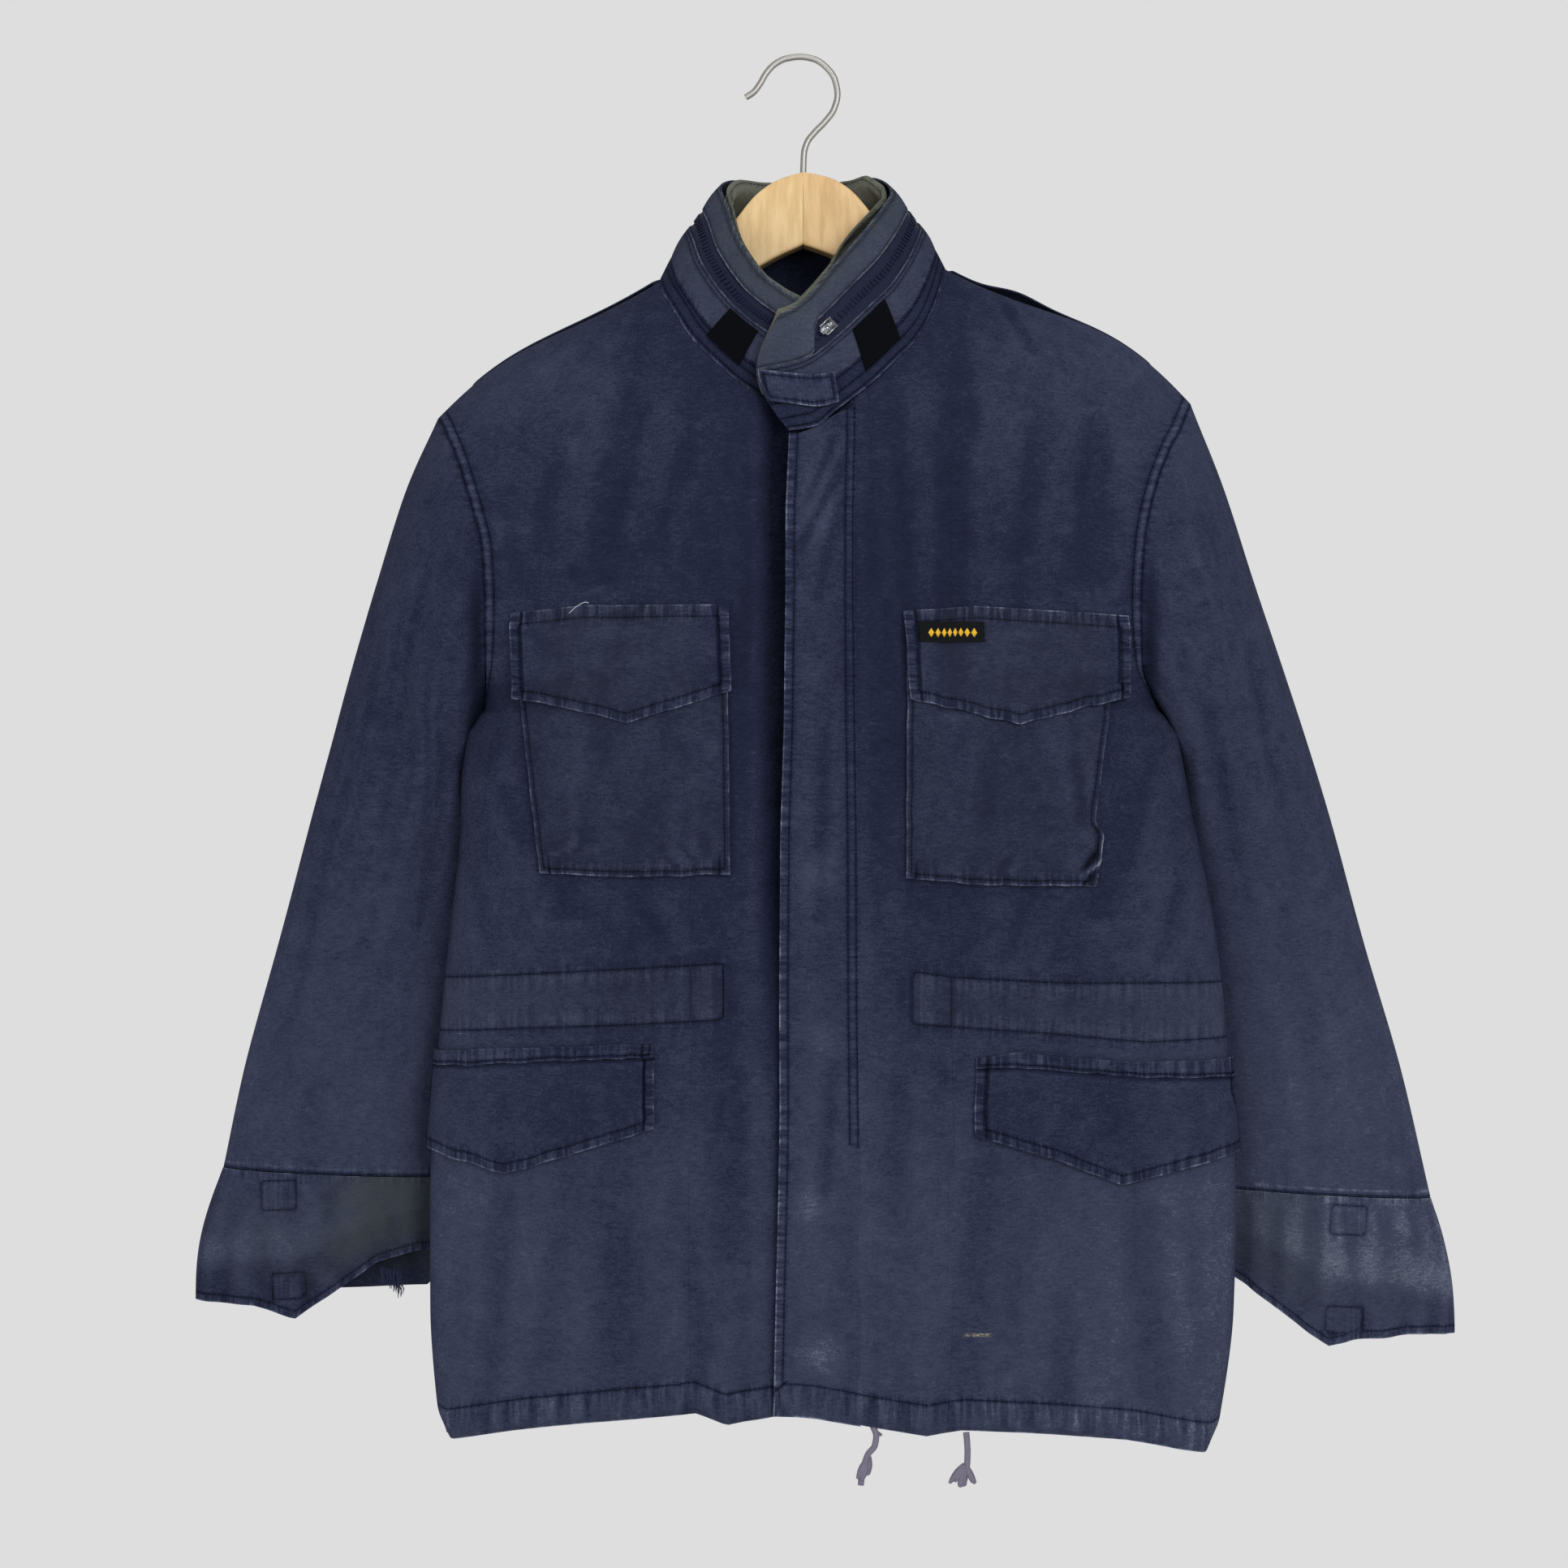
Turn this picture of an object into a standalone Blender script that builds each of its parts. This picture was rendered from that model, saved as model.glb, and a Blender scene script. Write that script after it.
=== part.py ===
"""Work jacket on a wooden hanger, built as its maker would cut it.

Units are metres in the scene and millimetres in the tables. +Z is up, the front
faces -Y, and the wearer's right side is at -X. The origin is the inner top of the
hook's wire, where the hanger hangs. Each panel is a loft through sections: a row
of a table gives the two ends of a section and how full it is between them.
"""
import math

import bmesh
import bpy
import numpy as np
from mathutils import Matrix, Vector

MM = 0.001

# Cloth and gaps
WALL = 2.0            # washed cotton shell with its facing
THIN_WALL = 1.5       # collar lining, zip tape
DOUBLE_WALL = 2.4     # fly, flaps, straps: two layers sewn together
SEAM_GAP = 0.4        # between two pieces that are sewn together
LAY_GAP = 0.8         # between a panel and what is sewn on it

# Columns of the panel tables, in millimetres: the section's inner end (at the
# front edge, neckline or centre back), its outer end (at the side seam or
# armhole), the power of its superellipse (1 is straight, 2 an ellipse) and the
# rise of its middle. Rows run from the hem (0) past the armpit (8) and the
# neckline's low point (12) to the shoulder ridge (20).
PANEL_COLUMNS = ("x_in", "y_in", "z_in", "x_out", "y_out", "z_out", "power", "rise")
ARMPIT_ROW = 8
NECK_ROW = 12
RIDGE_ROW = 20
FRONT_RIGHT = (
    (8.0, -54, -876, -233.0, -12, -898, 2.6, 6.0),
    (8.0, -55, -855, -236.0, -13, -878, 2.6, 6.0),
    (8.0, -58, -797, -240.5, -17, -811, 2.6, 3.0),
    (8.0, -63, -735, -240.5, -19, -745, 2.6, 0.0),
    (8.0, -68, -660, -236.0, -22, -662, 2.6, 0.0),
    (8.0, -72, -595, -230.0, -24, -595, 2.6, 0.0),
    (8.0, -76, -530, -222.5, -24, -530, 2.5, 0.0),
    (8.0, -79, -470, -214.0, -24, -470, 2.4, 0.0),
    (8.0, -80, -425, -205.0, -20, -425, 2.2, 0.0),
    (8.0, -81, -385, -202.0, -46, -397, 1.7, 0.0),
    (8.0, -82, -345, -201.5, -60, -360, 1.3, 0.0),
    (8.0, -82, -305, -203.0, -61, -325, 1.2, 0.0),
    (8.0, -81, -250, -209.0, -57, -300, 1.2, 0.0),
    (-17.0, -79.5, -235, -214.0, -53, -284, 1.2, 1.0),
    (-42.0, -75, -219, -219.0, -47, -269, 1.2, 2.0),
    (-56.0, -71, -206, -223.0, -41, -259, 1.15, 3.5),
    (-71.0, -63, -190, -228.0, -33, -249, 1.1, 5.0),
    (-82.0, -51, -171.5, -232.0, -23, -241, 1.1, 7.0),
    (-90.0, -35, -157, -235.0, -14, -237, 1.05, 9.0),
    (-92.7, -17, -148, -236.8, -7, -235, 1.0, 10.0),
    (-93.3, 0, -145.2, -237.4, 0, -234.3, 1.0, 10.5),
)
FRONT_LEFT = (
    (8.8, -54, -876, 267.0, -12, -905, 2.6, 3.0),
    (8.8, -55, -855, 270.5, -13, -884, 2.6, 3.0),
    (8.8, -58, -797, 279.0, -17, -815, 2.6, 1.0),
    (8.8, -63, -735, 280.5, -19, -745, 2.6, 0.0),
    (8.8, -68, -660, 276.0, -22, -662, 2.6, 0.0),
    (8.8, -72, -595, 270.0, -24, -595, 2.6, 0.0),
    (8.8, -76, -530, 259.5, -24, -530, 2.5, 0.0),
    (8.8, -79, -470, 242.0, -24, -470, 2.4, 0.0),
    (8.8, -80, -425, 230.0, -22, -425, 2.2, 0.0),
    (8.8, -81, -385, 217.0, -46, -397, 1.7, 0.0),
    (8.8, -82, -345, 215.0, -60, -360, 1.3, 0.0),
    (8.8, -82, -305, 216.5, -61, -325, 1.2, 0.0),
    (8.8, -81, -249, 221.0, -57, -298, 1.2, 0.0),
    (20.0, -80, -240, 226.5, -53, -279, 1.2, 1.0),
    (44.0, -76, -221, 232.5, -47, -264, 1.2, 3.0),
    (58.0, -71, -207, 237.0, -41, -255, 1.15, 5.0),
    (72.0, -63, -192, 242.5, -33, -246, 1.1, 7.5),
    (82.0, -52, -174, 247.5, -23, -236, 1.1, 10.0),
    (88.7, -35, -155, 251.0, -14, -229, 1.05, 13.0),
    (92.7, -17, -140, 252.8, -7, -225.5, 1.0, 14.5),
    (93.3, 0, -136.5, 253.3, 0, -224.2, 1.0, 15.0),
)
BACK_RIGHT = (
    (10.0, 22, -880, -233.0, -12, -898, 2.2, 0.0),
    (10.0, 23, -858, -236.0, -13, -878, 2.2, 0.0),
    (10.0, 25, -800, -240.5, -17, -811, 2.1, 0.0),
    (10.0, 27, -738, -240.5, -19, -745, 2.0, 0.0),
    (10.0, 29, -660, -236.0, -22, -662, 2.0, 0.0),
    (10.0, 31, -595, -230.0, -24, -595, 2.0, 0.0),
    (10.0, 33, -530, -222.5, -24, -530, 2.0, 0.0),
    (10.0, 35, -470, -214.0, -24, -470, 2.0, 0.0),
    (8.0, 36, -425, -205.0, -20, -425, 2.0, 0.0),
    (6.0, 37.5, -360, -203.0, -2, -405, 1.8, 0.0),
    (4.0, 38, -290, -203.0, 16, -372, 1.6, 0.0),
    (2.0, 38, -215, -206.0, 29, -335, 1.4, 3.0),
    (0.0, 38, -132, -211.0, 35, -303, 1.2, 6.0),
    (-20.0, 37.5, -131.5, -216.0, 35.5, -284, 1.2, 8.0),
    (-38.0, 36, -131.5, -220.0, 34, -269, 1.2, 9.0),
    (-55.0, 32.5, -132.5, -224.0, 31, -259, 1.1, 10.0),
    (-70.0, 27, -134, -228.5, 26, -250, 1.1, 10.0),
    (-81.0, 20.5, -136.5, -232.5, 19, -242.5, 1.1, 10.0),
    (-88.0, 14, -139.5, -235.0, 12, -238, 1.05, 10.5),
    (-92.2, 7, -143, -236.8, 6, -235.3, 1.0, 10.5),
    (-93.3, 0, -145.2, -237.4, 0, -234.3, 1.0, 10.5),
)
BACK_LEFT = (
    (10.0, 22, -880, 267.0, -12, -905, 2.2, 0.0),
    (10.0, 23, -858, 270.5, -13, -884, 2.2, 0.0),
    (10.0, 25, -800, 279.0, -17, -815, 2.1, 0.0),
    (10.0, 27, -738, 280.5, -19, -745, 2.0, 0.0),
    (10.0, 29, -660, 276.0, -22, -662, 2.0, 0.0),
    (10.0, 31, -595, 270.0, -24, -595, 2.0, 0.0),
    (10.0, 33, -530, 259.5, -24, -530, 2.0, 0.0),
    (10.0, 35, -470, 242.0, -24, -470, 2.0, 0.0),
    (8.0, 36, -425, 230.0, -22, -425, 2.0, 0.0),
    (6.0, 37.5, -360, 222.0, -4, -405, 1.8, 0.0),
    (4.0, 38, -290, 218.0, 16, -372, 1.6, 0.0),
    (2.0, 38, -215, 220.0, 29, -335, 1.4, 3.0),
    (0.0, 38, -132, 225.5, 35, -300, 1.2, 6.0),
    (20.0, 37.5, -131.5, 230.0, 35.5, -279, 1.2, 8.0),
    (38.0, 36, -131, 235.5, 34, -262, 1.2, 10.0),
    (55.0, 32.5, -131, 239.5, 31, -251, 1.1, 12.0),
    (70.0, 27, -131.5, 244.0, 26, -242, 1.1, 13.0),
    (81.0, 20.5, -132.5, 248.0, 19, -234, 1.1, 14.0),
    (88.0, 14, -134, 251.0, 12, -228.5, 1.05, 15.0),
    (92.2, 7, -135.5, 252.7, 6, -225.3, 1.0, 15.0),
    (93.3, 0, -136.5, 253.3, 0, -224.2, 1.0, 15.0),
)
RISE_SKEW = 1.8       # a shoulder droops most near its tip
COLUMN_CROWD = 1.4    # columns crowd towards the front edge
FRONT_ROWS = (0, 1, 2, 3, 4, 5, 5.5, 6, 6.5, 7, 7.5, *range(8, 21))

# The fronts lie deeper under the fly, down to the waist
RECESS = 7.0
RECESS_LOW = 2.6
RECESS_X = (-27.0, -14.0, 24.0, 35.0)
RECESS_Z = (-600.0, -540.0)

# Soft folds of the body, in the panel's own plane: the line's two ends, its
# half width and its depth (minus is a ridge)
FOLD_COLUMNS = ("x_top", "z_top", "x_low", "z_low", "half_width", "depth")
FOLDS_FRONT_RIGHT = (
    (-100, -170, -128, -350, 16, 3.0),
    (-180, -440, -150, -560, 18, 3.0),
    (-60, -560, -40, -780, 22, 2.5),
    (-190, -720, -205, -880, 14, 3.5),
    (-120, -730, -110, -880, 20, 2.5),
    (-66, -845, -68, -885, 9, 3.0),
)
FOLDS_FRONT_LEFT = (
    (96, -185, 92, -430, 14, 3.5),
    (190, -230, 178, -350, 16, 2.5),
    (215, -440, 190, -560, 18, 3.5),
    (120, -700, 100, -880, 20, 2.5),
    (215, -730, 228, -885, 18, 3.5),
    (165, -820, 168, -885, 10, 2.5),
)
FOLDS_BACK_RIGHT = (
    (-70, -200, -95, -420, 26, 4.0),
    (-150, -430, -165, -640, 24, 4.0),
    (-60, -560, -70, -860, 26, 4.5),
    (-165, -720, -180, -890, 18, 3.5),
)
FOLDS_BACK_LEFT = (
    (80, -210, 110, -430, 28, 4.5),
    (185, -450, 165, -640, 22, 4.0),
    (75, -600, 95, -870, 26, 4.0),
    (200, -740, 190, -890, 20, 3.5),
)

# Columns of the sleeve tables: the section's outer end on the arm's outline, its
# inner end against the body, and its depth in front of and behind their line.
SLEEVE_COLUMNS = ("x_out", "y_out", "z_out", "x_in", "y_in", "z_in", "front", "back")
SLEEVE_RIGHT = (
    (-237.4, 0, -234.3, -205.0, -20, -425, 61, 36),
    (-257.5, 3, -278, -214.5, -12, -446, 53, 38),
    (-278.0, 6, -342, -216.5, 0, -466, 45, 38),
    (-297.0, 8, -406, -213.5, 8, -502, 38, 36),
    (-320.0, 8, -491, -215.0, 12, -556, 32, 32),
    (-342.6, 8, -576, -220.0, 13, -616, 28, 28),
    (-366.0, 8, -661, -227.5, 13, -676, 25, 25),
    (-379.0, 8, -723, -232.0, 13, -729.5, 22, 22),
)
SLEEVE_LEFT = (
    (253.3, 0, -224.2, 230.0, -22, -425, 61, 36),
    (275.0, 3, -278, 242.5, -14, -447, 53, 38),
    (296.0, 6, -342, 246.0, -2, -468, 45, 38),
    (318.0, 8, -406, 247.5, 7, -503, 38, 36),
    (345.0, 8, -491, 253.0, 12, -558, 32, 32),
    (368.0, 8, -576, 260.5, 13, -620, 28, 28),
    (393.0, 8, -661, 267.5, 13, -682, 25, 25),
    (412.0, 8, -743, 271.0, 13, -736, 22, 22),
)
ARMHOLE_BLEND = 2.2   # sections over which the armhole's shape fades
SLEEVE_PLACES = (0, 0.3, 0.8, 1.35, 1.9, 2.45, 3.0, 3.55, 4.1, 4.7, 5.3, 5.9, 6.5, 7)
# Long folds of a sleeve: place round it (0 outer edge, 0.25 front, 0.5 inner
# edge, 0.75 back), first and last section, half width round it, depth in mm
SLEEVE_FOLD_COLUMNS = ("turn_top", "turn_low", "start", "end", "half_width", "depth")
SLEEVE_FOLDS_RIGHT = (
    (0.20, 0.24, 0.6, 4.0, 0.035, 4.0),
    (0.36, 0.33, 1.6, 5.5, 0.035, 4.5),
    (0.13, 0.11, 3.2, 6.8, 0.030, 3.0),
    (0.74, 0.68, 0.8, 4.4, 0.040, 4.5),
    (0.86, 0.83, 3.0, 6.6, 0.035, 3.5),
)
SLEEVE_FOLDS_LEFT = (
    (0.15, 0.19, 0.7, 4.6, 0.030, 4.0),
    (0.33, 0.30, 0.9, 4.8, 0.035, 5.0),
    (0.22, 0.24, 4.0, 6.8, 0.030, 3.0),
    (0.70, 0.74, 0.9, 4.6, 0.040, 4.5),
    (0.88, 0.82, 2.8, 6.4, 0.035, 3.5),
)

# Cuffs: bottom section, then the lower edge as height against the place across
# the cuff (0 outer edge, 1 inner edge), on the front and on the back
CUFF_RIGHT_END = (-397.5, 8, -810, -236.0, 13, -790, 19, 19)
CUFF_LEFT_END = (428.0, 8, -832, 275.0, 13, -800, 19, 19)
CUFF_BULGE = 5.0
CUFF_GAP = 0.3
EDGE_COLUMNS = ("across", "height")
CUFF_RIGHT_FRONT = (
    (0.00, -810), (0.25, -812), (0.42, -820.5), (0.57, -804), (0.75, -784),
    (0.90, -777.5), (1.00, -777),
)
CUFF_RIGHT_BACK = ((0.00, -810), (0.30, -808), (0.70, -805.5), (0.93, -803), (1.00, -790))
CUFF_LEFT_FRONT = (
    (0.00, -832), (0.20, -831), (0.45, -834.5), (0.56, -838.5), (0.72, -821),
    (0.90, -800), (1.00, -790),
)
CUFF_LEFT_BACK = ((0.00, -832), (0.30, -826), (0.70, -800), (1.00, -788))

# Collar: top edge at each neckline station, from the wearer's right front (0)
# round the back (16) to the left front, which laps over the right (34)
COLLAR_COLUMNS = ("station", "x_top", "y_top", "z_top", "x_bulge", "y_bulge")
COLLAR_TOP = (
    (0, 9.0, -74, -173, 0, 0),
    (1, 0.0, -74, -169, 0, -1),
    (2, -10.0, -72, -162.5, -1, -2),
    (3, -18.0, -68, -156, -2, -2),
    (4, -25.0, -61, -149, -2, -2),
    (5, -35.0, -46, -133, -3, -1),
    (6, -42.0, -31, -118, -3, 0),
    (7, -48.0, -15, -98, -3, 0),
    (8, -53.5, 0, -82, -3, 0),
    (10, -43.0, 16, -75.5, -2, 2),
    (12, -29.0, 25, -76, -1, 3),
    (14, -14.5, 30, -77, 0, 4),
    (16, 0.0, 32, -77.5, 0, 4),
    (18, 14.0, 30, -77, 0, 4),
    (20, 30.0, 25, -75.5, 1, 3),
    (22, 45.0, 15, -74, 2, 2),
    (24, 57.0, -2, -82, 3, 0),
    (25, 58.0, -12, -88, 3, 0),
    (26, 54.0, -23, -97, 3, 0),
    (27, 47.0, -34, -108, 3, -1),
    (28, 38.0, -47, -121, 3, -2),
    (29, 28.0, -58, -134, 2, -2),
    (30, 18.0, -67, -147, 1, -3),
    (31, 8.0, -77, -161, 0, -3),
    (32, -2.0, -85, -172, -6, -3),
    (33, -14.0, -89, -180, -17, -1),
)
LAST_STATION = 33
LAP_POINT = (-8.5, -89.5, -252.5)   # neckline end of the left front's band
LAP_LIFT = 3.0                      # the lapping end stands this far forward
BAND_TOP = 0.25                     # heights on the collar, 0 neckline to 1 top
ZIP_LOW = (0.58, 0.52)
ZIP_HIGH = (0.76, 0.75)
ZIP_SINK = 1.3
SLIDER_SIZE = (9.0, 6.0, 2.6)
ZIP_MARGIN = 0.8
ZIP_STATIONS = (1, 31.4)
# The lining's section: fraction of the collar's height below the top, rise above
# the edge and distance inside the outer cloth, in mm
LINING_COLUMNS = ("down", "rise", "inside")
LINING = (
    (0.03, 0.0, 3.4), (0.00, 2.6, 4.4), (0.00, 3.2, 7.0), (0.06, 0.5, 9.5),
    (0.22, 0.0, 9.0), (0.45, 0.0, 7.5), (0.68, 0.0, 6.5),
)

LINING_LEAST = 4.3    # inside, where the fronts lap

# Hanger
HANGER_COLUMNS = ("x", "z_top", "z_low", "half_thickness")
HANGER_CENTRE = (
    (0.0, -74.3, -122.0, 9.0), (16.0, -78.5, -128.5, 9.0), (30.0, -87.0, -135.5, 9.0),
    (44.0, -103.0, -142.5, 9.0), (60.0, -124.0, -151.0, 9.0), (76.0, -140.5, -160.0, 9.0),
)
HANGER_ARM_X = (96, 120, 145, 170, 195, 212, 222)
HANGER_ARM_DEPTH = (22, 25, 27, 28, 27, 24, 18)
HANGER_ARM_HALF = (9, 10, 12, 14, 15, 14, 11)
HANGER_TILT = 0.055                 # the wearer's right arm hangs lower
HANGER_SEAT = 0.8                   # below the shoulder's inner face
HANGER_ARM_BELOW = ((90, 230), (-190, -290))
HANGER_X = 0.8
MITRE_GAP = 0.3
HOOK_RADIUS = 2.1
# Route of the hook's wire in the XZ plane, tip to stem
HOOK_ROUTE = (
    (-36.6, -24.4), (-31.5, -21.0), (-27.3, -15.5), (-23.5, -9.0), (-18.0, -3.0),
    (-10.0, 1.0), (-1.0, 2.1), (8.0, 0.6), (16.0, -4.8), (21.5, -12.8), (23.3, -22.5),
    (21.0, -32.0), (15.2, -40.2), (8.6, -47.0), (3.6, -53.5), (1.4, -61.0), (0.8, -74.35),
)

# Fly: height, its free edge and its stitched edge
FLY_COLUMNS = ("z", "x_edge", "x_sewn")
FLY = (
    (-875, -18.4, 37), (-795, -16.8, 37), (-735, -15.3, 37), (-681, -14.4, 36.5),
    (-607, -14.7, 35.5), (-505, -14.0, 35), (-440, -11.9, 34), (-355, -10.8, 33),
    (-300, -10.6, 33), (-254, -8.6, 34),
)

FLY_CLEAR = 2.0       # below the neck band

# Pieces that lie on the fronts: corners run along the top, then along the
# bottom, both from the wearer's right to left
POCKET_LIFT = 1.0
CHEST_LIFT = 1.9
CHEST_POCKET_RIGHT = {
    "top": ((-180.0, -398), (-113.0, -396), (-47.0, -398)),
    "bottom": ((-165.5, -529), (-108.0, -531), (-45.3, -529)),
}
CHEST_POCKET_LEFT = {
    "top": ((65.5, -398), (131.0, -396), (197.0, -398)),
    "bottom": ((65.0, -531.5), (114.5, -536), (178.0, -537)),
}
CHEST_FLAP_RIGHT = {
    "top": ((-184.0, -365), (-137.0, -360.5), (-46.2, -360.5)),
    "bottom": ((-181.0, -417.5), (-108.4, -434.6), (-44.2, -414.2)),
}
CHEST_FLAP_LEFT = {
    "top": ((63.1, -364.5), (108.9, -361.3), (206.0, -366.2)),
    "bottom": ((66.7, -420), (135.7, -435.5), (204.8, -418.4)),
}
WELT_RIGHT = {
    "top": ((-235.3, -643.5), (-160.0, -639), (-94.2, -636.8)),
    "bottom": ((-235.8, -652.9), (-160.0, -647.4), (-93.9, -644.9)),
}
WELT_LEFT = {
    "top": ((109.3, -645), (134.6, -642.6), (218.3, -649.5), (274.6, -648)),
    "bottom": ((109.3, -652.1), (134.6, -651), (218.3, -658.3), (275.4, -660)),
}
LOW_FLAP_RIGHT = {
    "top": ((-235.9, -653.4), (-160.0, -648), (-93.7, -645.4)),
    "bottom": ((-239.6, -706), (-187.4, -719.8), (-93.7, -690)),
}
LOW_FLAP_LEFT = {
    "top": ((109.3, -652.7), (134.6, -651.6), (218.3, -658.9), (275.4, -660.6)),
    "bottom": ((108.4, -694.4), (160.0, -709.5), (202.1, -726.7), (279.8, -708)),
}
LABEL = {
    "top": ((72.0, -371), (92.0, -371), (113.6, -371)),
    "bottom": ((72.0, -384), (92.0, -384), (113.6, -384)),
}
FLAP_LIFT = 4.9       # over the pocket; its top row lies on the front
CHEST_FLAP_ROWS = 5

# Throat tab and hook-and-loop patches, by collar station and height
TAB = {"stations": (30.15, 33.0), "heights": (0.24, 0.50)}
PATCHES = {
    "patch_right": {"stations": (2.6, 4.6), "heights": (0.14, 0.52)},
    "patch_left": {"stations": (28.3, 29.9), "heights": (0.12, 0.47)},
}

# Shoulder straps, in the back panels' own rows and columns
STRAP_ROWS = (16.5, 17, 18, 19, 19.5)
STRAP_COLUMNS = (2, 10)
BACK_COLUMNS = 11
STRAP_ARCH = {"strap_right": 0.0, "strap_left": 5.0}
STRAP_ARCH_AT = 0.42

# Drawcord ends: where each leaves the hem, then its route down
CORD_DIAMETER = 4.0
CORDS = {
    "drawcord_right": (
        (44.8, -50.5, -881.2), (47.0, -52.0, -887.4), (46.0, -53.0, -893.5),
        (41.8, -52.5, -899.0), (39.4, -51.5, -906.0), (37.8, -50.5, -913.0),
        (37.3, -50.0, -919.0),
    ),
    "drawcord_left": (
        (104.4, -49.0, -885.7), (104.9, -50.5, -891.5), (105.2, -50.5, -898.0),
        (105.0, -50.0, -905.0), (104.0, -49.0, -912.0), (102.6, -48.0, -919.5),
    ),
}

COLOURS = {
    "navy_cotton": ((0.045, 0.055, 0.105), 0.9, 0.0),
    "grey_lining": ((0.085, 0.09, 0.085), 0.95, 0.0),
    "black_hook_tape": ((0.01, 0.01, 0.015), 0.95, 0.0),
    "zip_tape": ((0.02, 0.03, 0.06), 0.8, 0.0),
    "woven_label": ((0.012, 0.012, 0.012), 0.8, 0.0),
    "pale_beech": ((0.72, 0.53, 0.27), 0.45, 0.0),
    "steel_wire": ((0.6, 0.6, 0.6), 0.3, 1.0),
    "grey_cord": ((0.13, 0.12, 0.17), 0.9, 0.0),
}


def smooth(table, places):
    """Read a table between its rows, without overshoot. Places are row numbers."""
    rows = np.array(table, dtype=float)
    steps = np.diff(rows, axis=0)
    slopes = np.zeros_like(rows)
    slopes[0], slopes[-1] = steps[0], steps[-1]
    product = steps[:-1] * steps[1:]
    total = np.where(product > 0, steps[:-1] + steps[1:], 1.0)
    slopes[1:-1] = np.where(product > 0, 2 * product / total, 0.0)
    places = np.asarray(places, dtype=float)
    low = np.clip(np.floor(places).astype(int), 0, len(rows) - 2)
    f = (places - low)[..., None]
    return ((1 + 2 * f) * (1 - f) ** 2 * rows[low] + f * (1 - f) ** 2 * slopes[low]
            + f ** 2 * (3 - 2 * f) * rows[low + 1] + f ** 2 * (f - 1) * slopes[low + 1])


def line(points, x):
    """Read a broken line at x."""
    points = np.array(points, dtype=float)
    order = np.argsort(points[:, 0])
    return np.interp(x, points[order, 0], points[order, 1])


def ramp(low, high, value):
    f = np.clip((value - low) / (high - low), 0.0, 1.0)
    return f * f * (3 - 2 * f)


def fold_depth(folds, x, z):
    """Sum of the folds near a point of a panel, fading at each fold's ends."""
    total = np.zeros(np.broadcast(x, z).shape)
    for x_top, z_top, x_low, z_low, half_width, depth in folds:
        along = np.clip((z - z_top) / (z_low - z_top), 0, 1)
        beside = x - (x_top + (x_low - x_top) * along)
        past = np.maximum(z - z_top, 0) + np.maximum(z_low - z, 0)
        fade = np.sin(math.pi * np.clip(along, 0.04, 1)) ** 0.5
        total += depth * fade * np.exp(-(beside / half_width) ** 2 - (past / 25) ** 2)
    return total


PANELS = {
    "front_right": (FRONT_RIGHT, FOLDS_FRONT_RIGHT, 1),
    "front_left": (FRONT_LEFT, FOLDS_FRONT_LEFT, 1),
    "back_right": (BACK_RIGHT, FOLDS_BACK_RIGHT, -1),
    "back_left": (BACK_LEFT, FOLDS_BACK_LEFT, -1),
}


def panel_point(panel, row, column, recessed=True):
    """Outer face of a panel at a row and a column (0 inner end, 1 outer end)."""
    table, folds, inward = PANELS[panel]
    row, column = np.broadcast_arrays(np.asarray(row, float), np.asarray(column, float))
    x_in, y_in, z_in, x_out, y_out, z_out, power, rise = np.moveaxis(smooth(table, row), -1, 0)
    turn = math.pi / 2 * np.clip(column, 0, 1) ** COLUMN_CROWD
    across = np.sin(turn) ** (2 / power)
    deep = np.clip(np.cos(turn), 0, 1) ** (2 / power)
    x = x_in + (x_out - x_in) * across
    y = y_out + (y_in - y_out) * deep
    z = z_in + (z_out - z_in) * across + rise * np.sin(math.pi * across ** RISE_SKEW)
    edge_fade = ramp(0, 0.12, 1 - column) * ramp(0, 1.5, RIDGE_ROW - row)
    y = y + inward * fold_depth(folds, x, z) * edge_fade
    if recessed and panel.startswith("front"):
        x0, x1, x2, x3 = RECESS_X
        sunk = RECESS_LOW + (RECESS - RECESS_LOW) * ramp(*RECESS_Z, z)
        y = y + sunk * ramp(x0, x1, x) * (1 - ramp(x2, x3, x))
    return np.stack([x, y, z], axis=-1)


def unit(vectors):
    return vectors / np.maximum(np.linalg.norm(vectors, axis=-1, keepdims=True), 1e-9)


def panel_normal(panel, row, column, recessed=True):
    """Outward normal of a panel's outer face."""
    d = 0.02
    row_low, row_high = np.maximum(row - d, 0), np.minimum(row + d, RIDGE_ROW)
    col_low, col_high = np.maximum(column - d, 0.001), np.minimum(column + d, 0.999)
    along = panel_point(panel, row_high, column, recessed) - panel_point(panel, row_low, column, recessed)
    across = panel_point(panel, row, col_high, recessed) - panel_point(panel, row, col_low, recessed)
    turned = -1.0 if panel in ("front_right", "back_left") else 1.0
    return unit(np.cross(across, along)) * turned


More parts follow.
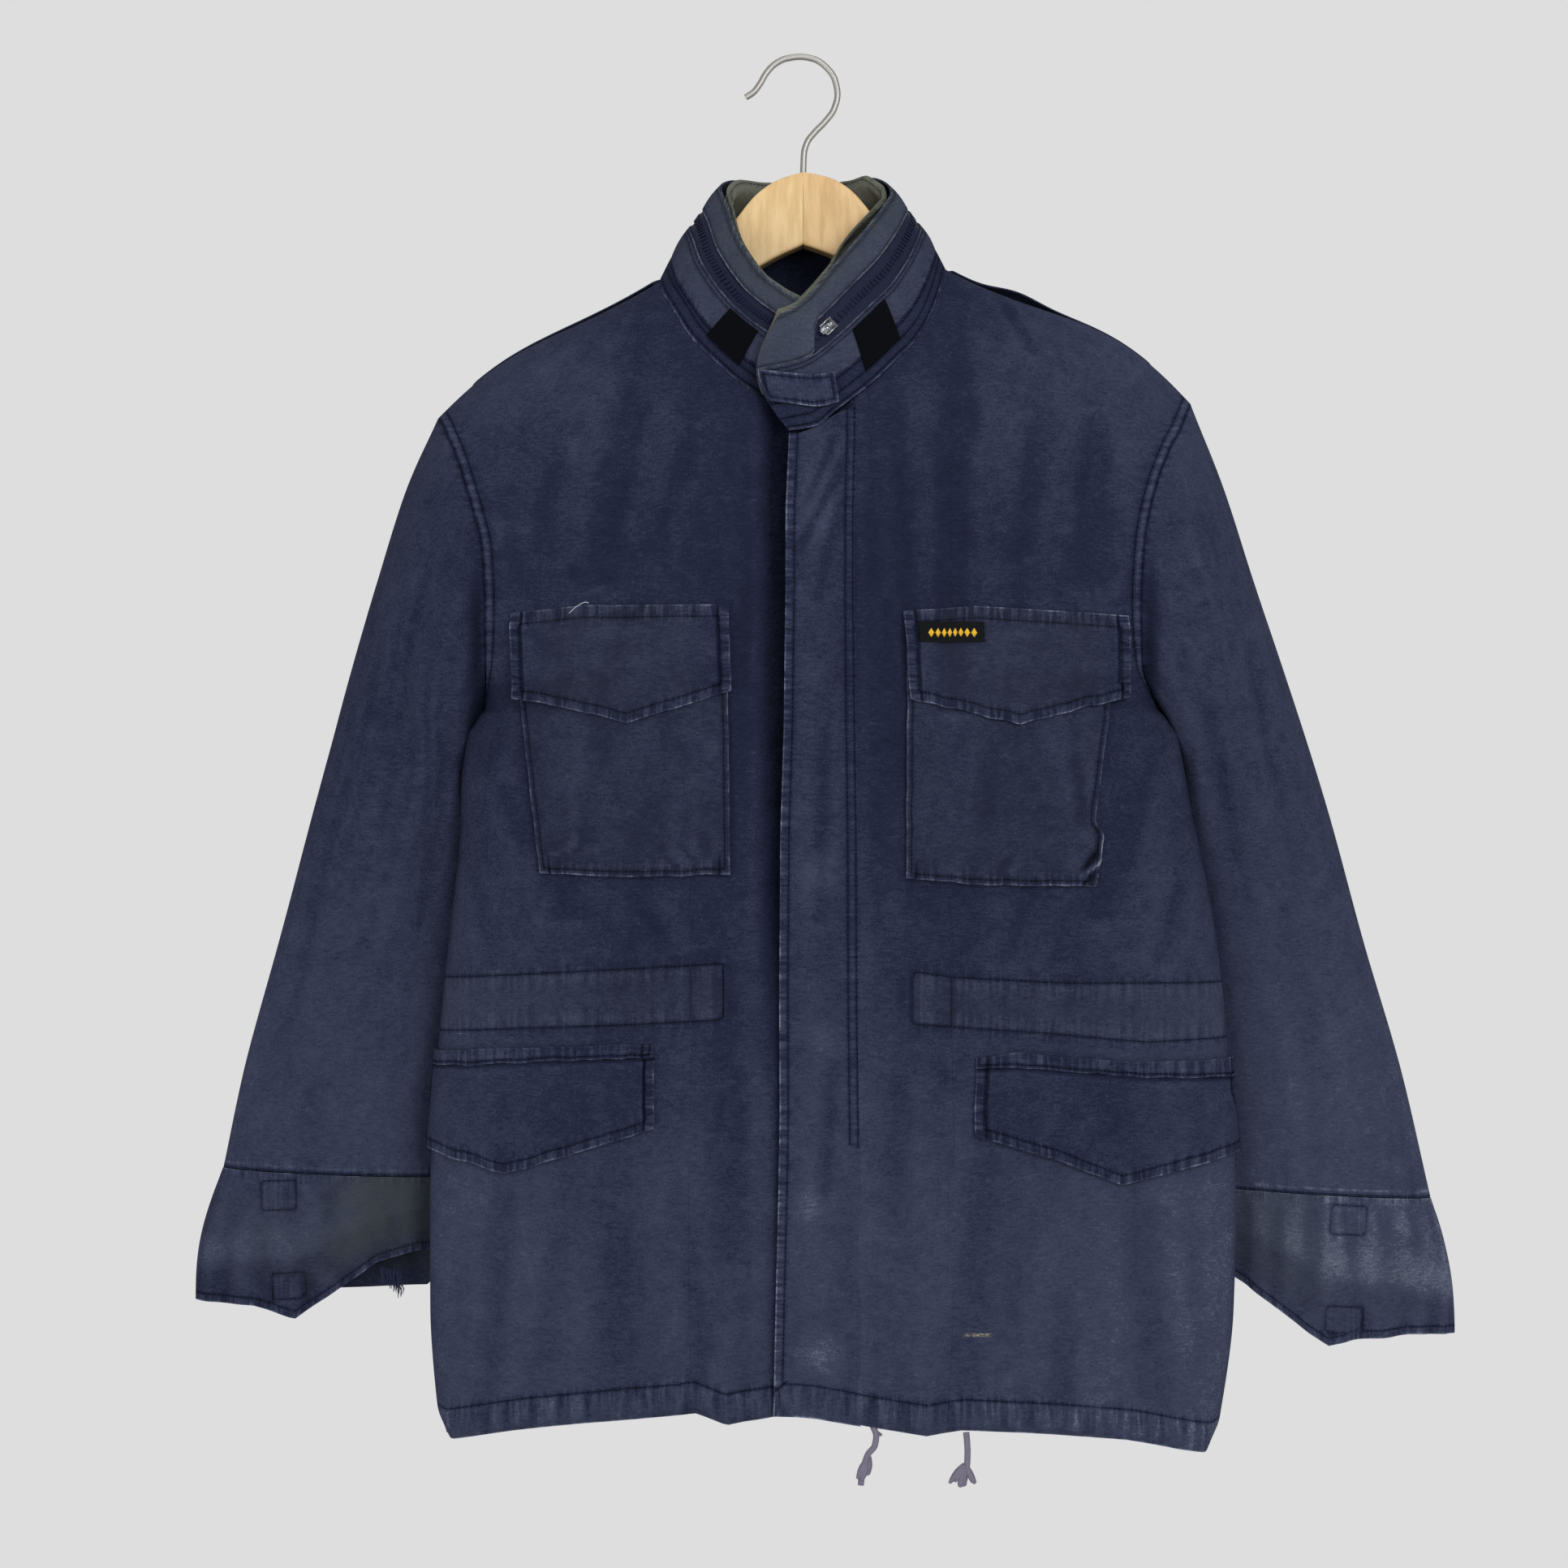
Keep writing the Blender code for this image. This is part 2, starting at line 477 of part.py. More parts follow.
def locate(panel, x, z, recessed=False):
    """Rows and columns of the panel's points that lie at the given x and z."""
    rows, columns = np.meshgrid(np.linspace(0, 17, 69), np.linspace(0.02, 0.99, 60), indexing="ij")
    lattice = panel_point(panel, rows, columns, recessed)
    shape = np.shape(x)
    x, z = np.ravel(x), np.ravel(z)
    far = (lattice[..., 0].ravel()[None] - x[:, None]) ** 2 + (lattice[..., 2].ravel()[None] - z[:, None]) ** 2
    best = np.argmin(far, axis=1)
    row, column = rows.ravel()[best], columns.ravel()[best]
    d = 1e-3
    for _ in range(6):
        here = panel_point(panel, row, column, recessed)[:, (0, 2)]
        by_row = (panel_point(panel, row + d, column, recessed)[:, (0, 2)] - here) / d
        by_column = (panel_point(panel, row, column - d, recessed)[:, (0, 2)] - here) / -d
        miss = np.stack([x, z], axis=1) - here
        det = by_row[:, 0] * by_column[:, 1] - by_row[:, 1] * by_column[:, 0]
        det = np.where(np.abs(det) < 1e-6, 1e-6, det)
        row = row + np.clip((miss[:, 0] * by_column[:, 1] - miss[:, 1] * by_column[:, 0]) / det, -1, 1)
        column = column + np.clip((by_row[:, 0] * miss[:, 1] - by_row[:, 1] * miss[:, 0]) / det, -0.1, 0.1)
        row, column = np.clip(row, 0, RIDGE_ROW), np.clip(column, 0.01, 0.998)
    return row.reshape(shape), column.reshape(shape)


def lay_on(panel, points, lift, recessed=False):
    """Move points given by x and z onto a panel, out by the lift."""
    row, column = locate(panel, points[..., 0], points[..., 1], recessed)
    on = panel_point(panel, row, column, recessed)
    return on + panel_normal(panel, row, column, recessed) * np.asarray(lift)[..., None]


def material(name):
    existing = bpy.data.materials.get(name)
    if existing:
        return existing
    colour, roughness, metallic = COLOURS[name]
    made = bpy.data.materials.new(name)
    made.use_nodes = True
    shader = made.node_tree.nodes["Principled BSDF"]
    shader.inputs["Base Color"].default_value = (*colour, 1.0)
    shader.inputs["Roughness"].default_value = roughness
    shader.inputs["Metallic"].default_value = metallic
    made.diffuse_color = (*colour, 1.0)
    return made


def add_mesh(name, vertices, faces, finish):
    """A mesh object in metres, smooth but for its sharp edges."""
    mesh = bpy.data.meshes.new(name)
    mesh.from_pydata([tuple(v * MM for v in vertex) for vertex in vertices], [], faces)
    mesh.materials.append(material(finish))
    thing = bpy.data.objects.new(name, mesh)
    bpy.data.collections["work_jacket"].objects.link(thing)
    mesh.shade_smooth()
    mesh.set_sharp_from_angle(angle=math.radians(40))
    return thing


def add_shell(name, outer, inner, faces, finish):
    """A closed cloth wall: its outer face, its inner face, and rims round its open edges."""
    count = len(outer)
    edges = {(face[i], face[(i + 1) % len(face)]) for face in faces for i in range(len(face))}
    rims = [(b, a, a + count, b + count) for a, b in sorted(edges) if (b, a) not in edges]
    backs = [tuple(i + count for i in face[::-1]) for face in faces]
    return add_mesh(name, np.concatenate([outer, inner]), faces + backs + rims, finish)


def grid_faces(index, closed=False, flip=False):
    """Quads of a grid of vertex numbers; a closed grid joins its last column to its first."""
    if closed:
        index = np.concatenate([index, index[:, :1]], axis=1)
    corners = (index[:-1, :-1], index[:-1, 1:], index[1:, 1:], index[1:, :-1])
    faces = [tuple(int(i) for i in face) for face in np.stack(corners, axis=-1).reshape(-1, 4)]
    return [face[::-1] for face in faces] if flip else faces


def grid_normals(points, outward, closed=False):
    """Outward unit normals of a grid's points. outward gives vectors on the outer side."""
    if closed:
        across = np.roll(points, -1, axis=1) - np.roll(points, 1, axis=1)
    else:
        across = np.gradient(points, axis=1)
    normals = unit(np.cross(across, np.gradient(points, axis=0)))
    return normals * np.sign(np.sum(normals * outward(points)))


def flipped(points, normals):
    """Whether a grid's faces must turn round so that they face along its normals."""
    turn = np.cross(points[:-1, 1:] - points[:-1, :-1], points[1:, :-1] - points[:-1, :-1])
    return np.sum(turn * normals[:-1, :-1]) < 0


def add_sheet(name, points, normals, finish, wall, closed=False, grows=False):
    """A cloth wall on a grid of points: it goes in from them, or out if it grows."""
    outer = points + normals * wall if grows else points
    index = np.arange(outer.shape[0] * outer.shape[1]).reshape(outer.shape[:2])
    faces = grid_faces(index, closed, flipped(outer, normals))
    inner = outer - normals * wall
    return add_shell(name, outer.reshape(-1, 3), inner.reshape(-1, 3), faces, finish)


def facing(y):
    return lambda points: np.array([0.0, y, 0.0])


def away_from_axis(points):
    centre = points.mean(axis=1, keepdims=True)
    return points - centre


def flattened(normals, axis):
    """Normals turned into the plane of a seam that is square to an axis."""
    normals = normals.copy()
    normals[..., axis] = 0
    return unit(normals)


def panel_grid(panel, rows, columns):
    """Points and normals of a panel, with its seam gaps, as its wall is built on them."""
    row, column = np.meshgrid(rows, columns, indexing="ij")
    points = panel_point(panel, row, column)
    front = panel.startswith("front")
    normals = grid_normals(points, facing(-1 if front else 1))
    shared = armhole_normals(panel.split("_")[1])
    seam = (column == 1) & (row <= ARMPIT_ROW) | (row == RIDGE_ROW)
    normals[seam] = flattened(normals[seam], 1)
    steps = RIDGE_ROW - np.arange(ARMPIT_ROW, RIDGE_ROW + 1)
    normals[-len(steps):, -1] = shared[steps if front else -steps]
    points[seam, 1] += -SEAM_GAP / 2 if front else SEAM_GAP / 2
    if panel.startswith("back"):
        centre = (column == 0) & (row <= NECK_ROW)
        normals[centre] = flattened(normals[centre], 0)
    return points, normals


def build_fronts():
    columns = np.linspace(0, 1, 15)
    for side in ("right", "left"):
        name = f"front_{side}"
        add_sheet(name, *panel_grid(name, FRONT_ROWS, columns), "navy_cotton", WALL)


def build_back():
    """Two halves that share their points down the centre back, below the neckline."""
    rows, columns = np.arange(0, RIDGE_ROW + 1), np.linspace(0, 1, BACK_COLUMNS + 1)
    right, right_normals = panel_grid("back_right", rows, columns)
    left, left_normals = panel_grid("back_left", rows, columns)
    count = right.shape[0] * right.shape[1]
    index = np.arange(count).reshape(right.shape[:2])
    other = index + count
    other[:NECK_ROW + 1, 0] = index[:NECK_ROW + 1, 0]
    faces = grid_faces(index, flip=flipped(right, right_normals))
    faces += grid_faces(other, flip=flipped(left, left_normals))
    outer = np.concatenate([right.reshape(-1, 3), left.reshape(-1, 3)])
    normals = np.concatenate([right_normals.reshape(-1, 3), left_normals.reshape(-1, 3)])
    used = np.unique(np.concatenate([index.ravel(), other.ravel()]))
    number = np.zeros(2 * count, int)
    number[used] = np.arange(len(used))
    faces = [tuple(int(number[i]) for i in face) for face in faces]
    add_shell("back", outer[used], (outer - normals * WALL)[used], faces, "navy_cotton")


def armhole_loop(side):
    """Armhole points: ridge, down the front, armpit, and up the back."""
    front = smooth(PANELS[f"front_{side}"][0], np.arange(RIDGE_ROW, ARMPIT_ROW - 1, -1))[:, 3:6]
    back = smooth(PANELS[f"back_{side}"][0], np.arange(ARMPIT_ROW + 1, RIDGE_ROW))[:, 3:6]
    return np.concatenate([front, back])


def loop_turns(loop, half):
    """Turn of each loop point, 0 at the ridge, pi at the armpit, from its height."""
    top, low = loop[0], loop[half]
    axis = (low - top) / np.dot(low - top, low - top)
    turns = np.arccos(np.clip(1 - 2 * (loop - top) @ axis, -1, 1))
    turns[half + 1:] = 2 * math.pi - turns[half + 1:]
    return turns


def ring(section, turns):
    """A section of a sleeve or cuff from its outer and inner ends and its depths."""
    x_out, y_out, z_out, x_in, y_in, z_in, front, back = section
    outer, inner = np.array([x_out, y_out, z_out]), np.array([x_in, y_in, z_in])
    points = (outer + inner) / 2 + np.cos(turns)[:, None] * (outer - inner) / 2
    lift = np.where(np.sin(turns) > 0, -front * np.sin(turns), -back * np.sin(turns))
    points[:, 1] += lift
    return points


def sleeve_points(side, places):
    table, folds = (SLEEVE_RIGHT, SLEEVE_FOLDS_RIGHT) if side == "right" else (SLEEVE_LEFT, SLEEVE_FOLDS_LEFT)
    loop = armhole_loop(side)
    half = RIDGE_ROW - ARMPIT_ROW
    turns = loop_turns(loop, half)
    even = np.linspace(0, 2 * math.pi, len(loop), endpoint=False)
    first_ring = ring(smooth(table, 0.0), turns)
    rings = []
    for place in places:
        ease = ramp(0, ARMHOLE_BLEND + 1.5, place)
        here = turns + (even - turns) * ease
        points = ring(smooth(table, place), here)
        points = points + (loop - first_ring) * (1 - ramp(0, ARMHOLE_BLEND, place))
        centre = points.mean(axis=0)
        around = here / (2 * math.pi)
        for turn_top, turn_low, start, end, half_width, depth in folds:
            along = np.clip((place - start) / (end - start), 0, 1)
            at = turn_top + (turn_low - turn_top) * along
            near = np.exp(-((around - at) / half_width) ** 2) * math.sin(math.pi * along)
            points = points - unit(points - centre) * (depth * near)[:, None]
        rings.append(points)
    return np.array(rings)


def armhole_normals(side):
    """Normals that the body and a sleeve share round the armhole, as in armhole_loop."""
    rings = sleeve_points(side, SLEEVE_PLACES[:3])
    sleeve = grid_normals(rings, away_from_axis, closed=True)[0]
    front = panel_normal(f"front_{side}", np.arange(RIDGE_ROW, ARMPIT_ROW - 1, -1.0), 0.97)
    back = panel_normal(f"back_{side}", np.arange(ARMPIT_ROW + 1.0, RIDGE_ROW), 0.97)
    shared = unit(np.concatenate([front, back]) + sleeve)
    ends = [0, RIDGE_ROW - ARMPIT_ROW]
    shared[ends] = flattened(shared[ends], 1)
    return shared


def build_sleeves():
    for side in ("right", "left"):
        rings = sleeve_points(side, SLEEVE_PLACES)
        normals = grid_normals(rings, away_from_axis, closed=True)
        normals[0] = armhole_normals(side)
        away = rings[1] - rings[0]
        away = away - normals[0] * np.sum(away * normals[0], axis=-1, keepdims=True)
        rings[0] += unit(away) * SEAM_GAP
        add_sheet(f"sleeve_{side}", rings, normals, "navy_cotton", WALL, closed=True)


def cuff_points(side, drops, count):
    """Rings of a cuff: from the seam down to its shaped lower edge."""
    table = SLEEVE_RIGHT if side == "right" else SLEEVE_LEFT
    end = CUFF_RIGHT_END if side == "right" else CUFF_LEFT_END
    front_edge = CUFF_RIGHT_FRONT if side == "right" else CUFF_LEFT_FRONT
    back_edge = CUFF_RIGHT_BACK if side == "right" else CUFF_LEFT_BACK
    turns = np.linspace(0, 2 * math.pi, count, endpoint=False)
    top = ring(table[-1], turns)
    low = ring(end, turns)
    across = (1 - np.cos(turns)) / 2
    front = np.sin(turns) > -1e-6
    low[:, 2] = np.where(front, line(front_edge, across), line(back_edge, across))
    sign = -1 if side == "right" else 1
    rings = []
    for drop in drops:
        points = top + (low - top) * drop
        points[:, 0] += sign * CUFF_BULGE * math.sin(math.pi * drop) * (1 - across)
        rings.append(points)
    rings = np.array(rings)
    rings[0] += unit(rings[1] - rings[0]) * (CUFF_GAP + SEAM_GAP)
    return rings


def build_cuffs():
    for side in ("right", "left"):
        rings = cuff_points(side, (0, 0.2, 0.5, 0.8, 1), 32)
        normals = grid_normals(rings, away_from_axis, closed=True)
        add_sheet(f"cuff_{side}", rings, normals, "navy_cotton", WALL, closed=True)


def neckline():
    """Neckline points at stations 0 to 33, right front round the back to left front."""
    front, back = np.arange(NECK_ROW, RIDGE_ROW + 1), np.arange(RIDGE_ROW - 1, NECK_ROW, -1)
    points = [panel_point("front_right", front, 0.0), panel_point("back_right", back, 0.0)]
    points += [panel_point("back_left", np.arange(NECK_ROW, RIDGE_ROW), 0.0)]
    left = panel_point("front_left", front[::-1], 0.0, recessed=False)
    left[:, 1] -= LAP_LIFT * ramp(4, 7, np.arange(len(left)))
    points += [left, np.array([LAP_POINT])]
    return np.concatenate(points)


def collar_point(station, height):
    """Outer face of the collar at a station and a height (0 neckline, 1 top edge)."""
    station, height = np.broadcast_arrays(np.asarray(station, float), np.asarray(height, float))
    tops = np.array(COLLAR_TOP, dtype=float)
    place = np.interp(station, tops[:, 0], np.arange(len(tops)))
    top = smooth(tops[:, 1:], place)
    low = smooth(neckline(), station)
    low[..., 2] += SEAM_GAP
    point = low + (top[..., :3] - low) * height[..., None]
    point[..., :2] += top[..., 3:5] * np.sin(math.pi * height)[..., None]
    return point


def collar_normal(station, height):
    d = 0.05
    along = collar_point(np.minimum(station + d, LAST_STATION), height)
    along = along - collar_point(np.maximum(station - d, 0), height)
    up = collar_point(station, np.asarray(height) + 0.02) - collar_point(station, np.asarray(height) - 0.02)
    return unit(np.cross(up, along))


def collar_sheet(name, stations, heights, finish, wall, lift=0.0, edges=(0.0, 0.0), grows=False):
    """A strip of the collar between two heights, each a number or a value per station."""
    low, high = (np.broadcast_to(h, stations.shape) for h in heights[:2])
    steps = np.linspace(0, 1, heights[2])
    station = np.broadcast_to(stations, (len(steps), len(stations)))
    height = low + (high - low) * steps[:, None]
    points = collar_point(station, height)
    normal = collar_normal(station, height)
    points = points + normal * lift
    up = unit(points[-1] - points[0])
    points[0] += up * edges[0]
    points[-1] -= up * edges[1]
    return add_sheet(name, points, normal, finish, wall, grows=grows)


def build_collar():
    stations = np.linspace(0, LAST_STATION, 34)
    across = stations / LAST_STATION
    zip_low = ZIP_LOW[0] + (ZIP_LOW[1] - ZIP_LOW[0]) * across
    zip_high = ZIP_HIGH[0] + (ZIP_HIGH[1] - ZIP_HIGH[0]) * across
    half = SEAM_GAP / 2
    collar_sheet("neck_band", stations, (0.0, BAND_TOP, 3), "navy_cotton", WALL, edges=(0, half))
    collar_sheet("collar_lower", stations, (BAND_TOP, zip_low, 3), "navy_cotton", WALL,
                 edges=(half, half))
    collar_sheet("collar_upper", stations, (zip_high, 1.0, 3), "navy_cotton", WALL,
                 edges=(half, 0))
    between = np.linspace(*ZIP_STATIONS, 31)
    low = np.interp(between, stations, zip_low)
    high = np.interp(between, stations, zip_high)
    collar_sheet("collar_zip", between, (low, high, 2), "zip_tape", THIN_WALL,
                 lift=-ZIP_SINK, edges=(ZIP_MARGIN, ZIP_MARGIN))
    rows = []
    for down, rise, inside in LINING:
        height = np.full(stations.shape, 1.0 - down)
        point = collar_point(stations, height)
        normal = collar_normal(stations, np.minimum(height, 0.97))
        ease = 0.1 + 0.9 * ramp(1, 6, stations) * ramp(1, 7, LAST_STATION - stations)
        least = min(inside, LINING_LEAST)
        point = point - normal * (least + (inside - least) * ease)[:, None]
        point[:, 2] += rise
        rows.append(point)
    rows = np.array(rows)
    normals = grid_normals(rows, lambda p: (np.array([0, -22, 0]) - p) * (1, 1, 0))
    add_sheet("collar_lining", rows, normals, "grey_lining", THIN_WALL)


def build_collar_trim():
    a, b = TAB["stations"]
    stations = np.linspace(a, b, 9)
    collar_sheet("throat_tab", stations, (*TAB["heights"], 4), "navy_cotton", DOUBLE_WALL,
                 lift=LAY_GAP, grows=True)
    for name, place in PATCHES.items():
        stations = np.linspace(*place["stations"], 5)
        collar_sheet(name, stations, (*place["heights"], 4), "black_hook_tape", 1.4,
                     lift=LAY_GAP, grows=True)
    station, height = ZIP_STATIONS[1] - 0.35, sum(ZIP_LOW + ZIP_HIGH) / 4 - 0.01
    centre = collar_point(station, height) - collar_normal(station, height) * (ZIP_SINK - 0.5)
    along = unit(collar_point(station + 0.2, height) - collar_point(station - 0.2, height))
    out = collar_normal(station, height)
    frame = Matrix((along, np.cross(out, along), out)).transposed()
    bpy.ops.mesh.primitive_cube_add(size=1)
    slider = bpy.context.object
    slider.name = slider.data.name = "zip_slider"
    for vertex in slider.data.vertices:
        vertex.co = Vector(c * s * MM for c, s in zip(vertex.co, SLIDER_SIZE))
    slider.data.materials.append(material("steel_wire"))
    slider.matrix_world = Matrix.Translation(Vector((centre + out * 1.5) * MM)) @ frame.to_4x4()
    bevel = slider.modifiers.new("round", "BEVEL")
    bevel.width = 0.8 * MM
    bevel.segments = 1
    move_to_collection(slider)


def move_to_collection(thing):
    for collection in list(thing.users_collection):
        collection.objects.unlink(thing)
    bpy.data.collections["work_jacket"].objects.link(thing)


def build_fly():
    z = np.linspace(0, 1, 22)[:, None]
    heights = np.array(FLY)[:, 0]
    u = np.linspace(0, 1, 5)[None, :]
    top_z = line(((-9, -252), (-2.5, -252), (8.6, -248), (20, -240), (37, -232)), np.linspace(-9, 34, 5))
    edge = np.array(FLY, dtype=float)
    rows = []
    for k in z[:, 0]:
        level = heights[0] + (top_z - heights[0]) * k
        x_edge = np.interp(level, edge[:, 0], edge[:, 1])
        x_sewn = np.interp(level, edge[:, 0], edge[:, 2])
        x = x_edge + (x_sewn - x_edge) * u[0]
        row, column = locate("front_left", np.maximum(x, 10.0), level)
        y = panel_point("front_left", row, column, recessed=False)[:, 1] - LAY_GAP
        rows.append(np.stack([x, y, level], axis=-1))
    points = np.array(rows)
    points[0, :, 2] += 0.5
    points[-1, :, 2] -= FLY_CLEAR
    normals = grid_normals(points, facing(-1))
    add_sheet("fly", points, normals, "navy_cotton", DOUBLE_WALL, grows=True)


def spread(corners, count, side=0):
    """Points along a broken line that keep its corners, as x and z. They crowd
    towards the side seam at its first end (-1) or its last (1)."""
    corners = np.array(corners, dtype=float)
    lengths = np.abs(np.diff(corners[:, 0]))
    shares = np.maximum(np.round(lengths / lengths.sum() * count).astype(int), 1)
    shares[-1] += count - shares.sum()
    pieces = []
    for i, n in enumerate(shares):
        f = np.arange(n) / n
        if side == -1 and i == 0:
            f = 1 - np.cos(f * math.pi / 2)
        if side == 1 and i == len(shares) - 1:
            f = np.sin(f * math.pi / 2)
        pieces.append(corners[i] + (corners[i + 1] - corners[i]) * f[:, None])
    return np.concatenate(pieces + [corners[-1:]])


def outline_grid(outline, rows, columns, side=0):
    """A grid of x and z between a piece's top and bottom lines; it keeps their corners."""
    bottom = spread(outline["bottom"], columns, side)
    share = (bottom[:, 0] - bottom[0, 0]) / (bottom[-1, 0] - bottom[0, 0])
    top = np.array(outline["top"], dtype=float)
    top_x = top[0, 0] + (top[-1, 0] - top[0, 0]) * share
    top = np.stack([top_x, np.interp(top_x, top[:, 0], top[:, 1])], axis=-1)
    return top + (bottom - top) * np.linspace(0, 1, rows)[:, None, None]


def build_on_front(name, side, outline, rows, columns, lift, wall=WALL, finish="navy_cotton"):
    """A piece sewn on a front. lift is its inner face's height over the front, per row."""
    reaches = name.startswith(("low", "pocket_welt"))
    grid = outline_grid(outline, rows, columns, (1 if side == "left" else -1) if reaches else 0)
    lifts = np.broadcast_to(np.reshape(lift, (-1, 1)), grid.shape[:2])
    points = lay_on(f"front_{side}", grid, lifts)
    normals = grid_normals(points, facing(-1))
    return add_sheet(name, points, normals, finish, wall, grows=True)


def build_pockets():
    flap_lift = (LAY_GAP, FLAP_LIFT, FLAP_LIFT, FLAP_LIFT, FLAP_LIFT + 0.4)
    for side, pocket, flap in (("right", CHEST_POCKET_RIGHT, CHEST_FLAP_RIGHT),
                               ("left", CHEST_POCKET_LEFT, CHEST_FLAP_LEFT)):
        build_on_front(f"chest_pocket_{side}", side, pocket, 9, 12, CHEST_LIFT)
        build_on_front(f"chest_flap_{side}", side, flap, CHEST_FLAP_ROWS, 12, flap_lift, DOUBLE_WALL)
    for side, welt, flap in (("right", WELT_RIGHT, LOW_FLAP_RIGHT),
                             ("left", WELT_LEFT, LOW_FLAP_LEFT)):
        build_on_front(f"pocket_welt_{side}", side, welt, 2, 20, POCKET_LIFT, DOUBLE_WALL)
        build_on_front(f"low_flap_{side}", side, flap, 5, 20, POCKET_LIFT, DOUBLE_WALL)
    label_lift = FLAP_LIFT + DOUBLE_WALL + LAY_GAP
    build_on_front("flap_label", "left", LABEL, 2, 4, label_lift, 0.8, "woven_label")


def build_straps():
    for name, arch in STRAP_ARCH.items():
        side = name.split("_")[1]
        first, last = STRAP_COLUMNS
        places = np.arange(first, last + 1) / BACK_COLUMNS
        rows, columns = np.meshgrid(STRAP_ROWS, places, indexing="ij")
        points = panel_point(f"back_{side}", rows, columns)
        normal = panel_normal(f"back_{side}", rows, columns)
        across = (columns * BACK_COLUMNS - first) / (last - first)
        hump = arch * np.exp(-((across - STRAP_ARCH_AT) / 0.16) ** 2) + 1.0 * np.sin(math.pi * across)
        points = points + normal * (LAY_GAP + hump)[..., None]
        normals = grid_normals(points, lambda p: np.array([0, 0.5, 1.0]))
        add_sheet(name, points, normals, "navy_cotton", DOUBLE_WALL, grows=True)


def rounded_section(x, top, low, half, count=12, corner=0.5):
    """Superellipse section of a hanger arm in a plane of constant x."""
    turns = np.linspace(0, 2 * math.pi, count, endpoint=False) + math.pi / count
    c, s = np.cos(turns), np.sin(turns)
    y = half * np.sign(c) * np.abs(c) ** corner
    z = (top + low) / 2 + (top - low) / 2 * np.sign(s) * np.abs(s) ** corner
    return np.stack([np.full(count, x), y, z], axis=-1)


def shoulder_seat(section):
    """How far up a section of an arm can move until it lies under the shoulder."""
    rises = []
    for name in ("front_right", "front_left", "back"):
        thing = bpy.data.objects[name]
        for point in section:
            below = Vector(point) * MM
            hit, place, _, _ = thing.ray_cast(below, Vector((0, 0, 1)))
            if hit:
                rises.append((place.z - below.z) / MM)
    return min(rises) - HANGER_SEAT


def build_hanger():
    for side, sign in (("right", -1), ("left", 1)):
        sections = []
        for x, top, low, half in HANGER_CENTRE:
            tilt = sign * x * HANGER_TILT
            sections.append(rounded_section(sign * x + HANGER_X, top + tilt, low + tilt, half))
        for x, depth, half in zip(HANGER_ARM_X, HANGER_ARM_DEPTH, HANGER_ARM_HALF):
            below = np.interp(x, HANGER_ARM_BELOW[0], HANGER_ARM_BELOW[1])
            section = rounded_section(sign * x + HANGER_X, below, below - depth, half)
            section[:, 2] += shoulder_seat(section)
            sections.append(section)
        sections = np.array(sections)
        sections[0, :, 0] += sign * MITRE_GAP / 2
        count, total = sections.shape[1], sections.shape[0] * sections.shape[1]
        flip = flipped(sections, sections - sections.mean(axis=1, keepdims=True))
        faces = grid_faces(np.arange(total).reshape(-1, count), closed=True, flip=flip)
        first, last = tuple(range(count)), tuple(range(total - count, total))
        faces += [first, last[::-1]] if flip else [first[::-1], last]
        add_mesh(f"hanger_arm_{side}", sections.reshape(-1, 3), faces, "pale_beech")


def wire(name, route, radius, finish, samples, sides=2):
    """A round wire or cord as a curve through a smoothed route."""
    smoothed = smooth(route, np.linspace(0, len(route) - 1, samples))
    curve = bpy.data.curves.new(name, "CURVE")
    curve.dimensions = "3D"
    curve.bevel_depth = radius * MM
    curve.bevel_resolution = sides
    curve.resolution_u = 1
    curve.use_fill_caps = True
    spline = curve.splines.new("POLY")
    spline.points.add(len(smoothed) - 1)
    for point, place in zip(spline.points, smoothed):
        point.co = (*(place * MM), 1.0)
    curve.materials.append(material(finish))
    thing = bpy.data.objects.new(name, curve)
    bpy.data.collections["work_jacket"].objects.link(thing)
    return thing


def build_wires():
    wire("hanger_hook", [(x, 0.0, z) for x, z in HOOK_ROUTE], HOOK_RADIUS, "steel_wire", 44)
    for name, route in CORDS.items():
        wire(name, route, CORD_DIAMETER / 2, "grey_cord", 6)


def main():
    for thing in list(bpy.data.objects):
        bpy.data.objects.remove(thing, do_unlink=True)
    jacket = bpy.data.collections.new("work_jacket")
    bpy.context.scene.collection.children.link(jacket)
    build_back()
    build_fronts()
    build_hanger()
    build_wires()
    build_sleeves()
    build_cuffs()
    build_collar()
    build_collar_trim()
    build_fly()
    build_pockets()
    build_straps()


main()
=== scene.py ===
"""Work jacket on a wooden hanger: the dressed model.

Millimetres in the tables, metres in Blender. +Z is up, the front faces -Y and the
wearer's right is at -X. Each cloth piece is a thin shell on the panel that it is
cut for, with its folds as soft troughs and ridges. Values kept on its points say
where its sewing, its worn edges and its stains are, and where light and shade are
painted into its colour, and the cloth material draws them.
"""
import math
import random

import bmesh
import bpy
import numpy as np
from mathutils import Matrix, Vector


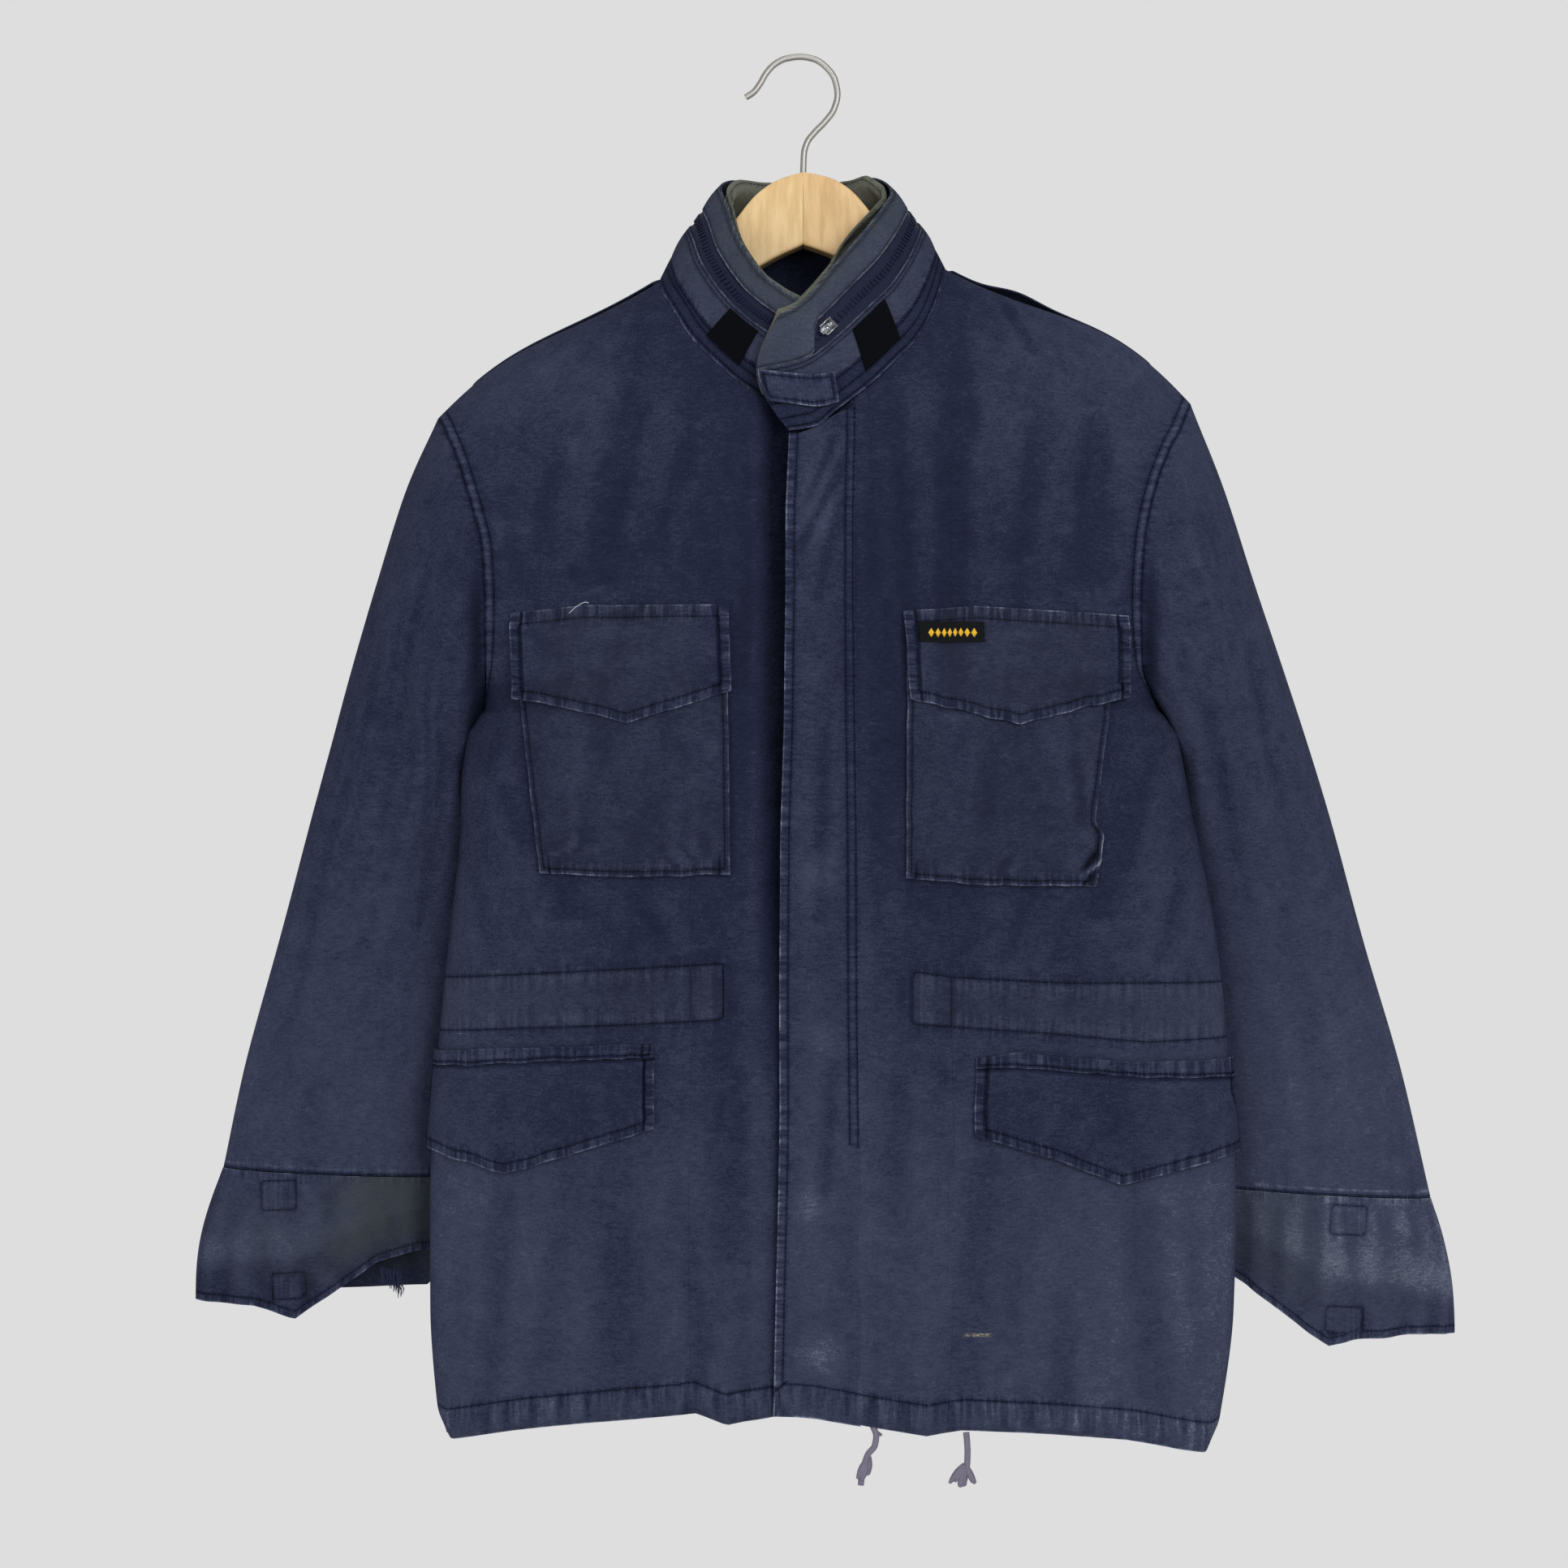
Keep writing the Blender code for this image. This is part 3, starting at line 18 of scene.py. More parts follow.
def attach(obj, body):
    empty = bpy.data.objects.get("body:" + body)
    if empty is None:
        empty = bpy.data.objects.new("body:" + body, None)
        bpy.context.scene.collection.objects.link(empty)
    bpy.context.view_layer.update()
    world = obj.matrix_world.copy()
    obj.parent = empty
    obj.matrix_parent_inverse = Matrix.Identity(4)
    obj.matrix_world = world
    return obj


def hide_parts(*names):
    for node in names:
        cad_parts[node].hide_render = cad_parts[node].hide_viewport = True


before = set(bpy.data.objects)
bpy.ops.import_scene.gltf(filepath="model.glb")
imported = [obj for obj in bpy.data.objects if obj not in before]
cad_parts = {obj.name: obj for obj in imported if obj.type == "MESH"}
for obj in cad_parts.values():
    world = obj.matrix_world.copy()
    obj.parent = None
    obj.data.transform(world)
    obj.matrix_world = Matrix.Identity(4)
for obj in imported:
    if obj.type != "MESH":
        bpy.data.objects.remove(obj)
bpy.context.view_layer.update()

bl_info = {
    "name": "Work jacket on a hanger",
    "version": (1, 0, 0),
    "blender": (4, 5, 0),
    "location": "View3D > Sidebar > Jacket",
    "description": "A washed cotton work jacket on a wooden hanger",
    "category": "Object",
}

MM = 0.001

# Cloth and gaps
WALL = 2.0            # washed cotton shell with its facing
DOUBLE_WALL = 2.4     # fly, flaps, straps: two layers sewn together
SEAM_GAP = 0.4        # between two pieces that are sewn together
LAY_GAP = 0.8         # between a panel and what is sewn on it

# Columns of the panel tables, in millimetres: the section's inner end (at the
# front edge, neckline or centre back), its outer end (at the side seam or
# armhole), the power of its superellipse (1 is straight, 2 an ellipse) and the
# rise of its middle. Rows run from the hem (0) past the armpit (8) and the
# neckline's low point (12) to the shoulder ridge (20).
# x_in, y_in, z_in, x_out, y_out, z_out, power, rise
ARMPIT_ROW = 8
NECK_ROW = 12
RIDGE_ROW = 20
FRONT_RIGHT = (
    (8.0, -54, -876, -233.0, -12, -898, 2.6, 6.0),
    (8.0, -55, -855, -236.0, -13, -878, 2.6, 6.0),
    (8.0, -58, -797, -240.5, -17, -811, 2.6, 3.0),
    (8.0, -63, -735, -240.5, -19, -745, 2.6, 0.0),
    (8.0, -68, -660, -236.0, -22, -662, 2.6, 0.0),
    (8.0, -72, -595, -230.0, -24, -595, 2.6, 0.0),
    (8.0, -76, -530, -222.5, -24, -530, 2.5, 0.0),
    (8.0, -79, -470, -214.0, -24, -470, 2.4, 0.0),
    (8.0, -80, -425, -205.0, -20, -425, 2.2, 0.0),
    (8.0, -81, -385, -202.0, -46, -397, 1.7, 0.0),
    (8.0, -82, -345, -201.5, -60, -360, 1.3, 0.0),
    (8.0, -82, -305, -203.0, -61, -325, 1.2, 0.0),
    (8.0, -81, -250, -209.0, -57, -300, 1.2, 0.0),
    (-17.0, -79.5, -235, -214.0, -53, -284, 1.2, 1.0),
    (-42.0, -75, -219, -219.0, -47, -269, 1.2, 2.0),
    (-56.0, -71, -206, -223.0, -41, -259, 1.15, 3.5),
    (-71.0, -63, -190, -228.0, -33, -249, 1.1, 5.0),
    (-82.0, -51, -171.5, -232.0, -23, -241, 1.1, 7.0),
    (-90.0, -35, -157, -235.0, -14, -237, 1.05, 9.0),
    (-92.7, -17, -148, -236.8, -7, -235, 1.0, 10.0),
    (-93.3, 0, -145.2, -237.4, 0, -234.3, 1.0, 10.5),
)
FRONT_LEFT = (
    (8.8, -54, -876, 267.0, -12, -905, 2.6, 3.0),
    (8.8, -55, -855, 270.5, -13, -884, 2.6, 3.0),
    (8.8, -58, -797, 279.0, -17, -815, 2.6, 1.0),
    (8.8, -63, -735, 280.5, -19, -745, 2.6, 0.0),
    (8.8, -68, -660, 276.0, -22, -662, 2.6, 0.0),
    (8.8, -72, -595, 270.0, -24, -595, 2.6, 0.0),
    (8.8, -76, -530, 259.5, -24, -530, 2.5, 0.0),
    (8.8, -79, -470, 242.0, -24, -470, 2.4, 0.0),
    (8.8, -80, -425, 230.0, -22, -425, 2.2, 0.0),
    (8.8, -81, -385, 217.0, -46, -397, 1.7, 0.0),
    (8.8, -82, -345, 215.0, -60, -360, 1.3, 0.0),
    (8.8, -82, -305, 216.5, -61, -325, 1.2, 0.0),
    (8.8, -81, -249, 221.0, -57, -298, 1.2, 0.0),
    (20.0, -80, -240, 226.5, -53, -279, 1.2, 1.0),
    (44.0, -76, -221, 232.5, -47, -264, 1.2, 3.0),
    (58.0, -71, -207, 237.0, -41, -255, 1.15, 5.0),
    (72.0, -63, -192, 242.5, -33, -246, 1.1, 7.5),
    (82.0, -52, -174, 247.5, -23, -236, 1.1, 10.0),
    (88.7, -35, -155, 251.0, -14, -229, 1.05, 13.0),
    (92.7, -17, -140, 252.8, -7, -225.5, 1.0, 14.5),
    (93.3, 0, -136.5, 253.3, 0, -224.2, 1.0, 15.0),
)
BACK_RIGHT = (
    (10.0, 22, -880, -233.0, -12, -898, 2.2, 0.0),
    (10.0, 23, -858, -236.0, -13, -878, 2.2, 0.0),
    (10.0, 25, -800, -240.5, -17, -811, 2.1, 0.0),
    (10.0, 27, -738, -240.5, -19, -745, 2.0, 0.0),
    (10.0, 29, -660, -236.0, -22, -662, 2.0, 0.0),
    (10.0, 31, -595, -230.0, -24, -595, 2.0, 0.0),
    (10.0, 33, -530, -222.5, -24, -530, 2.0, 0.0),
    (10.0, 35, -470, -214.0, -24, -470, 2.0, 0.0),
    (8.0, 36, -425, -205.0, -20, -425, 2.0, 0.0),
    (6.0, 37.5, -360, -203.0, -2, -405, 1.8, 0.0),
    (4.0, 38, -290, -203.0, 16, -372, 1.6, 0.0),
    (2.0, 38, -215, -206.0, 29, -335, 1.4, 3.0),
    (0.0, 38, -132, -211.0, 35, -303, 1.2, 6.0),
    (-20.0, 37.5, -131.5, -216.0, 35.5, -284, 1.2, 8.0),
    (-38.0, 36, -131.5, -220.0, 34, -269, 1.2, 9.0),
    (-55.0, 32.5, -132.5, -224.0, 31, -259, 1.1, 10.0),
    (-70.0, 27, -134, -228.5, 26, -250, 1.1, 10.0),
    (-81.0, 20.5, -136.5, -232.5, 19, -242.5, 1.1, 10.0),
    (-88.0, 14, -139.5, -235.0, 12, -238, 1.05, 10.5),
    (-92.2, 7, -143, -236.8, 6, -235.3, 1.0, 10.5),
    (-93.3, 0, -145.2, -237.4, 0, -234.3, 1.0, 10.5),
)
BACK_LEFT = (
    (10.0, 22, -880, 267.0, -12, -905, 2.2, 0.0),
    (10.0, 23, -858, 270.5, -13, -884, 2.2, 0.0),
    (10.0, 25, -800, 279.0, -17, -815, 2.1, 0.0),
    (10.0, 27, -738, 280.5, -19, -745, 2.0, 0.0),
    (10.0, 29, -660, 276.0, -22, -662, 2.0, 0.0),
    (10.0, 31, -595, 270.0, -24, -595, 2.0, 0.0),
    (10.0, 33, -530, 259.5, -24, -530, 2.0, 0.0),
    (10.0, 35, -470, 242.0, -24, -470, 2.0, 0.0),
    (8.0, 36, -425, 230.0, -22, -425, 2.0, 0.0),
    (6.0, 37.5, -360, 222.0, -4, -405, 1.8, 0.0),
    (4.0, 38, -290, 218.0, 16, -372, 1.6, 0.0),
    (2.0, 38, -215, 220.0, 29, -335, 1.4, 3.0),
    (0.0, 38, -132, 225.5, 35, -300, 1.2, 6.0),
    (20.0, 37.5, -131.5, 230.0, 35.5, -279, 1.2, 8.0),
    (38.0, 36, -131, 235.5, 34, -262, 1.2, 10.0),
    (55.0, 32.5, -131, 239.5, 31, -251, 1.1, 12.0),
    (70.0, 27, -131.5, 244.0, 26, -242, 1.1, 13.0),
    (81.0, 20.5, -132.5, 248.0, 19, -234, 1.1, 14.0),
    (88.0, 14, -134, 251.0, 12, -228.5, 1.05, 15.0),
    (92.2, 7, -135.5, 252.7, 6, -225.3, 1.0, 15.0),
    (93.3, 0, -136.5, 253.3, 0, -224.2, 1.0, 15.0),
)
RISE_SKEW = 1.8       # a shoulder droops most near its tip
COLUMN_CROWD = 1.4    # columns crowd towards the front edge

# The fronts lie deeper under the fly, down to the waist
RECESS = 7.0
RECESS_LOW = 2.6
RECESS_X = (-27.0, -14.0, 24.0, 35.0)
RECESS_Z = (-600.0, -540.0)

FOLD_END = 25         # a fold fades over this length past its line's ends

# Soft folds of the body, in the panel's own plane: the line's two ends, its
# half width and its depth (minus is a ridge)
# x_top, z_top, x_low, z_low, half_width, depth
FOLDS_FRONT_RIGHT = (
    (-100, -170, -128, -350, 16, 3.0),
    (-180, -440, -150, -560, 18, 3.0),
    (-60, -560, -40, -780, 22, 2.5),
    (-190, -720, -205, -880, 14, 3.5),
    (-120, -730, -110, -880, 20, 2.5),
    (-66, -845, -68, -885, 9, 3.0),
)
FOLDS_FRONT_LEFT = (
    (96, -185, 92, -430, 14, 3.5),
    (190, -230, 178, -350, 16, 2.5),
    (215, -440, 190, -560, 18, 3.5),
    (120, -700, 100, -880, 20, 2.5),
    (215, -730, 228, -885, 18, 3.5),
    (165, -820, 168, -885, 10, 2.5),
)
FOLDS_BACK_RIGHT = (
    (-70, -200, -95, -420, 26, 4.0),
    (-150, -430, -165, -640, 24, 4.0),
    (-60, -560, -70, -860, 26, 4.5),
    (-165, -720, -180, -890, 18, 3.5),
)
FOLDS_BACK_LEFT = (
    (80, -210, 110, -430, 28, 4.5),
    (185, -450, 165, -640, 22, 4.0),
    (75, -600, 95, -870, 26, 4.0),
    (200, -740, 190, -890, 20, 3.5),
)

# Columns of the sleeve tables: the section's outer end on the arm's outline, its
# inner end against the body, and its depth in front of and behind their line.
# x_out, y_out, z_out, x_in, y_in, z_in, front, back
SLEEVE_RIGHT = (
    (-237.4, 0, -234.3, -205.0, -20, -425, 61, 36),
    (-257.5, 3, -278, -214.5, -12, -446, 53, 38),
    (-278.0, 6, -342, -216.5, 0, -466, 45, 38),
    (-297.0, 8, -406, -213.5, 8, -502, 38, 36),
    (-320.0, 8, -491, -215.0, 12, -556, 32, 32),
    (-342.6, 8, -576, -220.0, 13, -616, 28, 28),
    (-366.0, 8, -661, -227.5, 13, -676, 25, 25),
    (-379.0, 8, -723, -232.0, 13, -729.5, 22, 22),
)
SLEEVE_LEFT = (
    (253.3, 0, -224.2, 230.0, -22, -425, 61, 36),
    (275.0, 3, -278, 242.5, -14, -447, 53, 38),
    (296.0, 6, -342, 246.0, -2, -468, 45, 38),
    (318.0, 8, -406, 247.5, 7, -503, 38, 36),
    (345.0, 8, -491, 253.0, 12, -558, 32, 32),
    (368.0, 8, -576, 260.5, 13, -620, 28, 28),
    (393.0, 8, -661, 267.5, 13, -682, 25, 25),
    (412.0, 8, -743, 271.0, 13, -736, 22, 22),
)
ARMHOLE_BLEND = 2.2   # sections over which the armhole's shape fades
# Long folds of a sleeve: place round it (0 outer edge, 0.25 front, 0.5 inner
# edge, 0.75 back), first and last section, half width round it, depth in mm
# turn_top, turn_low, start, end, half_width, depth
SLEEVE_FOLDS_RIGHT = (
    (0.20, 0.24, 0.6, 4.0, 0.035, 4.0),
    (0.36, 0.33, 1.6, 5.5, 0.035, 4.5),
    (0.13, 0.11, 3.2, 6.8, 0.030, 3.0),
    (0.74, 0.68, 0.8, 4.4, 0.040, 4.5),
    (0.86, 0.83, 3.0, 6.6, 0.035, 3.5),
)
SLEEVE_FOLDS_LEFT = (
    (0.15, 0.19, 0.7, 4.6, 0.030, 4.0),
    (0.33, 0.30, 0.9, 4.8, 0.035, 5.0),
    (0.22, 0.24, 4.0, 6.8, 0.030, 3.0),
    (0.70, 0.74, 0.9, 4.6, 0.040, 4.5),
    (0.88, 0.82, 2.8, 6.4, 0.035, 3.5),
)

# Cuffs: bottom section, then the lower edge as height against the place across
# the cuff (0 outer edge, 1 inner edge), on the front and on the back
# across, height
CUFF_RIGHT_END = (-397.5, 8, -810, -236.0, 13, -790, 19, 19)
CUFF_LEFT_END = (428.0, 8, -832, 275.0, 13, -800, 19, 19)
CUFF_BULGE = 5.0
CUFF_GAP = 0.3
CUFF_RIGHT_FRONT = (
    (0.00, -810), (0.25, -812), (0.42, -820.5), (0.57, -804), (0.75, -784),
    (0.90, -777.5), (1.00, -777),
)
CUFF_RIGHT_BACK = ((0.00, -810), (0.30, -808), (0.70, -805.5), (0.93, -803), (1.00, -790))
CUFF_LEFT_FRONT = (
    (0.00, -832), (0.20, -831), (0.45, -834.5), (0.56, -838.5), (0.72, -821),
    (0.90, -800), (1.00, -790),
)
CUFF_LEFT_BACK = ((0.00, -832), (0.30, -826), (0.70, -800), (1.00, -788))

# Collar: top edge at each neckline station, from the wearer's right front (0)
# round the back (16) to the left front, which laps over the right (33)
# station, x_top, y_top, z_top, x_bulge, y_bulge
COLLAR_TOP = (
    (0, 9.0, -74, -173, 0, 0),
    (1, 0.0, -74, -169, 0, -1),
    (2, -10.0, -72, -162.5, -1, -2),
    (3, -18.0, -68, -156, -2, -2),
    (4, -25.0, -61, -149, -2, -2),
    (5, -35.0, -46, -133, -3, -1),
    (6, -42.0, -31, -118, -3, 0),
    (7, -48.0, -15, -98, -3, 0),
    (8, -53.5, 0, -82, -3, 0),
    (10, -43.0, 16, -75.5, -2, 2),
    (12, -29.0, 25, -76, -1, 3),
    (14, -14.5, 30, -77, 0, 4),
    (16, 0.0, 32, -77.5, 0, 4),
    (18, 14.0, 30, -77, 0, 4),
    (20, 30.0, 25, -75.5, 1, 3),
    (22, 45.0, 15, -74, 2, 2),
    (24, 57.0, -2, -82, 3, 0),
    (25, 58.0, -12, -88, 3, 0),
    (26, 54.0, -23, -97, 3, 0),
    (27, 47.0, -34, -108, 3, -1),
    (28, 38.0, -47, -121, 3, -2),
    (29, 28.0, -58, -134, 2, -2),
    (30, 18.0, -67, -147, 1, -3),
    (31, 8.0, -77, -161, 0, -3),
    (32, -2.0, -85, -172, -6, -3),
    (33, -14.0, -89, -180, -17, -1),
)
LAST_STATION = 33
LAP_POINT = (-8.5, -89.5, -252.5)   # neckline end of the left front's band
LAP_LIFT = 3.0                      # the lapping end stands this far forward
BAND_TOP = 0.25                     # heights on the collar, 0 neckline to 1 top
ZIP_LOW = (0.58, 0.52)
ZIP_HIGH = (0.76, 0.75)
ZIP_SINK = 1.3                      # the zip lies this deep in its slit
ZIP_STATIONS = (1, 31.4)
ZIP_OPENS = (0.95, 1.2)             # stations over which the slit opens at its ends
ZIP_CLOSES = (31.45, 31.2)
COLLAR_TIP = 0.0008                 # share of the height left open between two strips
CHAIN_LINKS = 190
LINK_HALF = (0.48, 2.1, 0.55)       # along the chain, across it and through it
LINK_STEP = 0.25                    # links lean to each side in turn
LINK_RISE = 0.35                    # over the tape
BOX_FACES = ((3, 2, 1, 0), (4, 5, 6, 7), (0, 1, 5, 4), (1, 2, 6, 5), (2, 3, 7, 6),
             (3, 0, 4, 7))
# The slider's body, its two rails, its bridge and its small frame: centre and size
SLIDER_BOXES = (
    ((0, 0, 0), (10.0, 7.6, 1.2)), ((0, 3.4, 0.9), (10.0, 1.2, 1.8)),
    ((0, -3.4, 0.9), (10.0, 1.2, 1.8)), ((-1.5, 0, 2.1), (5.0, 1.8, 2.2)),
    ((3.8, 1.5, 2.7), (7.0, 0.9, 0.9)), ((3.8, -1.5, 2.7), (7.0, 0.9, 0.9)),
    ((7.0, 0, 2.7), (1.0, 3.9, 0.9)),
)
SLIDER_ROUND = 0.3
SLIDER_RISE = 0.5
SLIDER_LINK = 5                     # links between the slider and the chain's end
# The lining's section: fraction of the collar's height below the top, rise above
# the edge and distance inside the outer cloth, in mm
# down, rise, inside
LINING = (
    (0.03, 0.0, 3.4), (0.00, 2.6, 4.4), (0.00, 3.2, 7.0), (0.06, 0.5, 9.5),
    (0.22, 0.0, 9.0), (0.45, 0.0, 7.5), (0.68, 0.0, 6.5),
)
LINING_LEAST = 4.3    # inside, where the fronts lap
LINING_ROWS = 40
# Where the lining bunches up inside the edge, and where it is drawn over towards
# the wearer's right: size in mm, station and reach round the neck, place and
# reach down the collar
LINING_BULGES = ((12.0, 27.3, 2.4, 0.16, 0.14), (6.0, 7.5, 2.5, 0.12, 0.12))
LINING_SHIFT = (20.0, 27.7, 1.7, 0.14, 0.13)

# Hanger: sections of its middle, then where its arms follow the solids' sections
# x, z_top, z_low, half_thickness
HANGER_CENTRE = (
    (0.0, -74.3, -122.0, 9.0), (16.0, -78.5, -128.5, 9.0), (30.0, -87.0, -135.5, 9.0),
    (44.0, -103.0, -142.5, 9.0), (60.0, -124.0, -151.0, 9.0), (76.0, -140.5, -160.0, 9.0),
)
HANGER_ARM_X = (96, 120, 145, 170, 195, 212, 222)
HANGER_TILT = 0.055                 # the wearer's right arm hangs lower
HANGER_X = 0.8
HANGER_SECTIONS = 90
HOOK_RADIUS = 2.1
# Route of the hook's wire in the XZ plane, tip to stem
HOOK_ROUTE = (
    (-36.6, -24.4), (-31.5, -21.0), (-27.3, -15.5), (-23.5, -9.0), (-18.0, -3.0),
    (-10.0, 1.0), (-1.0, 2.1), (8.0, 0.6), (16.0, -4.8), (21.5, -12.8), (23.3, -22.5),
    (21.0, -32.0), (15.2, -40.2), (8.6, -47.0), (3.6, -53.5), (1.4, -61.0), (0.8, -74.35),
)

# Fly: height, its free edge and its stitched edge
# z, x_edge, x_sewn
FLY = (
    (-875, -18.4, 37), (-795, -16.8, 37), (-735, -15.3, 37), (-681, -14.4, 36.5),
    (-607, -14.7, 35.5), (-505, -14.0, 35), (-440, -11.9, 34), (-355, -10.8, 33),
    (-300, -10.6, 33), (-254, -8.6, 34),
)
# Its top edge under the neck band: x, z
FLY_TOP = ((-9, -252), (-2.5, -252), (8.6, -248), (20, -240), (37, -232))
FLY_TOP_X = (-9, 43)                # where that edge starts, and its width
FLY_TOP_GAP = 1.2
FLY_HEM_GAP = 0.8
FLY_DROP = 3.4                      # its sewn edge lies this much deeper
FLY_GRID = (300, 26)
FLY_CREASES = (
    (30, -262, -4, -330, 5, 1.0), (22, -250, 2, -300, 4, 0.7), (26, -290, 8, -360, 6, 0.8),
    (14, -430, 10, -560, 6, 0.8), (20, -640, 12, -760, 7, 0.8),
)
FLY_STITCH = 5.4                    # from its free edge
FLY_DOUBLE = (4.2, 2.6)             # middle of its doubled row, and half its width
FLY_DOUBLE_END = -703               # the doubled row ends above the hem

# Pieces that lie on the fronts: corners run along the top, then along the
# bottom, both from the wearer's right to left
POCKET_LIFT = 1.0
CHEST_LIFT = 1.9
CHEST_POCKET_RIGHT = {
    "top": ((-180.0, -398), (-113.0, -396), (-47.0, -398)),
    "bottom": ((-165.5, -529), (-108.0, -531), (-45.3, -529)),
}
CHEST_POCKET_LEFT = {
    "top": ((65.5, -398), (131.0, -396), (197.0, -398)),
    "bottom": ((65.0, -531.5), (114.5, -536), (178.0, -537)),
}
CHEST_FLAP_RIGHT = {
    "top": ((-184.0, -365), (-137.0, -360.5), (-46.2, -360.5)),
    "bottom": ((-181.0, -417.5), (-108.4, -434.6), (-44.2, -414.2)),
}
CHEST_FLAP_LEFT = {
    "top": ((63.1, -364.5), (108.9, -361.3), (206.0, -366.2)),
    "bottom": ((66.7, -420), (135.7, -435.5), (204.8, -418.4)),
}
WELT_RIGHT = {
    "top": ((-235.3, -643.5), (-160.0, -639), (-94.2, -636.8)),
    "bottom": ((-235.8, -652.9), (-160.0, -647.4), (-93.9, -644.9)),
}
WELT_LEFT = {
    "top": ((109.3, -645), (134.6, -642.6), (218.3, -649.5), (274.6, -648)),
    "bottom": ((109.3, -652.1), (134.6, -651), (218.3, -658.3), (275.4, -660)),
}
LOW_FLAP_RIGHT = {
    "top": ((-235.9, -653.4), (-160.0, -648), (-93.7, -645.4)),
    "bottom": ((-239.6, -706), (-187.4, -719.8), (-93.7, -690)),
}
LOW_FLAP_LEFT = {
    "top": ((109.3, -652.7), (134.6, -651.6), (218.3, -658.9), (275.4, -660.6)),
    "bottom": ((108.4, -694.4), (160.0, -709.5), (202.1, -726.7), (279.8, -708)),
}
LABEL = {
    "top": ((72.0, -371), (92.0, -371), (113.6, -371)),
    "bottom": ((72.0, -384), (92.0, -384), (113.6, -384)),
}
FLAP_LIFT = 4.9       # over the pocket; its top row lies on the front

# Throat tab and hook-and-loop patches, by collar station and height. The tab's
# edges run from its free end to the end that is sewn on.
TAB = {"stations": (30.85, LAST_STATION), "low": (0.05, 0.25), "high": (0.29, 0.52)}
PATCHES = {
    "patch_right": {"stations": (2.1, 3.6), "heights": (0.14, 0.52)},
    "patch_left": {"stations": (28.6, 30.1), "heights": (0.12, 0.47)},
}

# Shoulder straps, in the back panels' own rows and columns
BACK_COLUMNS = 11
STRAP_ROWS = (16.5, 19.2)
STRAP_COLUMNS = (2, 10)
STRAP_SHORT = 0.7                   # columns between its end and the armhole's
STRAP_ARCH = {"strap_right": 0.0, "strap_left": 4.25}
STRAP_ARCH_AT = (0.42, 0.11)        # place along the strap, and reach
STRAP_LIFT = 1.3                    # over the back
STRAP_SINK = 2.0                    # at the two ends, which are sewn in

# Drawcord ends: where each leaves the hem, then its route down
CORD_DIAMETER = 4.0
CORDS = {
    "drawcord_right": (
        (44.8, -50.5, -881.2), (47.0, -52.0, -887.4), (46.0, -53.0, -893.5),
        (41.8, -52.5, -899.0), (39.4, -51.5, -906.0), (37.8, -50.5, -913.0),
        (37.3, -50.0, -919.0),
    ),
    "drawcord_left": (
        (104.4, -49.0, -885.7), (104.9, -50.5, -891.5), (105.2, -50.5, -898.0),
        (105.0, -50.0, -905.0), (104.0, -49.0, -912.0), (102.6, -48.0, -919.5),
    ),
}


def smooth(table, places):
    """Read a table between its rows, without overshoot. Places are row numbers."""
    rows = np.array(table, dtype=float)
    steps = np.diff(rows, axis=0)
    slopes = np.zeros_like(rows)
    slopes[0], slopes[-1] = steps[0], steps[-1]
    product = steps[:-1] * steps[1:]
    total = np.where(product > 0, steps[:-1] + steps[1:], 1.0)
    slopes[1:-1] = np.where(product > 0, 2 * product / total, 0.0)
    places = np.asarray(places, dtype=float)
    low = np.clip(np.floor(places).astype(int), 0, len(rows) - 2)
    f = (places - low)[..., None]
    return ((1 + 2 * f) * (1 - f) ** 2 * rows[low] + f * (1 - f) ** 2 * slopes[low]
            + f ** 2 * (3 - 2 * f) * rows[low + 1] + f ** 2 * (f - 1) * slopes[low + 1])


def line(points, x):
    """Read a broken line at x."""
    points = np.array(points, dtype=float)
    order = np.argsort(points[:, 0])
    return np.interp(x, points[order, 0], points[order, 1])


def ramp(low, high, value):
    """A smooth step: 0 at low, 1 at high, which may also be the smaller one."""
    f = np.clip((value - low) / (high - low), 0.0, 1.0)
    return f * f * (3 - 2 * f)


def fold_depth(folds, x, z):
    """Sum of the folds near a point of a panel, fading at each fold's ends."""
    total = np.zeros(np.broadcast(x, z).shape)
    for x_top, z_top, x_low, z_low, half_width, depth in folds:
        along = np.clip((z - z_top) / (z_low - z_top), 0, 1)
        beside = x - (x_top + (x_low - x_top) * along)
        past = np.maximum(z - z_top, 0) + np.maximum(z_low - z, 0)
        fade = np.sin(math.pi * np.clip(along, 0.04, 1)) ** 0.5
        total += depth * fade * np.exp(-(beside / half_width) ** 2 - (past / FOLD_END) ** 2)
    return total


PANELS = {
    "front_right": (FRONT_RIGHT, FOLDS_FRONT_RIGHT, 1),
    "front_left": (FRONT_LEFT, FOLDS_FRONT_LEFT, 1),
    "back_right": (BACK_RIGHT, FOLDS_BACK_RIGHT, -1),
    "back_left": (BACK_LEFT, FOLDS_BACK_LEFT, -1),
}
SLEEVES = {"right": (SLEEVE_RIGHT, SLEEVE_FOLDS_RIGHT), "left": (SLEEVE_LEFT, SLEEVE_FOLDS_LEFT)}
CUFFS = {"right": (CUFF_RIGHT_END, CUFF_RIGHT_FRONT, CUFF_RIGHT_BACK),
         "left": (CUFF_LEFT_END, CUFF_LEFT_FRONT, CUFF_LEFT_BACK)}
OUTWARD = {"right": -1, "left": 1}  # each side's direction along x


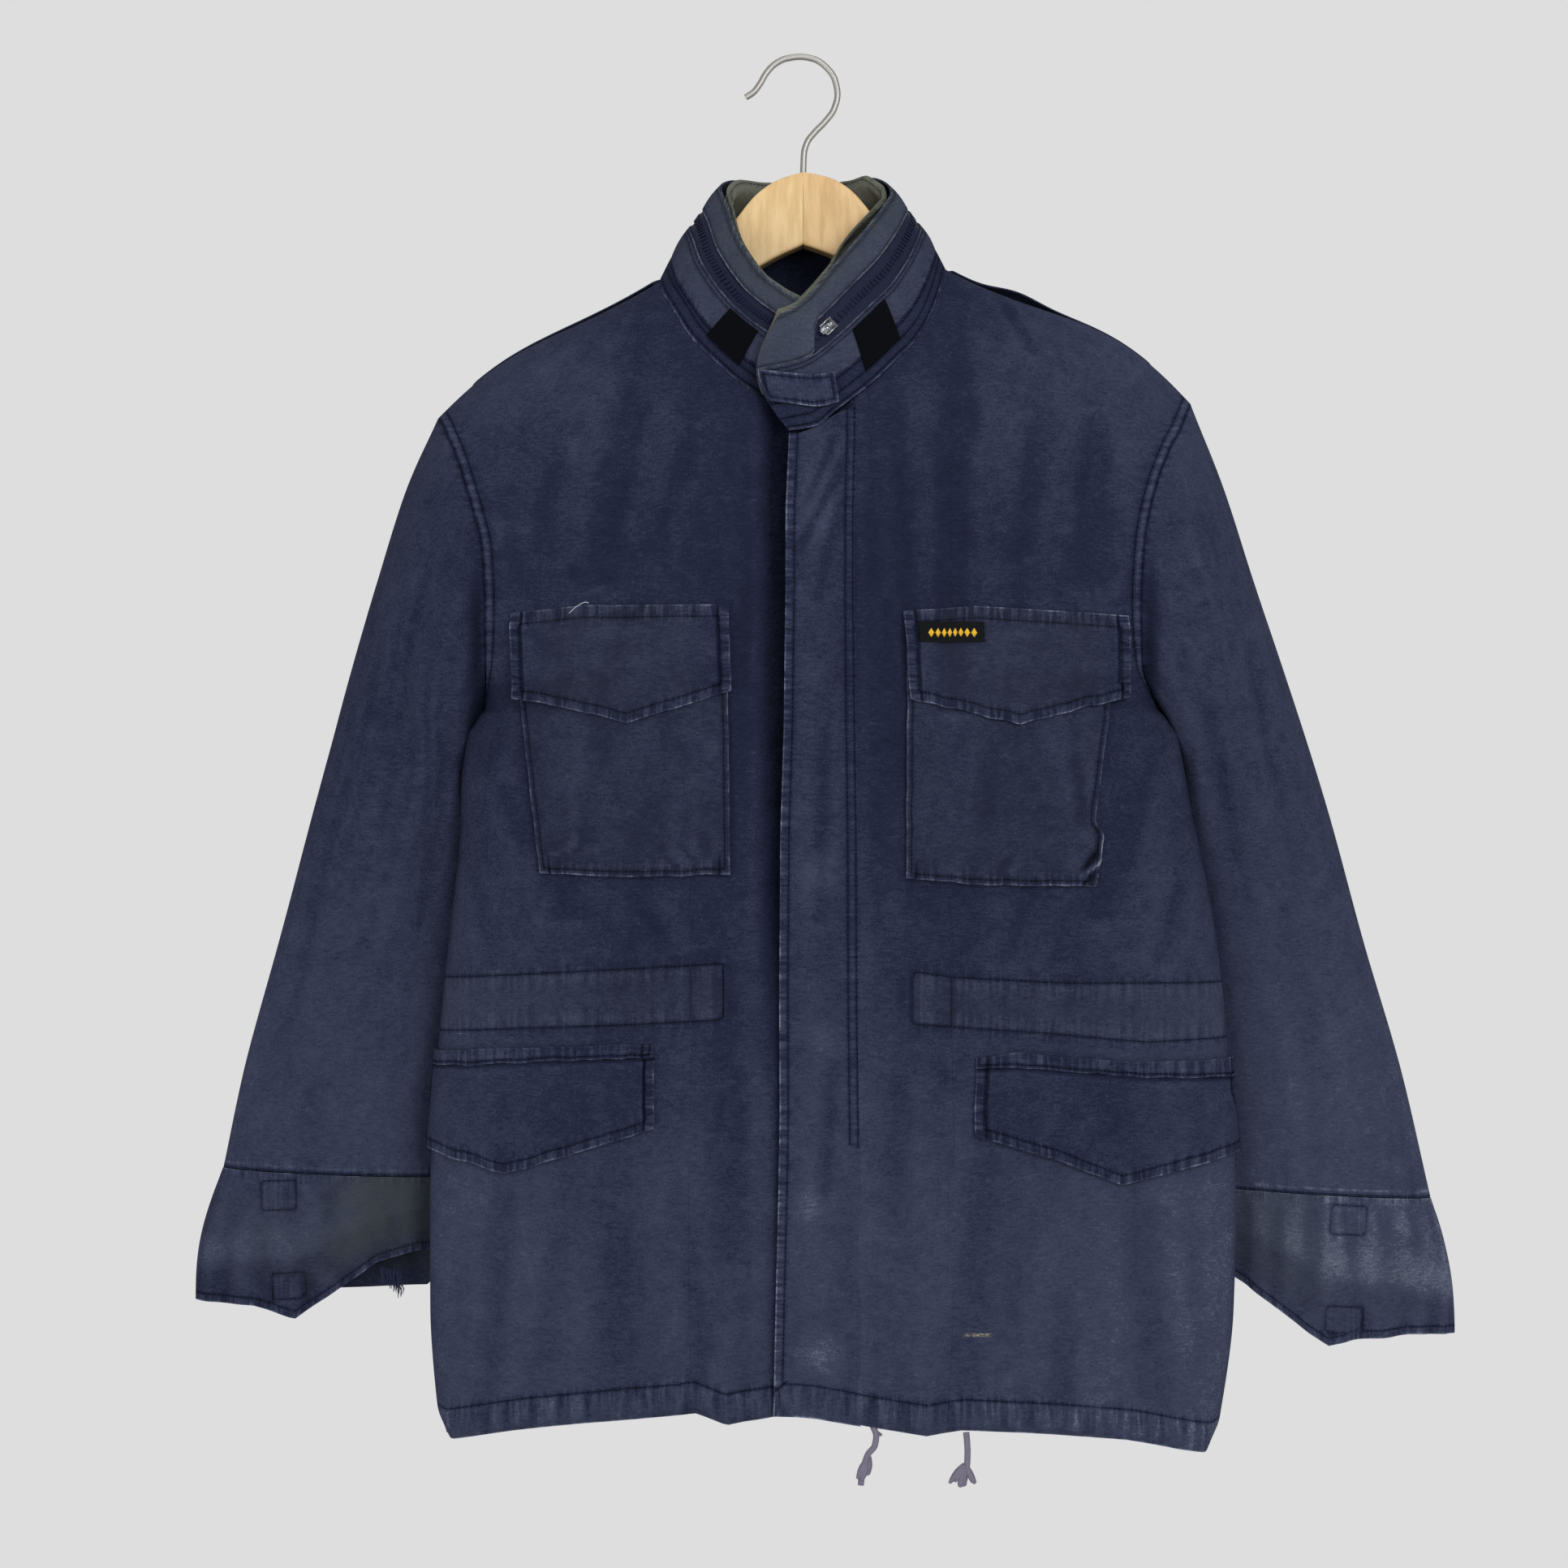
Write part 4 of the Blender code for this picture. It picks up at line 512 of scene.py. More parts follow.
def panel_point(panel, row, column, recessed=True):
    """Outer face of a panel at a row and a column (0 inner end, 1 outer end)."""
    table, folds, inward = PANELS[panel]
    row, column = np.broadcast_arrays(np.asarray(row, float), np.asarray(column, float))
    columns = np.moveaxis(smooth(table, row), -1, 0)
    x_in, y_in, z_in, x_out, y_out, z_out, power, rise = columns
    turn = math.pi / 2 * np.clip(column, 0, 1) ** COLUMN_CROWD
    across = np.sin(turn) ** (2 / power)
    deep = np.clip(np.cos(turn), 0, 1) ** (2 / power)
    x = x_in + (x_out - x_in) * across
    y = y_out + (y_in - y_out) * deep
    z = z_in + (z_out - z_in) * across + rise * np.sin(math.pi * across ** RISE_SKEW)
    edge_fade = ramp(0, 0.12, 1 - column) * ramp(0, 1.5, RIDGE_ROW - row)
    y = y + inward * fold_depth(folds, x, z) * edge_fade
    if recessed and panel.startswith("front"):
        x0, x1, x2, x3 = RECESS_X
        sunk = RECESS_LOW + (RECESS - RECESS_LOW) * ramp(*RECESS_Z, z)
        y = y + sunk * ramp(x0, x1, x) * (1 - ramp(x2, x3, x))
    return np.stack([x, y, z], axis=-1)


def unit(vectors):
    """Vectors made one long."""
    return vectors / np.maximum(np.linalg.norm(vectors, axis=-1, keepdims=True), 1e-9)


def panel_normal(panel, row, column, recessed=True):
    """Outward normal of a panel's outer face."""
    d = 0.02
    row_low, row_high = np.maximum(row - d, 0), np.minimum(row + d, RIDGE_ROW)
    col_low, col_high = np.maximum(column - d, 0.001), np.minimum(column + d, 0.999)

    def point(row, column):
        return panel_point(panel, row, column, recessed)

    along = point(row_high, column) - point(row_low, column)
    across = point(row, col_high) - point(row, col_low)
    turned = -1.0 if panel in ("front_right", "back_left") else 1.0
    return unit(np.cross(across, along)) * turned


def locate(panel, x, z, recessed=False):
    """Rows and columns of the panel's points that lie at the given x and z."""

    def flat(row, column):
        return panel_point(panel, row, column, recessed)[..., (0, 2)]

    def cross(a, b):
        return a[:, 0] * b[:, 1] - a[:, 1] * b[:, 0]

    # Start from the nearest point of a lattice, then close in by Newton's steps
    rows, columns = np.meshgrid(np.linspace(0, 17, 69), np.linspace(0.02, 0.99, 60),
                                indexing="ij")
    lattice = flat(rows, columns).reshape(-1, 2)
    wanted = np.stack([np.ravel(x), np.ravel(z)], axis=1)
    far = (lattice[:, 0] - wanted[:, :1]) ** 2 + (lattice[:, 1] - wanted[:, 1:]) ** 2
    best = np.argmin(far, axis=1)
    row, column = rows.ravel()[best], columns.ravel()[best]
    d = 1e-3
    for _ in range(6):
        here = flat(row, column)
        by_row = (flat(row + d, column) - here) / d
        by_column = (flat(row, column - d) - here) / -d
        miss = wanted - here
        det = cross(by_row, by_column)
        det = np.where(np.abs(det) < 1e-6, 1e-6, det)
        row = np.clip(row + np.clip(cross(miss, by_column) / det, -1, 1), 0, RIDGE_ROW)
        column = column + np.clip(cross(by_row, miss) / det, -0.1, 0.1)
        column = np.clip(column, 0.01, 0.998)
    return row.reshape(np.shape(x)), column.reshape(np.shape(x))


def lay_on(panel, points, lift, recessed=False):
    """Move points given by x and z onto a panel, out by the lift."""
    row, column = locate(panel, points[..., 0], points[..., 1], recessed)
    on = panel_point(panel, row, column, recessed)
    return on + panel_normal(panel, row, column, recessed) * np.asarray(lift)[..., None]


def grid_faces(index, closed=False, flip=False):
    """Quads of a grid of vertex numbers; a closed grid joins its last column to its first."""
    if closed:
        index = np.concatenate([index, index[:, :1]], axis=1)
    corners = (index[:-1, :-1], index[:-1, 1:], index[1:, 1:], index[1:, :-1])
    faces = [tuple(int(i) for i in face) for face in np.stack(corners, axis=-1).reshape(-1, 4)]
    return [face[::-1] for face in faces] if flip else faces


def grid_normals(points, outward, closed=False):
    """Outward unit normals of a grid's points. outward gives vectors on the outer side."""
    if closed:
        across = np.roll(points, -1, axis=1) - np.roll(points, 1, axis=1)
    else:
        across = np.gradient(points, axis=1)
    normals = unit(np.cross(across, np.gradient(points, axis=0)))
    return normals * np.sign(np.sum(normals * outward(points)))


def flipped(points, normals):
    """Whether a grid's faces must turn round so that they face along its normals."""
    turn = np.cross(points[:-1, 1:] - points[:-1, :-1], points[1:, :-1] - points[:-1, :-1])
    return np.sum(turn * normals[:-1, :-1]) < 0


def flattened(normals, axis):
    """Normals turned into the plane of a seam that is square to an axis."""
    normals = normals.copy()
    normals[..., axis] = 0
    return unit(normals)


def armhole_loop(side, step):
    """Armhole points: ridge, down the front, armpit, and up the back."""
    down = np.arange(RIDGE_ROW, ARMPIT_ROW - step / 2, -step)
    up = np.arange(ARMPIT_ROW + step, RIDGE_ROW - step / 2, step)
    front = smooth(PANELS[f"front_{side}"][0], down)[:, 3:6]
    back = smooth(PANELS[f"back_{side}"][0], up)[:, 3:6]
    return np.concatenate([front, back])


def loop_turns(loop, half):
    """Turn of each loop point, 0 at the ridge, pi at the armpit, from its height."""
    top, low = loop[0], loop[half]
    axis = (low - top) / np.dot(low - top, low - top)
    turns = np.arccos(np.clip(1 - 2 * (loop - top) @ axis, -1, 1))
    turns[half + 1:] = 2 * math.pi - turns[half + 1:]
    return turns


def ring(section, turns):
    """A section of a sleeve or cuff from its outer and inner ends and its depths."""
    x_out, y_out, z_out, x_in, y_in, z_in, front, back = section
    outer, inner = np.array([x_out, y_out, z_out]), np.array([x_in, y_in, z_in])
    points = (outer + inner) / 2 + np.cos(turns)[:, None] * (outer - inner) / 2
    lift = np.where(np.sin(turns) > 0, -front * np.sin(turns), -back * np.sin(turns))
    points[:, 1] += lift
    return points


def sleeve_points(side, places, step):
    """Rings of a sleeve at places down its table; the first is the armhole."""
    table, folds = SLEEVES[side]
    loop = armhole_loop(side, step)
    half = round((RIDGE_ROW - ARMPIT_ROW) / step)
    turns = loop_turns(loop, half)
    even = np.linspace(0, 2 * math.pi, len(loop), endpoint=False)
    first_ring = ring(smooth(table, 0.0), turns)
    rings = []
    for place in places:
        ease = ramp(0, ARMHOLE_BLEND + 1.5, place)
        here = turns + (even - turns) * ease
        points = ring(smooth(table, place), here)
        points = points + (loop - first_ring) * (1 - ramp(0, ARMHOLE_BLEND, place))
        centre = points.mean(axis=0)
        around = here / (2 * math.pi)
        for turn_top, turn_low, start, end, half_width, depth in folds:
            along = np.clip((place - start) / (end - start), 0, 1)
            at = turn_top + (turn_low - turn_top) * along
            near = np.exp(-((around - at) / half_width) ** 2) * math.sin(math.pi * along)
            points = points - unit(points - centre) * (depth * near)[:, None]
        rings.append(points)
    return np.array(rings)


def cuff_points(side, drops, count):
    """Rings of a cuff: from the seam down to its shaped lower edge."""
    end, front_edge, back_edge = CUFFS[side]
    turns = np.linspace(0, 2 * math.pi, count, endpoint=False)
    top = ring(SLEEVES[side][0][-1], turns)
    low = ring(end, turns)
    across = (1 - np.cos(turns)) / 2
    front = np.sin(turns) > -1e-6
    low[:, 2] = np.where(front, line(front_edge, across), line(back_edge, across))
    rings = []
    for drop in drops:
        points = top + (low - top) * drop
        points[:, 0] += OUTWARD[side] * CUFF_BULGE * math.sin(math.pi * drop) * (1 - across)
        rings.append(points)
    rings = np.array(rings)
    rings[0] += unit(rings[1] - rings[0]) * (CUFF_GAP + SEAM_GAP)
    return rings


def neckline():
    """Neckline points at stations 0 to 33, right front round the back to left front."""
    front, back = np.arange(NECK_ROW, RIDGE_ROW + 1), np.arange(RIDGE_ROW - 1, NECK_ROW, -1)
    points = [panel_point("front_right", front, 0.0), panel_point("back_right", back, 0.0)]
    points += [panel_point("back_left", np.arange(NECK_ROW, RIDGE_ROW), 0.0)]
    left = panel_point("front_left", front[::-1], 0.0, recessed=False)
    left[:, 1] -= LAP_LIFT * ramp(4, 7, np.arange(len(left)))
    points += [left, np.array([LAP_POINT])]
    return np.concatenate(points)


def collar_point(station, height):
    """Outer face of the collar at a station and a height (0 neckline, 1 top edge)."""
    station, height = np.broadcast_arrays(np.asarray(station, float), np.asarray(height, float))
    tops = np.array(COLLAR_TOP, dtype=float)
    place = np.interp(station, tops[:, 0], np.arange(len(tops)))
    top = smooth(tops[:, 1:], place)
    low = smooth(neckline(), station)
    low[..., 2] += SEAM_GAP
    point = low + (top[..., :3] - low) * height[..., None]
    point[..., :2] += top[..., 3:5] * np.sin(math.pi * height)[..., None]
    return point


def collar_normal(station, height):
    """Outward normal of the collar's outer face."""
    d, h = 0.05, 0.02
    height = np.asarray(height)
    along = collar_point(np.minimum(station + d, LAST_STATION), height)
    along = along - collar_point(np.maximum(station - d, 0), height)
    up = collar_point(station, height + h) - collar_point(station, height - h)
    return unit(np.cross(up, along))


def spread(corners, count, side=0):
    """Points along a broken line that keep its corners, as x and z. They crowd
    towards the side seam at its first end (-1) or its last (1)."""
    corners = np.array(corners, dtype=float)
    lengths = np.abs(np.diff(corners[:, 0]))
    shares = np.maximum(np.round(lengths / lengths.sum() * count).astype(int), 1)
    shares[-1] += count - shares.sum()
    pieces = []
    for i, n in enumerate(shares):
        f = np.arange(n) / n
        if side == -1 and i == 0:
            f = 1 - np.cos(f * math.pi / 2)
        if side == 1 and i == len(shares) - 1:
            f = np.sin(f * math.pi / 2)
        pieces.append(corners[i] + (corners[i + 1] - corners[i]) * f[:, None])
    return np.concatenate(pieces + [corners[-1:]])


def outline_grid(outline, rows, columns, side=0):
    """A grid of x and z between a piece's top and bottom lines; it keeps their corners."""
    bottom = spread(outline["bottom"], columns, side)
    share = (bottom[:, 0] - bottom[0, 0]) / (bottom[-1, 0] - bottom[0, 0])
    top = np.array(outline["top"], dtype=float)
    top_x = top[0, 0] + (top[-1, 0] - top[0, 0]) * share
    top = np.stack([top_x, np.interp(top_x, top[:, 0], top[:, 1])], axis=-1)
    return top + (bottom - top) * np.linspace(0, 1, rows)[:, None, None]


# The shell that is seen, and how finely it is built
SHELL = 1.2
FINE_ROWS = np.concatenate([np.linspace(0, ARMPIT_ROW, 169)[:-1],
                            np.linspace(ARMPIT_ROW, RIDGE_ROW, 97)])
FINE_STEP = 0.125
FRONT_COLUMNS = np.concatenate([np.linspace(0, 0.92, 86), np.linspace(0.92, 1, 13)[1:]])
BACK_HALF_COLUMNS = np.concatenate([np.linspace(0, 0.92, 46), np.linspace(0.92, 1, 11)[1:]])
SLEEVE_RINGS = 130
CUFF_RINGS = 34
CUFF_COUNT = 160
COLLAR_COUNT = 250
SHARP_CLOTH = 55      # degrees between two faces from which an edge is drawn sharp
SHARP_WOOD = 38

# How the cloth moves near its seams, in mm
CREASE_SHARE = 0.75   # of the finer creases' depth
RIPPLES = {"front": 0.6, "back": 0.6, "sleeve": 0.7, "cuff": 1.5}
HEM_ROLL = 2.2        # a turned hem stands out between its edge and its stitches
HEM_CLOSE = 1.2       # and closes in at its edge
CORNER_LIFT = 5.0     # of a hem at the side seam
CORNER_PULL = 2.5
BUNCH_DEPTH = 0.6     # of the bunched cloth in the hem
SEAM_LIFT = 0.5       # of the felled seam beside an armhole
CASING_LIFT = 0.7     # of the waist casing
NECK_TUCK = (1.8, 1.2)  # the back neckline's middle goes up and forward, behind the band

# Sewing, in millimetres
HEM_STITCH = 21.0
ARMHOLE_STITCH = 6.5
FLAP_STITCH = 6.0
FLAP_TOP_STITCH = 8.5
POCKET_STITCH = 3.2
CUFF_STITCH = 5.0
BAND_STITCH = 3.0
STRAP_STITCH = 4.0
TAB_STITCH = 2.8
WELT_STITCH = 2.0
STITCH_LENGTH = 2.8
FAR = 30.0            # beyond the reach of any seam

# Waist casing on each front: its upper and lower rows of stitches, and where it ends
WAIST = {
    "right": {"top": ((-240, -597), (-146, -591.5), (-50, -586)),
              "low": ((-240, -631), (-176, -627.5), (-115, -625), (-46, -621.5)),
              "end": -50.0, "bar": -70.5},
    "left": {"top": ((68, -590.5), (94, -594.5), (168, -598.5), (285, -599.5)),
             "low": ((68, -624), (151, -630), (218, -636.5), (285, -634.5)),
             "end": 69.0, "bar": 94.0},
}
# Stitched squares on the cuffs: centre x, centre z, width, height, turn in degrees
SQUARES = {
    "right": ((-340.0, -740.0, 23.0, 19.0, 2.0), (-333.5, -799.0, 22.0, 17.0, 3.0)),
    "left": ((355.0, -756.0, 23.0, 19.0, -3.0), (352.5, -821.0, 24.0, 17.0, -2.0)),
}
# Finer creases of the cloth, in the same columns as the folds
CREASES = {
    "front_right": (
        (-68, -250, -96, -330, 7, 0.9), (-150, -240, -168, -330, 9, 1.1),
        (-196, -300, -190, -350, 6, -0.9), (-205, -440, -176, -520, 9, 1.4),
        (-214, -520, -196, -590, 8, 1.1), (-100, -545, -80, -590, 8, 0.8),
        (-170, -640, -150, -690, 10, 0.8), (-80, -730, -60, -840, 11, 1.0),
        (-150, -740, -165, -850, 12, 1.2), (-215, -760, -222, -870, 9, 1.4),
        (-30, -300, -38, -420, 7, 0.9),
    ),
    "front_left": (
        (60, -255, 74, -420, 8, 1.0), (150, -225, 140, -330, 11, 1.2),
        (205, -300, 200, -356, 6, -0.9), (226, -440, 205, -530, 9, 1.3),
        (245, -520, 226, -590, 9, 1.3), (140, -545, 126, -590, 9, 0.8),
        (160, -640, 176, -700, 9, 0.8), (62, -640, 58, -760, 9, 0.9),
        (140, -750, 128, -850, 12, 1.2), (248, -745, 256, -860, 10, 1.4),
        (100, -190, 112, -260, 9, 1.3), (124, -150, 150, -200, 5, 1.6),
    ),
    "back_right": (
        (-40, -180, -60, -330, 14, 1.4), (-150, -250, -180, -380, 14, 1.6),
        (-200, -440, -170, -560, 12, 1.5), (-110, -600, -120, -780, 15, 1.5),
        (-205, -640, -215, -820, 12, 1.4),
    ),
    "back_left": (
        (50, -190, 66, -350, 14, 1.4), (160, -240, 190, -380, 14, 1.6),
        (225, -450, 190, -570, 12, 1.5), (130, -590, 120, -790, 15, 1.5),
        (240, -640, 250, -820, 12, 1.4),
    ),
}
# The hem's rise and fall across the front, and how far the sides ease out to the
# sleeves under the armpits
HEM_WAVE = ((-240, 0), (-226, 1.5), (-160, 2.6), (-122, 4.0), (-80, 6.5), (-68, 7.2),
            (-59, 3.9), (-48, -0.8), (-37, 1.0), (-18, 2.6), (-4, 2.3), (20, 0),
            (46, -2.3), (79, -4.7), (92, -1.2), (102, 1.0), (145, 2.6), (208, 3.6),
            (225, 2.5), (242, 1.0), (262, 0))
SIDE_EASE = ((-520, 0), (-495, 2), (-470, 5.5), (-440, 8), (-431, 4), (-424, 0))
# Creases of the chest pockets, in the same columns as the folds
POCKET_CREASES = {
    "right": ((-150, -402, -140, -500, 12, -0.5), (-161, -518, -143, -513, 3, -1.0),
              (-143, -513, -118, -517, 3, -0.9), (-80, -512, -74, -524, 4, -0.8),
              (-64, -500, -60, -520, 4, 0.7)),
    "left": ((150, -402, 160, -500, 12, -0.5), (118, -440, 112, -505, 9, 0.6),
             (170, -450, 178, -505, 6, 0.8)),
}
LAST_CREASE = (130, -516, 124, -530, 4, 0.5)
# The tuck that crumples the left chest pocket's lower corner, and how far that
# corner hangs out to the side
POCKET_BULGE = 7.5
TUCK = ((197, -500, 190, -511, 2.2, -1.3), (190, -511, 191, -518, 2.0, -1.3),
        (191, -518, 180, -529, 2.4, -1.5), (195, -507, 194, -523, 2.0, 1.6),
        (186, -514, 176, -528, 2.4, 1.3), (182, -531, 192, -525, 1.8, 1.2))
# Rub marks of the hidden snaps on the fly: x, z, half width, strength
RUBS = ((10.0, -308, 9, 0.35), (9.0, -529, 11, 0.55), (15.0, -632, 10, 0.45),
        (8.0, -741, 12, 0.50), (12.0, -836, 12, 0.65))
RUB_FADE = 0.28

# The label's pattern: a generic row of small lozenges
LOZENGES = 8
LOZENGE_FIRST = (78.5, -378.0)
LOZENGE_STEP = 4.15
LOZENGE_HALF = (1.8, 2.9)


def ripple(x, z, size, seed):
    """Uneven soft waves of washed cloth that hangs, in mm."""
    draw = random.Random(seed)
    total = np.zeros(np.broadcast(x, z).shape)
    waves = 7
    for _ in range(waves):
        lean = draw.uniform(-0.45, 0.45)
        length = draw.uniform(34, 95)
        phase = draw.uniform(0, 2 * math.pi)
        swing = draw.uniform(0.4, 1.0)
        along = 1 + 0.6 * np.sin(z / draw.uniform(60, 130) + phase)
        total += swing * along * np.sin(2 * math.pi * (x + lean * z) / length + phase)
    return total * size / waves


def near(value, centre, reach):
    """A bell of height 1 round a value."""
    return np.exp(-((value - centre) / reach) ** 2)


def arc_from(points, axis, end=False):
    """Distance along a grid from its first (or last) line, in mm."""
    steps = np.linalg.norm(np.diff(points, axis=axis), axis=-1)
    total = np.cumsum(steps, axis=axis)
    zero = np.zeros_like(np.take(total, [0], axis=axis))
    total = np.concatenate([zero, total], axis=axis)
    if end:
        return np.take(total, [-1], axis=axis) - total
    return total


def sides(points):
    """Distances from a grid's top, bottom, first and last column, in mm."""
    return (arc_from(points, 0), arc_from(points, 0, end=True),
            arc_from(points, 1), arc_from(points, 1, end=True))


def ridges(points, normals, step, closed=False):
    """How far each place stands above its neighbours: 1 on a crease, -1 in one."""
    total = np.zeros(points.shape[:2])
    for axis, reach in enumerate(step):
        mean = (np.roll(points, reach, axis) + np.roll(points, -reach, axis)) / 2
        lift = np.sum((points - mean) * normals, axis=-1)
        if axis == 0 or not closed:
            lines = np.arange(points.shape[axis])
            inside = (lines >= reach) & (lines < points.shape[axis] - reach)
            lift = lift * (inside[:, None] if axis == 0 else inside[None, :])
        total += lift
    return np.clip(total / 0.45, -1, 1)


def blank_marks(points):
    """Marks of plain cloth: no seam, edge, pucker, wear or stain near.

    row_mm is the distance past a row of stitches, bar_mm past a second one, row_run
    the way along it, edge_mm the distance from a worn edge, pucker how bunched the
    cloth is, pale how much lighter it is (its fade, and painted light and shade, which
    goes below zero), grey its stain and deep its painted shade in a recess or groove.
    """
    shape = points.shape[:2]
    return {
        "row_mm": np.full(shape, -FAR), "bar_mm": np.full(shape, -FAR),
        "row_run": points[..., 0] * 1.0,
        "pucker": np.zeros(shape), "edge_mm": np.full(shape, FAR),
        "pale": np.zeros(shape), "grey": np.zeros(shape), "deep": np.zeros(shape),
    }


# Building


def link(thing):
    """Put an object in the scene."""
    bpy.context.scene.collection.objects.link(thing)
    return thing


def new_mesh(name, vertices, faces, material):
    """A smooth mesh object from vertices in millimetres."""
    mesh = bpy.data.meshes.new(name)
    vertices = np.asarray(vertices, dtype=float) * MM
    mesh.from_pydata(vertices.tolist(), [], faces)
    mesh.materials.append(material)
    mesh.shade_smooth()
    return link(bpy.data.objects.new(name, mesh))


def shell(name, outer, inner, faces, material, marks):
    """A closed thin wall from an outer and an inner grid of the same points. Its
    inside is plain: the seams' marks stay on the outside."""
    count = len(outer)
    edges = {(face[i], face[(i + 1) % len(face)]) for face in faces for i in range(len(face))}
    rims = [(b, a, a + count, b + count) for a, b in sorted(edges) if (b, a) not in edges]
    backs = [tuple(i + count for i in face[::-1]) for face in faces]
    thing = new_mesh(name, np.concatenate([outer, inner]), faces + backs + rims, material)
    plain_inside = {"edge_mm": FAR, "row_mm": -FAR, "bar_mm": -FAR, "pucker": 0.0}
    for key, values in marks.items():
        inside = np.full_like(values, plain_inside[key]) if key in plain_inside else values
        both = np.concatenate([values, inside]).astype(np.float32)
        attribute = thing.data.attributes.new(key, "FLOAT", "POINT")
        attribute.data.foreach_set("value", both)
    thing.data.set_sharp_from_angle(angle=math.radians(SHARP_CLOTH))
    return thing


def cut_size(points, closed=False):
    """The width, length and area of the flat cut, in metres, measured on the grid."""
    if closed:
        points = np.concatenate([points, points[:, :1]], axis=1)
    wide = np.linalg.norm(np.diff(points, axis=1), axis=-1).sum(axis=1).max()
    long = np.linalg.norm(np.diff(points, axis=0), axis=-1).sum(axis=0).max()
    a = points[1:, :-1] - points[:-1, :-1]
    b = points[:-1, 1:] - points[:-1, :-1]
    area = np.linalg.norm(np.cross(a, b), axis=-1).sum()
    return wide * MM, long * MM, area * MM * MM


def declare(thing, node, points, closed=False):
    """Hide the CAD part that a cloth piece stands for and hang the piece on the root body. The
    size of its flat cut is measured but not used.
    """
    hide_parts(node)
    wide, long, area = cut_size(points, closed)
    area = min(max(area, 0.31 * wide * long), wide * long)
    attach(thing, "root")
    return thing


def cloth(node, points, normals, marks, material,
          wall=SHELL, closed=False, grows=False):
    """A cloth piece on a grid: it stands for a node of the same name."""
    outer = points + normals * np.asarray(wall)[..., None] if grows else points
    inner = outer - normals * np.asarray(wall)[..., None]
    index = np.arange(outer.shape[0] * outer.shape[1]).reshape(outer.shape[:2])
    faces = grid_faces(index, closed, flipped(outer, normals))
    flat = {key: values.ravel() for key, values in marks.items()}
    thing = shell(f"{node}_cloth", outer.reshape(-1, 3), inner.reshape(-1, 3), faces,
                  material, flat)
    return declare(thing, node, outer, closed)


